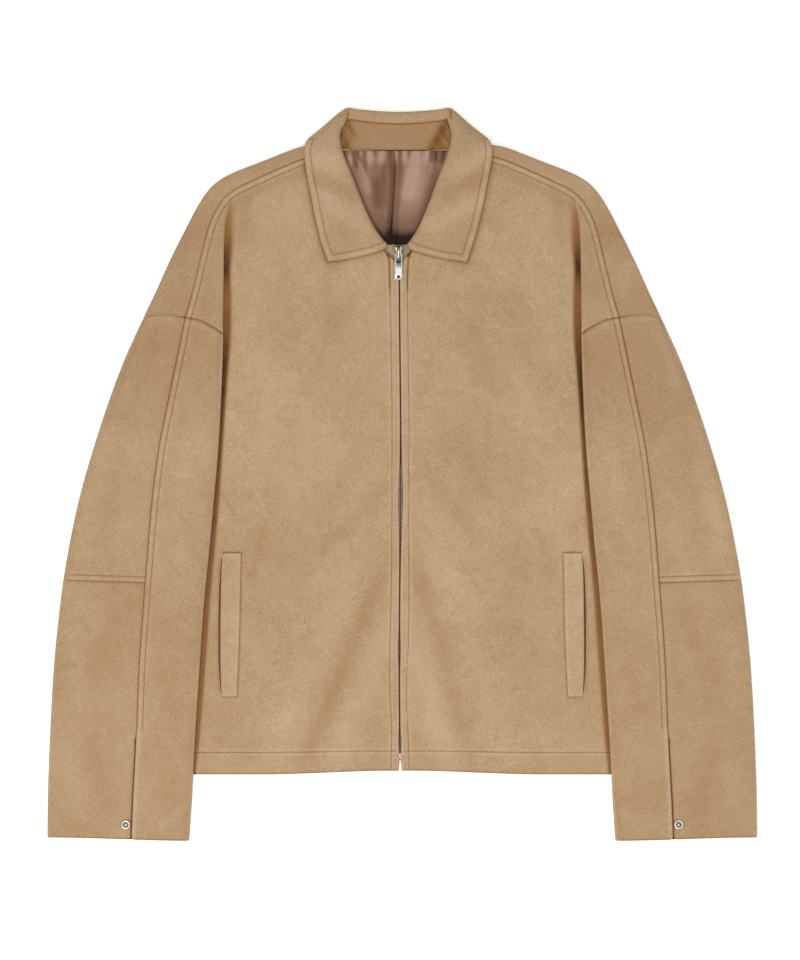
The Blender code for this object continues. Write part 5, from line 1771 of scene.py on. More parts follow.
                # painted shade along the cuff's edge
                wear_and_painted_light += marks(distance, (0.55, 0, 1.1))
                near = np.clip(1 - measure.distance(Edge.FIRST_COLUMN) / self.cuff_corner, 0, 1)
                rise = self.cuff_corner * (1 - np.sqrt(1 - near ** 2))
                y += on_top * rise * np.clip(1 - distance / (3 * self.cuff_corner), 0, 1)
        name = self.side.named(node)
        facing = self.side.value if node == "sleeve_front" else -self.side.value
        shell = Shell(f"{name}_shell", placed, facing, lift=on_top * lift, wear_and_painted_light=on_top * wear_and_painted_light,
                      rim={edge: 1.5 if kind is Sewn.GATHERED else 1.0 for edge, kind in edges.items()})
        piece = shell.settled(suede, "suede", name)
        self.side.named("front")
        return shell

    def _sew(self, name: str, shell: Shell, count: int, edge: Edge, thread: Material) -> None:
        """Makes the stitches beside a lapped edge.

        Args:
            name: the piece's name, without its side.
            shell: the panel that laps over.
            count: cells of its upper layer across.
            edge: which of its edges laps.
            thread: the stitches' finish.
        """
        points, run = shell.middle[:, :count], shell.distance(edge)[:, :count]
        if edge.on_rows:
            line = reached(run, points, SEAM.stitch_at)
            line = line[(line[:, 1] > self.vent_y) & (line[:, 1] < line[0, 1] - 2)]
        else:
            line = reached(run[::-1].T, points[::-1].transpose(1, 0, 2), SEAM.stitch_at)
        usable = np.zeros(shell.middle.shape[:2], dtype=bool)
        usable[:, :count] = True
        stitched = on_surface(shell.outside(), shell.normals, usable, line)
        settle(SEWING.thread(self.side.named(name), [stitched], thread), JACKET)

    def build(self, suede: Material, thread: Material) -> None:
        """Makes the three panels and their stitches.

        Args:
            suede: the cloth's finish.
            thread: the stitches' finish.
        """
        low, top = self.hidden.shares(70.0), self.stitched.shares(50.0)
        y = self.arm_top_y - self.inner_rows.places(self.arm_top_y - self.cuff_y)
        inner = np.concatenate([self._slanting(True, top, low), self._ring(y, True, top, low)])
        shell = self._panel("sleeve_front", inner, len(top) - 1, suede,
                            {Edge.FIRST_COLUMN: Sewn.OVER, Edge.FIRST_ROW: Sewn.GATHERED,
                             Edge.LAST_ROW: Sewn.RAW})
        self._sew("sleeve_front_stitches", shell, len(top) - 1, Edge.FIRST_COLUMN, thread)
        top = self.plain.shares(85.0)
        count = len(top) - 1
        y = self.arm_top_y - self.upper_rows.places(self.arm_top_y - self.elbow_y)
        above = np.concatenate([self._slanting(False, top, low), self._ring(y, False, top, low)])
        self._bend_elbow(above)
        above[..., 0] -= self._tucked(above, count)
        shell = self._panel("sleeve_upper", above, count, suede,
                            {Edge.FIRST_COLUMN: Sewn.UNDER, Edge.FIRST_ROW: Sewn.GATHERED,
                             Edge.LAST_ROW: Sewn.OVER})
        self._sew("sleeve_elbow_stitches", shell, count, Edge.LAST_ROW, thread)
        y = self.elbow_y - self.lower_rows.places(self.elbow_y - self.cuff_y)
        below = self._ring(y, False, top, low)
        self._bend_elbow(below)
        below[..., 1] += self.tuck * (1 - np.clip((self.elbow_y - y) / 12.0, 0, 1))[:, None]
        below[..., 0] -= self._tucked(below, count)
        self._panel("sleeve_lower", below, count, suede,
                    {Edge.FIRST_COLUMN: Sewn.UNDER, Edge.FIRST_ROW: Sewn.UNDER,
                     Edge.LAST_ROW: Sewn.RAW})


# ---- collar ---------------------------------------------------------------------------------

def spline_weights(count: int, u: Array, degree: int = 3) -> Array:
    """Weights of control points in a clamped B-spline, by the Cox-de Boor recursion.

    Args:
        count: number of control points.
        u: places along it, from 0 to 1.
        degree: of the spline.

    Returns:
        One row of weights for each place.
    """
    spans = count - degree
    knots = np.concatenate([np.zeros(degree), np.arange(spans + 1), np.full(degree, spans)])
    u = np.asarray(u, dtype=float) * spans
    weights = np.zeros((len(u), len(knots) - 1))
    weights[np.arange(len(u)), np.clip(np.floor(u).astype(int), 0, spans - 1) + degree] = 1
    for d in range(1, degree + 1):
        new = np.zeros_like(weights)
        for i in range(len(knots) - 1 - d):
            left, right = knots[i + d] - knots[i], knots[i + d + 1] - knots[i + 1]
            if left > 0:
                new[:, i] += (u - knots[i]) / left * weights[:, i]
            if right > 0:
                new[:, i] += (knots[i + d + 1] - u) / right * weights[:, i + 1]
        weights = new
    return weights[:, :count]


@dataclass
class Collar:
    """The collar leaf, folded over at the front and behind at the back, and its stand.

    Attributes:
        stitch_at: distance of the leaf's stitches from its edge.
        stand_bend: how far the stand runs on in line with the leaf.
        stand_gap: between leaf and stand where they lie in line.
        folded_gap: and where the leaf meets the stand at a right angle.
    """

    stitch_at: float = 7.4
    stand_bend: float = 4.0
    stand_gap: float = -0.6
    folded_gap: float = 1.0
    bow: float = 3.0
    round_it: Spacing = Spacing((0.0, 3.7, 7.4, 10.0), (0.0, 3.7, 7.4, 10.0), 0.65, 2.8, 6.0)
    across: Spacing = Spacing((), (0.0, 3.7, 7.4), 0.6, 2.2, 6.0)

    def __post_init__(self) -> None:
        """Lays the collar table out from the left front end round to the right one."""
        self.whole: dict[str, Array] = {}
        for key, column in COLLAR.items():
            sign = -1.0 if key.endswith("_h") else 1.0
            self.whole[key] = np.concatenate([sign * column, column[-2::-1]])
        for name, askew in (("roll", "roll"), ("foot", "roll"), ("out", "out"), ("edge", "out")):
            self.whole[name + "_h"] -= self.whole[askew + "_shift"]
        self.last = len(self.whole["roll_h"]) - 1
        self.index = self.round_it.places(20.0 * self.last) / 20.0
        stations = np.arange(self.last + 1.0)
        self.whole = {key: smooth(stations, column, self.index) for key, column in self.whole.items()}

    def _plan(self, name: str) -> Array:
        """A point of each station, seen from above."""
        return np.stack([self.whole[name + "_h"], self.whole[name + "_y"]], axis=1)

    @staticmethod
    def _raised(plan: Array, z: Any) -> Array:
        """Plan points with their heights."""
        return np.concatenate([plan, np.broadcast_to(z, (len(plan), 1))], axis=1)

    def _leaf_net(self) -> Array:
        """Control points of the leaf.

        Returns:
            For each station, points from the inner edge over the crest out to the outer edge.
        """
        roll, far, edge = (self._plan(name) for name in ("roll", "out", "edge"))
        tangent = unit(np.gradient(roll, axis=0))
        into = np.stack([tangent[:, 1], -tangent[:, 0]], axis=1)
        wrap, roll_z, out_z = (self.whole[name][:, None] for name in ("wrap", "roll_z", "out_z"))
        drop = np.radians(self.whole["drop"])[:, None]
        run = 5.3 + 1.6 * np.cos(drop)
        raised = self._raised
        inner = raised(roll + into * (1.0 + run * np.cos(drop)), roll_z - run * np.sin(drop))
        crest_in = raised(roll + into * 1.6, roll_z + 0.2)
        crest_out = raised(roll - into * 2.2, roll_z + 0.6)
        reach = far - roll
        front = [raised(roll + reach * f, roll_z + (out_z - roll_z) * f ** 0.8)
                 for f in (0.4, 0.7, 0.88, 1.0)]
        beyond = far + unit(reach) * (1.2 + 2.0 * 4 * wrap * (1 - wrap))
        back = [raised(beyond, out_z)]
        back += [raised(plan, LAY.floor_mid) for plan in (beyond, far * 0.6 + edge * 0.4, edge)]
        shares = [wrap ** power for power in (0.35, 0.6, 1.0, 1.4)]
        outer = [a * (1 - w) + b * w for a, b, w in zip(front, back, shares)]
        return np.stack([inner, crest_in, crest_out] + outer, axis=1)

    def leaf(self) -> Array:
        """The leaf's middle surface.

        Returns:
            Rows of points: a spline across the control net of each station, bowed at the ends.
        """
        share = self.across.places(74.0) / 74.0
        net = self._leaf_net()
        grid = np.einsum("uk,skc->suc", spline_weights(net.shape[1], share), net)
        end = np.minimum(self.index, self.last - self.index)[:, None]
        grid[..., 1] -= self.bow * np.sin(math.pi * share)[None] * np.clip(1 - end / 1.4, 0, 1) ** 2
        return grid

    def stand(self, leaf: Array) -> Array:
        """The stand's middle surface, from its foot to the leaf's inner edge.

        Args:
            leaf: the leaf's grid.

        Returns:
            Rows of points: a curve of the second degree with one bend.
        """
        turned = self.whole["turned"][:, None]
        step = unit(leaf[:, 0] - leaf[:, 1])
        top = leaf[:, 0] + step * (self.stand_gap * turned + self.folded_gap * (1 - turned))
        top[:, 2] -= 0.5 * turned[:, 0]
        plan = self._plan("foot")
        on_front = LAY.body_z(np.abs(plan[:, 0]), plan[:, 1], np.sign(plan[:, 0]))[:, None]
        on_back = (LAY.back_z(plan[:, 0], plan[:, 1]) + LAY.wall + LAY.lay_gap)[:, None]
        foot = self._raised(plan, on_front * (1 - turned) + on_back * turned)
        share = np.linspace(0, 1, 17)[None, :, None]
        bend = (top + step * self.stand_bend * turned)[:, None]
        return foot[:, None] * (1 - share) ** 2 + bend * 2 * share * (1 - share) + top[:, None] * share ** 2

    def build(self, suede: Material, thread: Material) -> None:
        """Makes the leaf, the stand and their stitches.

        Args:
            suede: the cloth's finish.
            thread: the stitches' finish.
        """
        grid = self.leaf()
        on_front = 1 - ease((np.minimum(self.index, self.last - self.index) - 5.7) / 0.8)[:, None]
        x, y = grid[..., 0], grid[..., 1]
        folds = (Fold(-34, 262, -84, 300, 11, 0.5), Fold(-44, 300, -92, 318, 9, -0.4),
                 Fold(28, 262, 78, 296, 11, 0.5), Fold(40, 300, 86, 322, 9, -0.4),
                 Fold(-60, 330, -92, 345, 10, 0.5), Fold(52, 326, 88, 346, 10, 0.5))
        share = self.across.places(74.0) / 74.0
        middle = ease((share - 0.28) / 0.2)[None] * on_front
        grid[..., 2] += middle * (folded(folds, x, y) + uneven(x, y, 4.2, 0.13))
        facing = -1
        measure = Shell("collar_leaf", grid, facing)
        edge = measure.distance(Edge.LAST_COLUMN)
        ends = np.minimum(measure.distance(Edge.FIRST_ROW), measure.distance(Edge.LAST_ROW))
        corner = np.minimum(edge, ends)
        corner = np.where(on_front > 0, corner, FAR)
        lift = SEWING.press(corner - self.stitch_at) * on_front
        lift += 0.55 * on_front * bell(corner - 3.6, 2.4)
        lift += on_front * puckers(np.where(edge < ends, y, x), corner - 4.0, 0.08, 8.0, 4.0)
        # painted light on the leaf: shade along the edge and in the stitch groove, highlight on the puffed
        # band and fold ridges, shade in fold troughs, under the turned inner edge, in the back creases and
        # where the leaf meets the stand
        wear_and_painted_light = SEWING.mark(corner - self.stitch_at) * on_front + 0.2 * bell(corner, 0.8)
        wear_and_painted_light += 0.06 - on_front * (0.12 * bell(corner - 3.6, 1.8) + 0.3 * folded(folds, x, y))
        wear_and_painted_light += 0.6 * bell(measure.distance(Edge.FIRST_COLUMN), 0.7) * self.whole["turned"][:, None]
        creases = folded((Fold(-57.5, 391, -59.5, 376, 1.3, 0.5),
                          Fold(51.1, 393, 51.8, 384, 1.2, 0.45)), x, y)
        wear_and_painted_light += creases * (y > 372)
        wear_and_painted_light += 0.45 * (1 - on_front) * bell(y - 350, 4) * (grid[..., 2] < 2.2)
        lift -= creases * (y > 372)
        shell = Shell("collar_leaf_shell", grid, facing, lift=lift, wear_and_painted_light=wear_and_painted_light,
                      rim={**dict.fromkeys(Edge, 1.3), Edge.FIRST_COLUMN: 0.8})
        piece = shell.object(suede)
        settle(piece, JACKET, ["collar_leaf"])
        usable = (share[None] > 0.25) & (on_front > 0)
        lines = [self._seam_line(grid, left) for left in (True, False)]
        stitched = [on_surface(shell.outside(), shell.normals, usable, line) for line in lines]
        settle(SEWING.thread("collar_stitches", stitched, thread), JACKET)
        self._build_stand(grid, suede)

    def _seam_line(self, grid: Array, left: bool) -> Array:
        """Line at the stitch distance inside a front half's end and outer edge.

        Args:
            grid: the leaf's grid.
            left: whether it is the left half.

        Returns:
            Points along the end, and then along the outer edge.
        """
        half = len(grid) // 2
        part = grid[:half] if left else grid[::-1][:half]
        edge = lengths(part)
        edge = edge[:, -1:] - edge
        end = lengths(part.transpose(1, 0, 2)).T
        keep = self.index[:half] < 6.2
        side = np.array([[np.interp(self.stitch_at, edge[k, ::-1], part[k, ::-1, a]) for a in range(3)]
                         for k in np.flatnonzero(keep)])
        inward = end[np.flatnonzero(keep), -1] >= self.stitch_at
        front = np.array([[np.interp(self.stitch_at, end[:, c], part[:, c, a]) for a in range(3)]
                          for c in range(part.shape[1])])
        front = front[(edge[0] >= self.stitch_at) & (edge[0] < edge[0, 0] - 7.0)]
        return np.concatenate([front, side[inward]])

    def _build_stand(self, leaf: Array, suede: Material) -> None:
        """Makes the stand, with a few creases behind the neck.

        Args:
            leaf: the leaf's grid.
            suede: the cloth's finish.
        """
        grid = self.stand(leaf)
        x = grid[..., 0]
        across = np.linspace(0, 1, grid.shape[1])[None]
        back = bell(x + 2, 46) * ease((grid[..., 1] - 340) / 8)
        grid[..., 2] += back * 0.35 * np.sin(across * math.pi) * np.sin(x / 5.3 + 1.2 * np.sin(x / 11.0))
        left = ease((-(x + 3.5) - 45) / 9)
        right = ease((x - 27.0 - 0.436 * (grid[..., 1] - 355)) / 8)
        corners = (0.35 * left + 0.6 * right) * ease((grid[..., 1] - 346) / 6)
        slant = 0.8 * np.abs(x + 3.5) + 0.6 * grid[..., 1]
        crease = np.sin(slant / 1.7) + 0.6 * np.sin(slant / 0.95 + 1.0)
        grid[..., 2] += corners * 0.35 * crease * np.sin(across * math.pi)
        valleys = folded((Fold(47, 380, 30, 352, 5, 0.5), Fold(-66, 372, -58, 352, 4, 0.5),
                          Fold(-58, 378, -50, 366, 3, 0.4)), x, grid[..., 1])
        grid[..., 2] -= valleys * np.sin(across * math.pi)
        # painted shade: the whole stand darker, more at its crumpled corners and in its valleys, and most
        # towards the bottom of the neck opening
        wear_and_painted_light = 0.24 + corners * (0.42 + 0.12 * crease) + 0.6 * ease((266 - grid[..., 1]) / 18) + 0.5 * valleys
        measure = Shell("collar_stand", grid, -1)
        shade = 0.5 * bell(measure.distance(Edge.LAST_COLUMN), 0.8)
        shade = shade + 0.12 * bell(measure.distance(Edge.FIRST_COLUMN), 1.1)
        wear_and_painted_light = wear_and_painted_light + shade * self.whole["turned"][:, None]
        shell = Shell("collar_stand_shell", grid, -1, wear_and_painted_light=wear_and_painted_light,
                      rim=dict.fromkeys(Edge, 0.8))
        piece = shell.object(suede)
        settle(piece, JACKET, ["collar_stand"])


@dataclass
class Lining:
    """The back's lining, as far as the neck shows it."""

    wall: float = 1.0
    rows: int = 110
    columns: int = 110

    outline = table("y half centre", (349.4, 68, -5.5), (340, 69, -7), (323, 60.5, -7),
                    (305, 52, -6.5), (285, 43, -6.5), (265, 33, -6), (250, 24, -5))

    shades: tuple[Fold, ...] = (
        Fold(-28.2, 318, -25.8, 291.5, 4.5, 0.45), Fold(-14.1, 339, -16.2, 281, 3, -0.35),
        Fold(13.5, 339, 6, 302, 11, -0.35), Fold(-42.7, 334, -36, 307, 4, -0.3),
        Fold(-54.4, 350, -49, 334, 2.5, 0.5), Fold(-48, 350, -44.8, 339, 1.8, 0.4),
        Fold(30.4, 350, 29.4, 339, 1.8, 0.5), Fold(36.8, 352, 35.7, 339, 1.8, 0.5),
        Fold(44.2, 352, 41, 337, 2.5, 0.6), Fold(40, 334, 18.8, 270, 6, 0.4))

    def build(self, satin: Material) -> None:
        """Makes the lining, with its centre seam, its gathers and its slack folds.

        Args:
            satin: its finish.
        """
        y = np.linspace(349.4, 250.0, self.rows)[:, None]
        share = np.linspace(-1, 1, self.columns)[None]
        half = smooth(self.outline["y"], self.outline["half"], y)
        centre = smooth(self.outline["y"], self.outline["centre"], y)
        x = centre + half * share
        y = np.broadcast_to(y, x.shape)
        z = LAY.back_z(x, y) + LAY.wall / 2 + 2 * LAY.lay_gap + self.wall / 2
        seam_x = smooth(np.array([240.0, 290.0, 330.0, 350.0]), np.array([-13.0, -10.0, -7.8, -8.8]), y)
        gathers = 0.32 * bell(y - 349, 15) * np.sin(x / 1.9 + 0.9 * np.sin(x / 7.0))
        slack = sum(f.at(x, y) for f in (
            Fold(-52, 338, -30, 282, 5.5, 2.4), Fold(-34, 342, -20, 268, 4.5, 1.9),
            Fold(18, 345, 4, 275, 8, 2.2), Fold(36, 335, 16, 276, 5, 2),
            Fold(48, 346, 40, 316, 4, 1.6), Fold(-24, 348, -28, 318, 4, 1.2)))
        pleat = 1.6 * bell(x - seam_x - 3.0, 3.2) - 0.2 * bell(x - seam_x, 0.8)
        inside = ease((1 - np.abs(share)) / 0.15)
        grid = np.stack([x, y, z + inside * (gathers + slack + pleat)], axis=-1)
        # painted light on the lining: shade in the slack troughs, towards the bottom of the neck opening, at
        # its sides and left of the seam, listed dark and light patches, highlight on the gathers' ridges and
        # near the top; the centre seam gets a dark line
        trough_shade = ease((0.9 - slack) / 1.1)
        wear_and_painted_light = 0.7 * bell(x - seam_x, 0.9) + 0.4 * bell(x - seam_x + 3, 3) + 0.4 * trough_shade
        wear_and_painted_light = wear_and_painted_light + 0.35 * ease((292 - y) / 30) + 0.9 * ease((272 - y) / 20)
        wear_and_painted_light = wear_and_painted_light + 0.4 * ease((np.abs(share) - 0.7) / 0.25) - 0.22 + folded(self.shades, x, y)
        wear_and_painted_light = wear_and_painted_light + 0.12 * ease((seam_x - x) / 8) - 0.9 * gathers
        wear_and_painted_light = wear_and_painted_light - 0.34 * ease((y - 331) / 12) * (1 - ease((x - 26) / 10))
        shell = Shell("lining_shell", grid, -1, thickness=self.wall, wear_and_painted_light=wear_and_painted_light)
        piece = shell.object(satin)
        settle(piece, JACKET, ["lining_back"])


@dataclass
class Welt:
    """A pocket's welt, sewn to its front along three sides and open along the outer one."""

    side: Side
    wall: float = 1.4
    stitch_at: float = 1.1
    gape: float = 2.1
    rows: Spacing = Spacing((0.0, 2.0), (0.0, 2.0), 0.5, 3.2, 5.0)
    columns: Spacing = Spacing((0.0, 2.0), (0.0,), 0.45, 1.8, 3.0)

    outline = table("y inner outer", (-76.9, 170.3, 190.7), (-100, 171.2, 192.1), (-153, 172, 193),
                    (-190, 173.4, 193.1), (-230.6, 175.2, 191.7))

    def build(self, suede: Material, thread: Material) -> None:
        """Makes the welt and the stitches round it.

        Args:
            suede: the cloth's finish.
            thread: the stitches' finish.
        """
        y = (-76.9 - self.rows.places(153.7))[:, None]
        share = (self.columns.places(21.8) / 21.8)[None]
        inner = smooth(self.outline["y"], self.outline["inner"], y)
        outer = smooth(self.outline["y"], self.outline["outer"], y)
        h = inner + (outer - inner) * share
        y = np.broadcast_to(y, h.shape)
        z = front_z(h, y, self.side) + LAY.wall / 2 + LAY.lay_gap + self.wall / 2
        across = (outer - h)
        z = z + 0.9 * bell(across - 3.5, 5.0) * np.sin(math.pi * (y + 76.9) / -153.7) ** 0.5
        z = z - 0.75 * (1 - ease((h - inner) / 3.0)) - 0.5 * bell(np.minimum(-76.9 - y, y + 230.6), 2.0)
        placed = mirrored(np.stack([h, y, z + uneven(h, y, 5.0, 0.08)], axis=-1), self.side)
        name = self.side.named("pocket_welt")
        measure = Shell(name, placed, -self.side.value, thickness=self.wall)
        near = np.minimum(measure.distance(Edge.FIRST_ROW), measure.distance(Edge.LAST_ROW))
        near = np.minimum(near, measure.distance(Edge.FIRST_COLUMN))
        lift = 0.12 * bell(near - 2.4, 1.4)
        # a dark line at the sewn edges, partly seam mark and partly painted shade, and a faint painted
        # highlight inside them
        wear_and_painted_light = 0.68 * bell(near, 0.9) - 0.06 - 0.1 * bell(near - 2.4, 1.2)
        shell = Shell(name + "_shell", placed, -self.side.value, thickness=self.wall, lift=lift, wear_and_painted_light=wear_and_painted_light,
                      rim={**dict.fromkeys(Edge, 0.9), Edge.LAST_COLUMN: 1.2})
        piece = shell.object(suede)
        settle(piece, JACKET, [name])
        self.side.named("front")
        self._sew(name, thread)
        self._mouth_shadow(suede)

    def _mouth_shadow(self, suede: Material) -> None:
        """Makes a thin strip coloured as painted shadow in the pocket's mouth, beside the welt's free edge.

        Args:
            suede: the cloth's finish.
        """
        y = np.linspace(self.outline["y"][0] - 5.0, self.outline["y"][-1] + 4.0, 90)[:, None]
        outer = smooth(self.outline["y"], self.outline["outer"], y)
        gape = self.gape * np.sin(math.pi * np.linspace(0, 1, 90)[:, None]) ** 0.4
        h = outer - 1.0 + (gape + 1.0) * np.array([[0.0, 0.5, 1.0]])
        y = np.broadcast_to(y, h.shape)
        z = front_z(h, y, self.side) + LAY.wall / 2 + 0.3
        strip = mirrored(np.stack([h, y, z], axis=-1), self.side)
        shell = Shell(self.side.named("pocket_mouth_shadow"), strip, -self.side.value, thickness=0.3,
                      wear_and_painted_light=np.full(h.shape, 0.86))
        settle(shell.object(suede), JACKET)

    def _sew(self, name: str, thread: Material) -> None:
        """Makes the stitches on the front, just outside the welt's three sewn edges.

        Args:
            name: the welt's name.
            thread: the stitches' finish.
        """
        low, high = self.outline["y"][-1] - self.stitch_at, self.outline["y"][0] + self.stitch_at
        y = np.linspace(high, low, 160)
        inner = smooth(self.outline["y"], self.outline["inner"], y) - self.stitch_at
        outer = smooth(self.outline["y"], self.outline["outer"], np.array([high, low]))
        h = np.concatenate([np.linspace(outer[0], inner[0], 24), inner, np.linspace(inner[-1], outer[1], 24)])
        y = np.concatenate([np.full(24, high), y, np.full(24, low)])
        z = front_z(h, y, self.side) + LAY.wall / 2
        points = np.stack([h * self.side.value, y, z], axis=1)
        up = np.broadcast_to(np.array([0.0, 0.0, 1.0]), points.shape)
        settle(SEWING.thread(name + "_stitches", [(points, up)], thread), JACKET)


# ---- hardware -------------------------------------------------------------------------------

def lathe(profile: Array, segments: int) -> tuple[Array, Array]:
    """A closed surface of revolution: the profile (r, z) turned round Z in equal steps.

    Args:
        profile: points from the axis at the bottom round to the axis at the top.
        segments: steps of a turn.

    Returns:
        Vertices, and faces of four corners that meet the axis in a small ring.
    """
    angle = np.linspace(0, 2 * math.pi, segments, endpoint=False)
    r = np.maximum(profile[:, :1], 0.01)
    ring = np.stack([r * np.cos(angle), r * np.sin(angle),
                     np.broadcast_to(profile[:, 1:], (len(profile), segments))], axis=-1)
    ids = np.arange(len(profile) * segments).reshape(len(profile), segments)
    ahead = np.roll(ids, -1, axis=1)
    sides = np.stack([ids[:-1], ahead[:-1], ahead[1:], ids[1:]], axis=-1).reshape(-1, 4)
    k = np.arange(1, segments - 2, 2)
    low = np.stack([ids[0, 0] + 0 * k, ids[0, k + 2], ids[0, k + 1], ids[0, k]], axis=1)
    high = np.stack([ids[-1, 0] + 0 * k, ids[-1, k], ids[-1, k + 1], ids[-1, k + 2]], axis=1)
    return ring.reshape(-1, 3), np.concatenate([sides, low, high])


def rounded_box(outline: Array, levels: Array, inset: Array) -> tuple[Array, Array]:
    """An upright prism with eased edges: its outline drawn in by an inset at each level.

    Args:
        outline: plan points in anticlockwise order, an even number of them.
        levels: heights, rising.
        inset: how far the outline is drawn in at each level.

    Returns:
        Vertices and faces.
    """
    tangent = unit(np.roll(outline, -1, axis=0) - np.roll(outline, 1, axis=0))
    normal = np.stack([tangent[:, 1], -tangent[:, 0]], axis=1)
    plan = outline[None] - normal[None] * inset[:, None, None]
    ring = np.concatenate([plan, np.broadcast_to(levels[:, None, None], plan.shape[:2] + (1,))], axis=-1)
    count = len(outline)
    ids = np.arange(len(levels) * count).reshape(len(levels), count)
    ahead = np.roll(ids, -1, axis=1)
    sides = np.stack([ids[:-1], ahead[:-1], ahead[1:], ids[1:]], axis=-1).reshape(-1, 4)
    k = np.arange(count // 2 - 1)
    cap = np.stack([k, k + 1, count - 2 - k, count - 1 - k], axis=1)
    return ring.reshape(-1, 3), np.concatenate([sides, cap[:, ::-1], cap + ids[-1, 0]])


def rounded_plan(half_width: float, low_y: float, high_y: float, corner: float, taper: float = 0.0,
                 cells: int = 5) -> Array:
    """A rectangle with round corners.

    Args:
        half_width: of its upper end.
        low_y: its lower edge.
        high_y: its upper edge.
        corner: radius of its corners.
        taper: how much narrower its lower end is on each side.
        cells: steps of each corner.

    Returns:
        Plan points in anticlockwise order.
    """
    points = []
    for cx, cy, start in ((1, -1, 270), (1, 1, 0), (-1, 1, 90), (-1, -1, 180)):
        angle = np.radians(np.linspace(start, start + 90, cells + 1))
        centre = (cx * (half_width - corner - (taper if cy < 0 else 0.0)),
                  high_y - corner if cy > 0 else low_y + corner)
        points.append(np.stack([centre[0] + corner * np.cos(angle), centre[1] + corner * np.sin(angle)], 1))
    return np.concatenate(points)


@dataclass
class Zip:
    """The zip's two tapes, its teeth and its box.

    Attributes:
        top_y: upper end of the tapes.
        end_y: lower end of the teeth.
        pitch: from one tooth to the next on the same tape.
    """

    top_y: float = 234.0
    end_y: float = -289.5
    tape_end_y: float = -297.0
    pitch: float = 1.42
    chain_half: float = 2.9
    chain_z: float = 3.15
    tape_z: float = 2.7
    tape_wall: float = 1.0
    tape_width: float = 13.0

    def _tape(self, side: Side, woven: Material) -> None:
        """Makes one tape, with the cord that its teeth are clamped on.

        Args:
            side: which tape.
            woven: its finish.
        """
        y = np.linspace(self.top_y, self.tape_end_y, 260)[:, None]
        near = self.chain_half + LAY.lay_gap
        across = near + np.array([0, 0.35, 0.8, 1.3, 2.0, 3.0, 5.0, 8.0, 10.5, 12.4, 13.0])[None]
        x = LAY.zip_x(y) + side.value * across
        z = np.full(x.shape, self.tape_z) + 0.05 * np.sin(y / 0.9) * bell(across - near, 1.2)
        grid = np.stack([x, np.broadcast_to(y, x.shape), z], axis=-1)
        name = side.named("zip_tape")
        shell = Shell(name + "_shell", grid, -side.value, thickness=self.tape_wall,
                      lift=0.35 * bell(across - near - 0.9, 0.8) * np.ones(x.shape),
                      rim={Edge.LAST_COLUMN: 0.6})
        piece = shell.object(woven)
        settle(piece, JACKET, [name])

    def _row(self, name: str, outline: Array, levels: Array, metal: Material,
             nodes: Sequence[str] = ()) -> None:
        """Repeats one bevelled block at every tooth, on both tapes by turns.

        The teeth of the two tapes alternate, half a pitch apart, and each is turned with the
        zip's own direction.

        Args:
            name: the piece's name.
            outline: the block's plan, its x measured from the zip's centre to the tooth's own tape.
            levels: its four heights above the chain's middle.
            metal: its finish.
            nodes: the CAD nodes that it stands for.
        """
        y = np.arange(self.end_y + 1.0, self.top_y - 0.5, self.pitch / 2)
        side = np.where(np.arange(len(y)) % 2 == 0, 1.0, -1.0)
        bevel = np.array([levels[1] - levels[0], 0.0, 0.0, levels[3] - levels[2]]) * 0.5
        block, faces = rounded_box(outline, levels + self.chain_z, bevel)
        slope = (LAY.zip_x(y + 0.5) - LAY.zip_x(y - 0.5))
        across = block[None, :, 0] * side[:, None]
        points = np.stack([LAY.zip_x(y)[:, None] + across + slope[:, None] * block[None, :, 1],
                           y[:, None] + block[None, :, 1] - slope[:, None] * across,
                           np.broadcast_to(block[None, :, 2], across.shape)], axis=-1)
        shift = (np.arange(len(y)) * len(block))[:, None, None]
        every = np.where(side[:, None, None] > 0, faces[None] + shift, faces[None, :, ::-1] + shift)
        piece = make_object(name, points.reshape(-1, 3), every.reshape(-1, 4), metal, smooth_faces=False)
        settle(piece, JACKET, nodes)

    def _teeth(self, metal: Material, bright: Material) -> None:
        """Makes every tooth, from its tape to just past the middle, and a small block on each top whose
        lighter finish is a painted highlight.

        Args:
            metal: the teeth's finish, near black as painted shade.
            bright: the finish of the tooth tops, a painted highlight.
        """
        plan = np.array([[-0.9, -0.42], [1.2, -0.52], [2.9, -0.36], [2.9, 0.36], [1.2, 0.52], [-0.9, 0.42]])
        self._row("zip_teeth", plan, np.array([-1.1, -0.8, 0.8, 1.1]), metal, ["zip_chain"])
        crown = np.array([[0.5, -0.24], [1.5, -0.24], [1.5, 0.24], [0.5, 0.24]])
        self._row("zip_tooth_crowns", crown, np.array([1.0, 1.05, 1.2, 1.3]), bright)

    def _box(self, metal: Material) -> None:
        """Makes the box at the zip's lower end.

        Args:
            metal: its finish.
        """
        centre = float(LAY.zip_x(-293.0))
        outline = rounded_plan(2.5, -296.4, -289.9, 0.7)
        levels = np.array([1.95, 2.25, 4.05, 4.35])
        points, faces = rounded_box(outline + np.array([centre, 0]), levels, np.array([0.3, 0, 0, 0.3]))
        settle(make_object("zip_box_metal", points, faces, metal), JACKET, ["zip_box"])

    def build(self, woven: Material, teeth: Material,
              crowns: Material, metal: Material) -> None:
        """Makes the whole zip.

        Args:
            woven: the tapes' finish.
            teeth: the teeth's finish, near black as painted shade.
            crowns: the finish of the tooth tops, a lighter copy of the metal as painted highlight.
            metal: the box's finish.
        """
        for side in Side:
            self._tape(side, woven)
        self._teeth(teeth, crowns)
        self._box(metal)


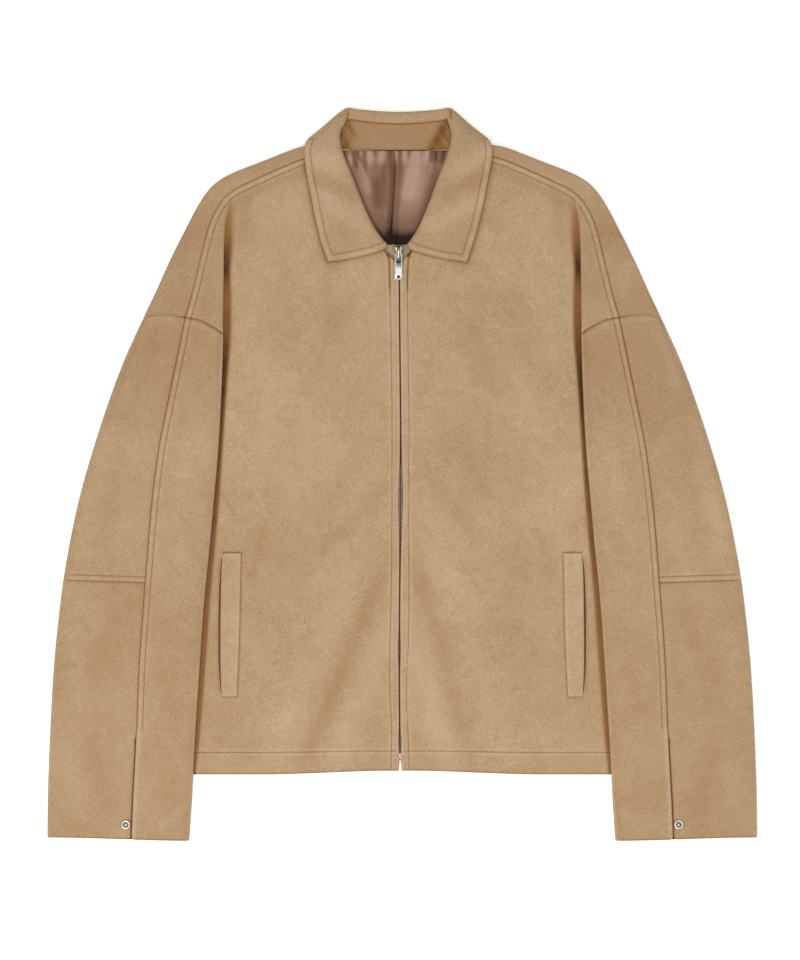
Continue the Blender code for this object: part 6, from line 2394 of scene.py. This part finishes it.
@dataclass
class Slider:
    """The zip's slider with its bail, and the pull tab that hangs on the bail.

    Attributes:
        y: where the slider stands.
        tab_y: the tab's axis.
        tab_z: its height.
        tab_tilt: how far the tab's lower end hangs, in degrees.
    """

    y: float = 242.0
    tab_y: float = 239.6
    tab_z: float = 9.4
    tab_tilt: float = 3.5
    tab_half: float = 4.6
    tab_length: float = 28.0
    tab_thick: float = 1.4

    plate = table("y half", (-10.6, 0.9), (-8, 1.5), (-5.6, 2.9), (-3, 4), (0, 3.7), (2.4, 3.9),
                  (4.2, 5.2), (5.2, 5.6), (5.9, 4.6))
    bail = table("y z half", (6, 6.9, 1.7), (5, 9.6, 1.75), (2.6, 11.7, 1.6), (-0.6, 12.3, 1.3),
                 (-4, 11.8, 1.15), (-7.4, 10.2, 1.05), (-9.6, 8.4, 0.95), (-10, 6.9, 0.9))

    def _bail(self) -> tuple[Array, Array]:
        """The bail: a bevelled bar bent over the tab's upper end.

        Returns:
            Vertices and faces.
        """
        knots = np.linspace(0, 1, len(self.bail["y"]))
        y, z, half = (smooth(knots, self.bail[k], np.linspace(0, 1, 25)) for k in ("y", "z", "half"))
        run = unit(np.gradient(np.stack([y, z], axis=1), axis=0))
        angle = np.linspace(0, 2 * math.pi, 8, endpoint=False) + math.pi / 8
        across, up = np.cos(angle) * 1.08, np.sin(angle) * 0.62
        points = np.stack([half[:, None] * across[None],
                           y[:, None] + run[:, 1:] * up[None], z[:, None] - run[:, :1] * up[None]], axis=-1)
        ids = np.arange(len(y) * 8).reshape(-1, 8)
        ahead = np.roll(ids, -1, axis=1)
        sides = np.stack([ids[:-1], ahead[:-1], ahead[1:], ids[1:]], axis=-1).reshape(-1, 4)
        caps = [[0, 3, 2, 1], [0, 7, 4, 3], [7, 6, 5, 4]]
        return points.reshape(-1, 3), np.concatenate([sides, caps, np.array(caps)[:, ::-1] + ids[-1, 0]])

    def _body(self, metal: Material) -> None:
        """Makes the slider: two plates with a post between them, two shoulders and the bail.

        Args:
            metal: its finish.
        """
        outline = np.concatenate([np.stack([self.plate["half"], self.plate["y"]], 1),
                                  np.stack([-self.plate["half"], self.plate["y"]], 1)[::-1]])
        parts = []
        for low, high, shape in ((1.95, 3.2, outline), (6.3, 7.7, outline),
                                 (3.2, 6.3, rounded_plan(1.5, -5.0, 5.0, 1.3))):
            levels = np.array([low, low + 0.3, high - 0.3, high])
            parts.append(rounded_box(shape, levels, np.array([0.3, 0, 0, 0.3])))
        knob = np.array([[0, 6.4], [0.9, 6.6], [1.25, 7.3], [1.15, 8.3], [0.7, 8.9], [0, 9.1]])
        for sign in (-1, 1):
            points, faces = lathe(knob, 16)
            parts.append((points + np.array([sign * 5.0, 4.4, 0.0]), faces))
        parts.append(self._bail())
        points = np.concatenate([p for p, _ in parts]) + np.array([float(LAY.zip_x(self.y)), self.y, 0.0])
        starts = np.cumsum([0] + [len(p) for p, _ in parts[:-1]])
        every = np.concatenate([f + s for (_, f), s in zip(parts, starts)])
        settle(make_object("slider_metal", points, every, metal), JACKET, ["zip_slider"])

    def _hung(self, points: Array) -> Array:
        """Points of the tab, turned down by its tilt and moved to its axis.

        Args:
            points: measured from the axis, with the tab lying level.

        Returns:
            The points in place.
        """
        tilt = math.radians(self.tab_tilt)
        y = points[:, 1] * math.cos(tilt) - points[:, 2] * math.sin(tilt)
        z = points[:, 1] * math.sin(tilt) + points[:, 2] * math.cos(tilt)
        return np.stack([points[:, 0] + float(LAY.zip_x(self.y)), y + self.tab_y, z + self.tab_z], axis=1)

    @staticmethod
    def _frame(inner: Array, outer: Array, low: float, high: float, ease_by: float) -> tuple[Array, Array]:
        """A plate between two outlines with as many points, closed and eased all round.

        Args:
            inner: outline of its hole.
            outer: its own outline.
            low: its underside.
            high: its upper side.
            ease_by: how far its edges are eased.

        Returns:
            Vertices and faces.
        """
        rings = []
        for outline, way in ((inner, -1.0), (outer, 1.0)):
            tangent = unit(np.roll(outline, -1, axis=0) - np.roll(outline, 1, axis=0))
            eased = outline - np.stack([tangent[:, 1], -tangent[:, 0]], axis=1) * way * ease_by
            pair = [(eased, low), (outline, low + ease_by), (outline, high - ease_by), (eased, high)]
            rings.append([np.column_stack([p, np.full(len(p), z)]) for p, z in pair])
        loop = rings[1] + rings[0][::-1]
        ids = np.arange(len(loop) * len(outer)).reshape(len(loop), len(outer))
        below = np.roll(ids, -1, axis=0)
        faces = np.stack([ids, np.roll(ids, -1, axis=1), np.roll(below, -1, axis=1), below], axis=-1)
        return np.concatenate(loop), faces.reshape(-1, 4)

    def _tab(self, metal: Material, dark: Material) -> None:
        """Makes the pull tab: a plate with a slot, a raised rim round it and an eye at its end.

        Args:
            metal: its finish.
            dark: the eye's finish.
        """
        half, low = self.tab_thick / 2, 0.8 - self.tab_length
        outer = rounded_plan(self.tab_half - 0.4, low, 0.8, 1.2, -0.6, 6)
        plate = rounded_plan(self.tab_half - 0.7, low + 0.3, 0.5, 1.0, -0.6, 6)
        inner = rounded_plan(self.tab_half - 1.6, low + 1.2, -0.4, 0.8, -0.6, 6)
        slot = rounded_plan(2.1, -9.6, -0.8, 0.9, cells=6)
        parts = [self._frame(slot, plate, 0.1 - half, half - 0.35, 0.15),
                 self._frame(inner, outer, -half, half, 0.2)]
        points = np.concatenate([p for p, _ in parts])
        faces = np.concatenate([parts[0][1], parts[1][1] + len(parts[0][0])])
        settle(make_object("pull_tab_plate", self._hung(points), faces, metal), TAB_BODY,
               ["pull_tab"])
        points, faces = lathe(np.array([[0, 0.2], [1.7, 0.2], [1.7, 0.42], [1.2, 0.5], [0, 0.5]]), 24)
        settle(make_object("pull_tab_eye", self._hung(points + np.array([0.0, -24.0, 0.0])), faces, dark),
               TAB_BODY)

    def build(self, metal: Material, bright: Material, dark: Material) -> None:
        """Makes the slider and its tab."""
        self._body(metal)
        self._tab(bright, dark)


@dataclass
class Snap:
    """A press stud beside a cuff's vent."""

    side: Side
    h: float = 293.5
    y: float = -365.7

    def build(self, metal: Material, dark: Material) -> None:
        """Makes the stud's ring and domed middle, and the dark groove between them.

        Args:
            metal: the ring's and the stud's finish.
            dark: the groove's finish.
        """
        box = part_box(self.side.named("snap"))
        base = box[0][2] / MM
        centre = np.array([self.side.value * self.h, self.y, base])
        ring = np.array([[2.9, 0.0], [5.3, 0.0], [5.35, 0.45], [5.1, 0.95], [4.6, 1.3], [4.0, 1.42],
                         [3.4, 1.35], [3.0, 1.1], [2.75, 0.7]])
        angle = np.linspace(0, 2 * math.pi, 48, endpoint=False)
        points = np.stack([ring[:, :1] * np.cos(angle), ring[:, :1] * np.sin(angle),
                           np.broadcast_to(ring[:, 1:], (len(ring), 48))], axis=-1)
        ids = np.arange(points.shape[0] * 48).reshape(-1, 48)
        above = np.roll(ids, -1, axis=0)
        faces = np.stack([ids, np.roll(ids, -1, 1), np.roll(above, -1, 1), above], axis=-1).reshape(-1, 4)
        settle(make_object(self.side.named("snap_ring"), points.reshape(-1, 3) + centre, faces, metal),
               JACKET, [self.side.named("snap")])
        floor, floor_faces = lathe(np.array([[0, 0.05], [3.3, 0.05], [3.3, 0.55], [0, 0.6]]), 32)
        settle(make_object(self.side.named("snap_well"), floor + centre, floor_faces, dark), JACKET)
        stud, stud_faces = lathe(np.array([[0, 0.5], [1.55, 0.5], [1.6, 1.1], [1.35, 1.5], [0.8, 1.75],
                                           [0, 1.85]]), 32)
        settle(make_object(self.side.named("snap_stud"), stud + centre, stud_faces, metal), JACKET)


# ---- finishes -------------------------------------------------------------------------------

Number = Union[float, "Wire"]


class Wire:
    """A shader socket that carries a number; arithmetic on it adds Math nodes."""

    def __init__(self, tree: "Tree", socket: bpy.types.NodeSocket) -> None:
        """Wraps a socket of a tree."""
        self.tree = tree
        self.socket = socket

    def _do(self, operation: str, first: Number, second: Number) -> "Wire":
        """Adds one Math node."""
        node = self.tree.add("ShaderNodeMath", {"operation": operation}, {0: first, 1: second})
        return Wire(self.tree, node.outputs[0])

    def __add__(self, other: Number) -> "Wire":
        """Sum."""
        return self._do("ADD", self, other)

    def __radd__(self, other: Number) -> "Wire":
        """Sum, the other way round."""
        return self._do("ADD", other, self)

    def __sub__(self, other: Number) -> "Wire":
        """Difference."""
        return self._do("SUBTRACT", self, other)

    def __rsub__(self, other: Number) -> "Wire":
        """Difference, the other way round."""
        return self._do("SUBTRACT", other, self)

    def __mul__(self, other: Number) -> "Wire":
        """Product."""
        return self._do("MULTIPLY", self, other)

    def __rmul__(self, other: Number) -> "Wire":
        """Product, the other way round."""
        return self._do("MULTIPLY", other, self)

    def held(self, low: float, high: float) -> "Wire":
        """The number, held between two limits."""
        return self._do("MINIMUM", self._do("MAXIMUM", self, low), high)


class Tree:
    """A material's node tree, with one method for every kind of node."""

    def __init__(self, name: str) -> None:
        """Starts a material with a Principled shader.

        Args:
            name: the material's name.
        """
        self.material = bpy.data.materials.new(name)
        self.material.use_nodes = True
        self.nodes = self.material.node_tree.nodes
        self.links = self.material.node_tree.links
        self.shader = self.nodes["Principled BSDF"]

    def put(self, socket: bpy.types.NodeSocket, value: Any) -> None:
        """Links a wire or a socket to an input, or sets its value.

        Args:
            socket: the input.
            value: a wire, a socket or a plain value.
        """
        if isinstance(value, Wire):
            value = value.socket
        if isinstance(value, bpy.types.NodeSocket):
            self.links.new(value, socket)
        else:
            socket.default_value = value

    def add(self, kind: str, settings: Optional[dict[str, Any]] = None,
            inputs: Optional[dict[Any, Any]] = None) -> bpy.types.Node:
        """Adds a node.

        Args:
            kind: its type.
            settings: its own settings, set first.
            inputs: values or links of its sockets, by name or number.

        Returns:
            The node.
        """
        node = self.nodes.new(kind)
        for key, value in (settings or {}).items():
            setattr(node, key, value)
        for key, value in (inputs or {}).items():
            self.put(node.inputs[key], value)
        return node

    def noise(self, per_metre: float, detail: float, rough: float = 0.55, warp: float = 0.0,
              stretch: tuple[float, float, float] = (1.0, 1.0, 1.0)) -> Wire:
        """Noise on the object's own coordinates, from 0 to 1.

        Args:
            per_metre: how many blots there are in a metre.
            detail: octaves of finer noise.
            rough: their strength.
            warp: how much the noise is distorted.
            stretch: scale of each axis.

        Returns:
            Numbers from 0 to 1.
        """
        where = self.add("ShaderNodeTexCoord").outputs["Object"]
        if stretch != (1.0, 1.0, 1.0):
            where = self.add("ShaderNodeMapping", None, {"Vector": where, "Scale": stretch}).outputs[0]
        node = self.add("ShaderNodeTexNoise", None, {"Vector": where, "Scale": per_metre, "Detail": detail,
                                                     "Roughness": rough, "Distortion": warp})
        return Wire(self, node.outputs["Fac"])

    def attribute(self, name: str) -> Wire:
        """A number that the mesh carries at each vertex."""
        return Wire(self, self.add("ShaderNodeAttribute", {"attribute_name": name}).outputs["Fac"])

    def blend(self, share: Number, first: Any, second: Any) -> bpy.types.NodeSocket:
        """A colour between two others."""
        node = self.add("ShaderNodeMix", {"data_type": "RGBA"}, {0: share, 6: first, 7: second})
        return node.outputs[2]

    def bump(self, height: Wire, strength: float, distance: float) -> bpy.types.NodeSocket:
        """A normal bent by a height.

        Args:
            height: what raises it.
            strength: how strong it is, from 0 to 1.
            distance: how high it stands, in metres.

        Returns:
            Its socket.
        """
        sockets = {"Height": height, "Strength": strength, "Distance": distance}
        node = self.add("ShaderNodeBump", None, sockets)
        return node.outputs[0]

    def finish(self, **sockets: Any) -> Material:
        """Fills the shader's sockets; an underscore in a name stands for a space.

        Args:
            sockets: a value or a link for each.

        Returns:
            The material.
        """
        for key, value in sockets.items():
            self.put(self.shader.inputs[key.replace("_", " ")], value)
        return self.material


Colour = tuple[float, float, float, float]


@dataclass(frozen=True)
class Suede:
    """Brushed suede: a fine nap and soft light and dark drifts, with painted shade and painted highlight."""

    name: str = "suede"
    light: Colour = (0.535, 0.378, 0.238, 1)
    deep: Colour = (0.360, 0.226, 0.108, 1)
    # the next three colours are painted light: a highlight, a shade and a deep shade
    rubbed: Colour = (0.600, 0.440, 0.300, 1)
    shaded: Colour = (0.270, 0.130, 0.042, 1)
    pressed: Colour = (0.055, 0.018, 0.003, 1)

    def make(self) -> Material:
        """Builds the material.

        Broad and small drifts, a cross-hatch of two stretched noises and a fine grain share out
        the light and the deep colour. The wear_and_painted_light attribute brings in the painted
        highlight colour below 0, the shaded colour up to a half and the painted deep shade beyond.
        The same noises raise the bump.

        Returns:
            The material.
        """
        tree = Tree(self.name)
        broad = tree.noise(9, 4, 0.55, 0.5)
        drift = tree.noise(60, 5, 0.65, 0.9)
        warp = tree.noise(760, 3, 0.6, stretch=(1.0, 0.4, 1.0))
        weft = tree.noise(760, 3, 0.6, stretch=(0.4, 1.0, 1.0))
        grain = tree.noise(720, 4, 0.8)
        share = (0.5 + (broad - 0.5) * 0.9 + (drift - 0.5) * 0.9 + (warp - 0.5) * 0.8
                 + (weft - 0.5) * 0.8 + (grain - 0.5) * 2.6).held(0, 1)
        wear_and_painted_light = tree.attribute("wear_and_painted_light") * (0.8 + drift * 0.4)
        colour = tree.blend((wear_and_painted_light * -2).held(0, 1), tree.blend(share, self.deep, self.light), self.rubbed)
        colour = tree.blend((wear_and_painted_light * 2).held(0, 1), colour, self.shaded)
        colour = tree.blend((wear_and_painted_light * 2 - 1).held(0, 1), colour, self.pressed)
        height = grain * 0.8 + warp * 0.5 + weft * 0.5 + drift * 0.9
        return tree.finish(Base_Color=colour, Roughness=0.93, Sheen_Weight=0.25, Sheen_Roughness=0.5,
                           Sheen_Tint=(1.0, 0.88, 0.76, 1), Specular_IOR_Level=0.15,
                           Normal=tree.bump(height, 0.5, 0.0007))


@dataclass(frozen=True)
class Satin:
    """Lining satin with a close diagonal weave."""

    name: str = "lining"
    light: Colour = (0.255, 0.136, 0.086, 1)
    deep: Colour = (0.172, 0.084, 0.050, 1)
    # lit is a painted highlight colour and dim a painted shade colour; the attribute brings them in
    lit: Colour = (0.420, 0.268, 0.200, 1)
    dim: Colour = (0.014, 0.006, 0.003, 1)

    def make(self) -> Material:
        """Builds the material.

        Returns:
            The material.
        """
        tree = Tree(self.name)
        weave = tree.noise(2400, 2, 0.5, stretch=(1.0, 0.25, 1.0))
        slow = tree.noise(40, 3, 0.5)
        share = (0.6 + (slow - 0.5) * 0.7 + (weave - 0.5) * 0.35).held(0, 1)
        wear_and_painted_light = tree.attribute("wear_and_painted_light")
        colour = tree.blend((wear_and_painted_light * -2).held(0, 1), tree.blend(share, self.deep, self.light), self.lit)
        colour = tree.blend((wear_and_painted_light * 0.9).held(0, 1), colour, self.dim)
        return tree.finish(Base_Color=colour, Roughness=(0.48 + weave * 0.14), Specular_IOR_Level=0.1,
                           Normal=tree.bump(weave, 0.2, 0.0002))


@dataclass(frozen=True)
class Woven:
    """The zip tape's plain weave."""

    name: str = "zip_tape"
    light: Colour = (0.085, 0.05, 0.027, 1)
    deep: Colour = (0.045, 0.026, 0.014, 1)

    def make(self) -> Material:
        """Builds the material: two crossed rows of thread as fine waves.

        Returns:
            The material.
        """
        tree = Tree(self.name)
        where = tree.add("ShaderNodeTexCoord").outputs["Object"]
        waves = [Wire(tree, tree.add("ShaderNodeTexWave", {"bands_direction": axis}, {
            "Vector": where, "Scale": 420.0, "Distortion": 0.6, "Detail": 1.0}).outputs["Fac"])
            for axis in ("X", "Y")]
        height = waves[0] * 0.5 + waves[1] * 0.5
        colour = tree.blend(height, self.deep, self.light)
        return tree.finish(Base_Color=colour, Roughness=0.85, Normal=tree.bump(height, 0.4, 0.0003))


@dataclass(frozen=True)
class Thread:
    """Sewing thread, a shade darker than the suede, with a fine twist."""

    name: str = "thread"
    light: Colour = (0.105, 0.052, 0.020, 1)
    deep: Colour = (0.055, 0.026, 0.010, 1)

    def make(self) -> Material:
        """Builds the material.

        Returns:
            The material.
        """
        tree = Tree(self.name)
        twist = tree.noise(2600, 2, 0.5)
        colour = tree.blend(twist, self.deep, self.light)
        return tree.finish(Base_Color=colour, Roughness=0.7, Sheen_Weight=0.2,
                           Normal=tree.bump(twist, 0.3, 0.0002))


@dataclass(frozen=True)
class Plated:
    """Plated metal with fine scuffs."""

    name: str
    light: Colour = (0.78, 0.77, 0.75, 1)
    deep: Colour = (0.52, 0.51, 0.50, 1)
    rough: float = 0.22

    def make(self) -> Material:
        """Builds the material: scuffs change its colour and roughness a little.

        Returns:
            The material.
        """
        tree = Tree(self.name)
        scuff = tree.noise(700, 4, 0.7, stretch=(1.0, 0.3, 1.0))
        dirt = tree.noise(160, 3, 0.6)
        colour = tree.blend((dirt * 0.7 + scuff * 0.3).held(0, 1), self.deep, self.light)
        return tree.finish(Base_Color=colour, Metallic=1.0, Roughness=self.rough + scuff * 0.16,
                           Normal=tree.bump(scuff, 0.12, 0.0001))


# ---- studio ---------------------------------------------------------------------------------

@dataclass
class Studio:
    """Floor, lights and camera.

    Attributes:
        camera_height: of the camera above the floor, in metres.
        frame_height: length that the frame's long side takes in at the garment, in metres.
        centre: plan point under the camera, in metres.
    """

    camera_height: float = 3.0
    frame_height: float = 1.0176
    centre: tuple[float, float] = (-0.0024, 0.0)

    def _camera(self) -> None:
        """Makes the camera, which looks straight down."""
        data = bpy.data.cameras.new("camera")
        data.sensor_width = 36.0
        data.lens = data.sensor_width * (self.camera_height - 0.010) / self.frame_height
        camera = bpy.data.objects.new("camera", data)
        camera.location = (*self.centre, self.camera_height)
        bpy.context.scene.collection.objects.link(camera)
        bpy.context.scene.camera = camera

    def _floor(self) -> None:
        """Makes the plain pale floor."""
        half = 4.0
        corners = np.array([[-half, -half, 0], [half, -half, 0], [half, half, 0], [-half, half, 0]]) / MM
        tree = Tree("floor")
        finish = tree.finish(Base_Color=(0.97, 0.97, 0.97, 1), Roughness=1.0, Specular_IOR_Level=0.0,
                             Emission_Color=(1.0, 1.0, 1.0, 1), Emission_Strength=0.22)
        floor = make_object("floor", corners, np.array([[0, 1, 2, 3]]), finish)

    def _light(self, name: str, place: tuple[float, float, float], size: float, watts: float) -> None:
        """Makes a square area light that points at the jacket's middle.

        Args:
            name: its name.
            place: where it stands, in metres.
            size: of its side, in metres.
            watts: its power.
        """
        data = bpy.data.lights.new(name, "AREA")
        data.size = size
        data.energy = watts
        light = bpy.data.objects.new(name, data)
        light.location = place
        aim = Vector((0.0, 0.0, 0.0)) - Vector(place)
        light.rotation_euler = aim.to_track_quat("-Z", "Y").to_euler()
        bpy.context.scene.collection.objects.link(light)

    def build(self) -> None:
        """Sets the whole studio up."""
        self._camera()
        self._floor()
        self._light("key", (-0.6, -1.5, 2.5), 1.1, 42.0)
        self._light("top", (0.2, 0.3, 3.4), 2.2, 53.0)
        world = bpy.data.worlds.new("studio")
        world.use_nodes = True
        background = world.node_tree.nodes["Background"]
        background.inputs["Color"].default_value = (1.0, 0.99, 0.975, 1)
        background.inputs["Strength"].default_value = 0.32
        bpy.context.scene.world = world
        bpy.context.scene.view_settings.view_transform = "Standard"


def main() -> None:
    """Builds the jacket piece by piece, then the studio."""
    logging.basicConfig(level=logging.INFO, format="%(name)s %(message)s")
    suede, thread = Suede().make(), Thread().make()
    metal = Plated("slider_metal", (0.62, 0.58, 0.50, 1), (0.36, 0.33, 0.28, 1), 0.3).make()
    bright = Plated("tab_metal", (0.40, 0.39, 0.37, 1), (0.30, 0.29, 0.28, 1), 0.3).make()
    # the teeth are near black: painted shade in the narrow gap between the fronts
    teeth = Plated("zip_teeth", (0.06, 0.038, 0.022, 1), (0.016, 0.009, 0.005, 1), 0.5).make()
    snap_metal = Plated("snap_metal", (0.62, 0.57, 0.50, 1), (0.45, 0.41, 0.35, 1), 0.35).make()
    dark = Plated("snap_dark", (0.42, 0.39, 0.35, 1), (0.26, 0.24, 0.21, 1), 0.45).make()
    Back().build(suede)
    for side in Side:
        Front(side).build(suede, thread)
        Sleeve(side).build(suede, thread)
        Welt(side).build(suede, thread)
        Snap(side).build(snap_metal, dark)
    Collar().build(suede, thread)
    Lining().build(Satin().make())
    # a lighter finish on the tooth tops as their painted highlight
    crowns = Plated("zip_crowns", (0.60, 0.49, 0.39, 1), (0.36, 0.28, 0.21, 1), 0.4).make()
    Zip().build(Woven().make(), teeth, crowns, metal)
    eye = Plated("tab_eye", (0.05, 0.04, 0.035, 1), (0.02, 0.016, 0.014, 1), 0.6).make()
    Slider().build(metal, bright, eye)
    Studio().build()


if __name__ == "__main__":
    main()
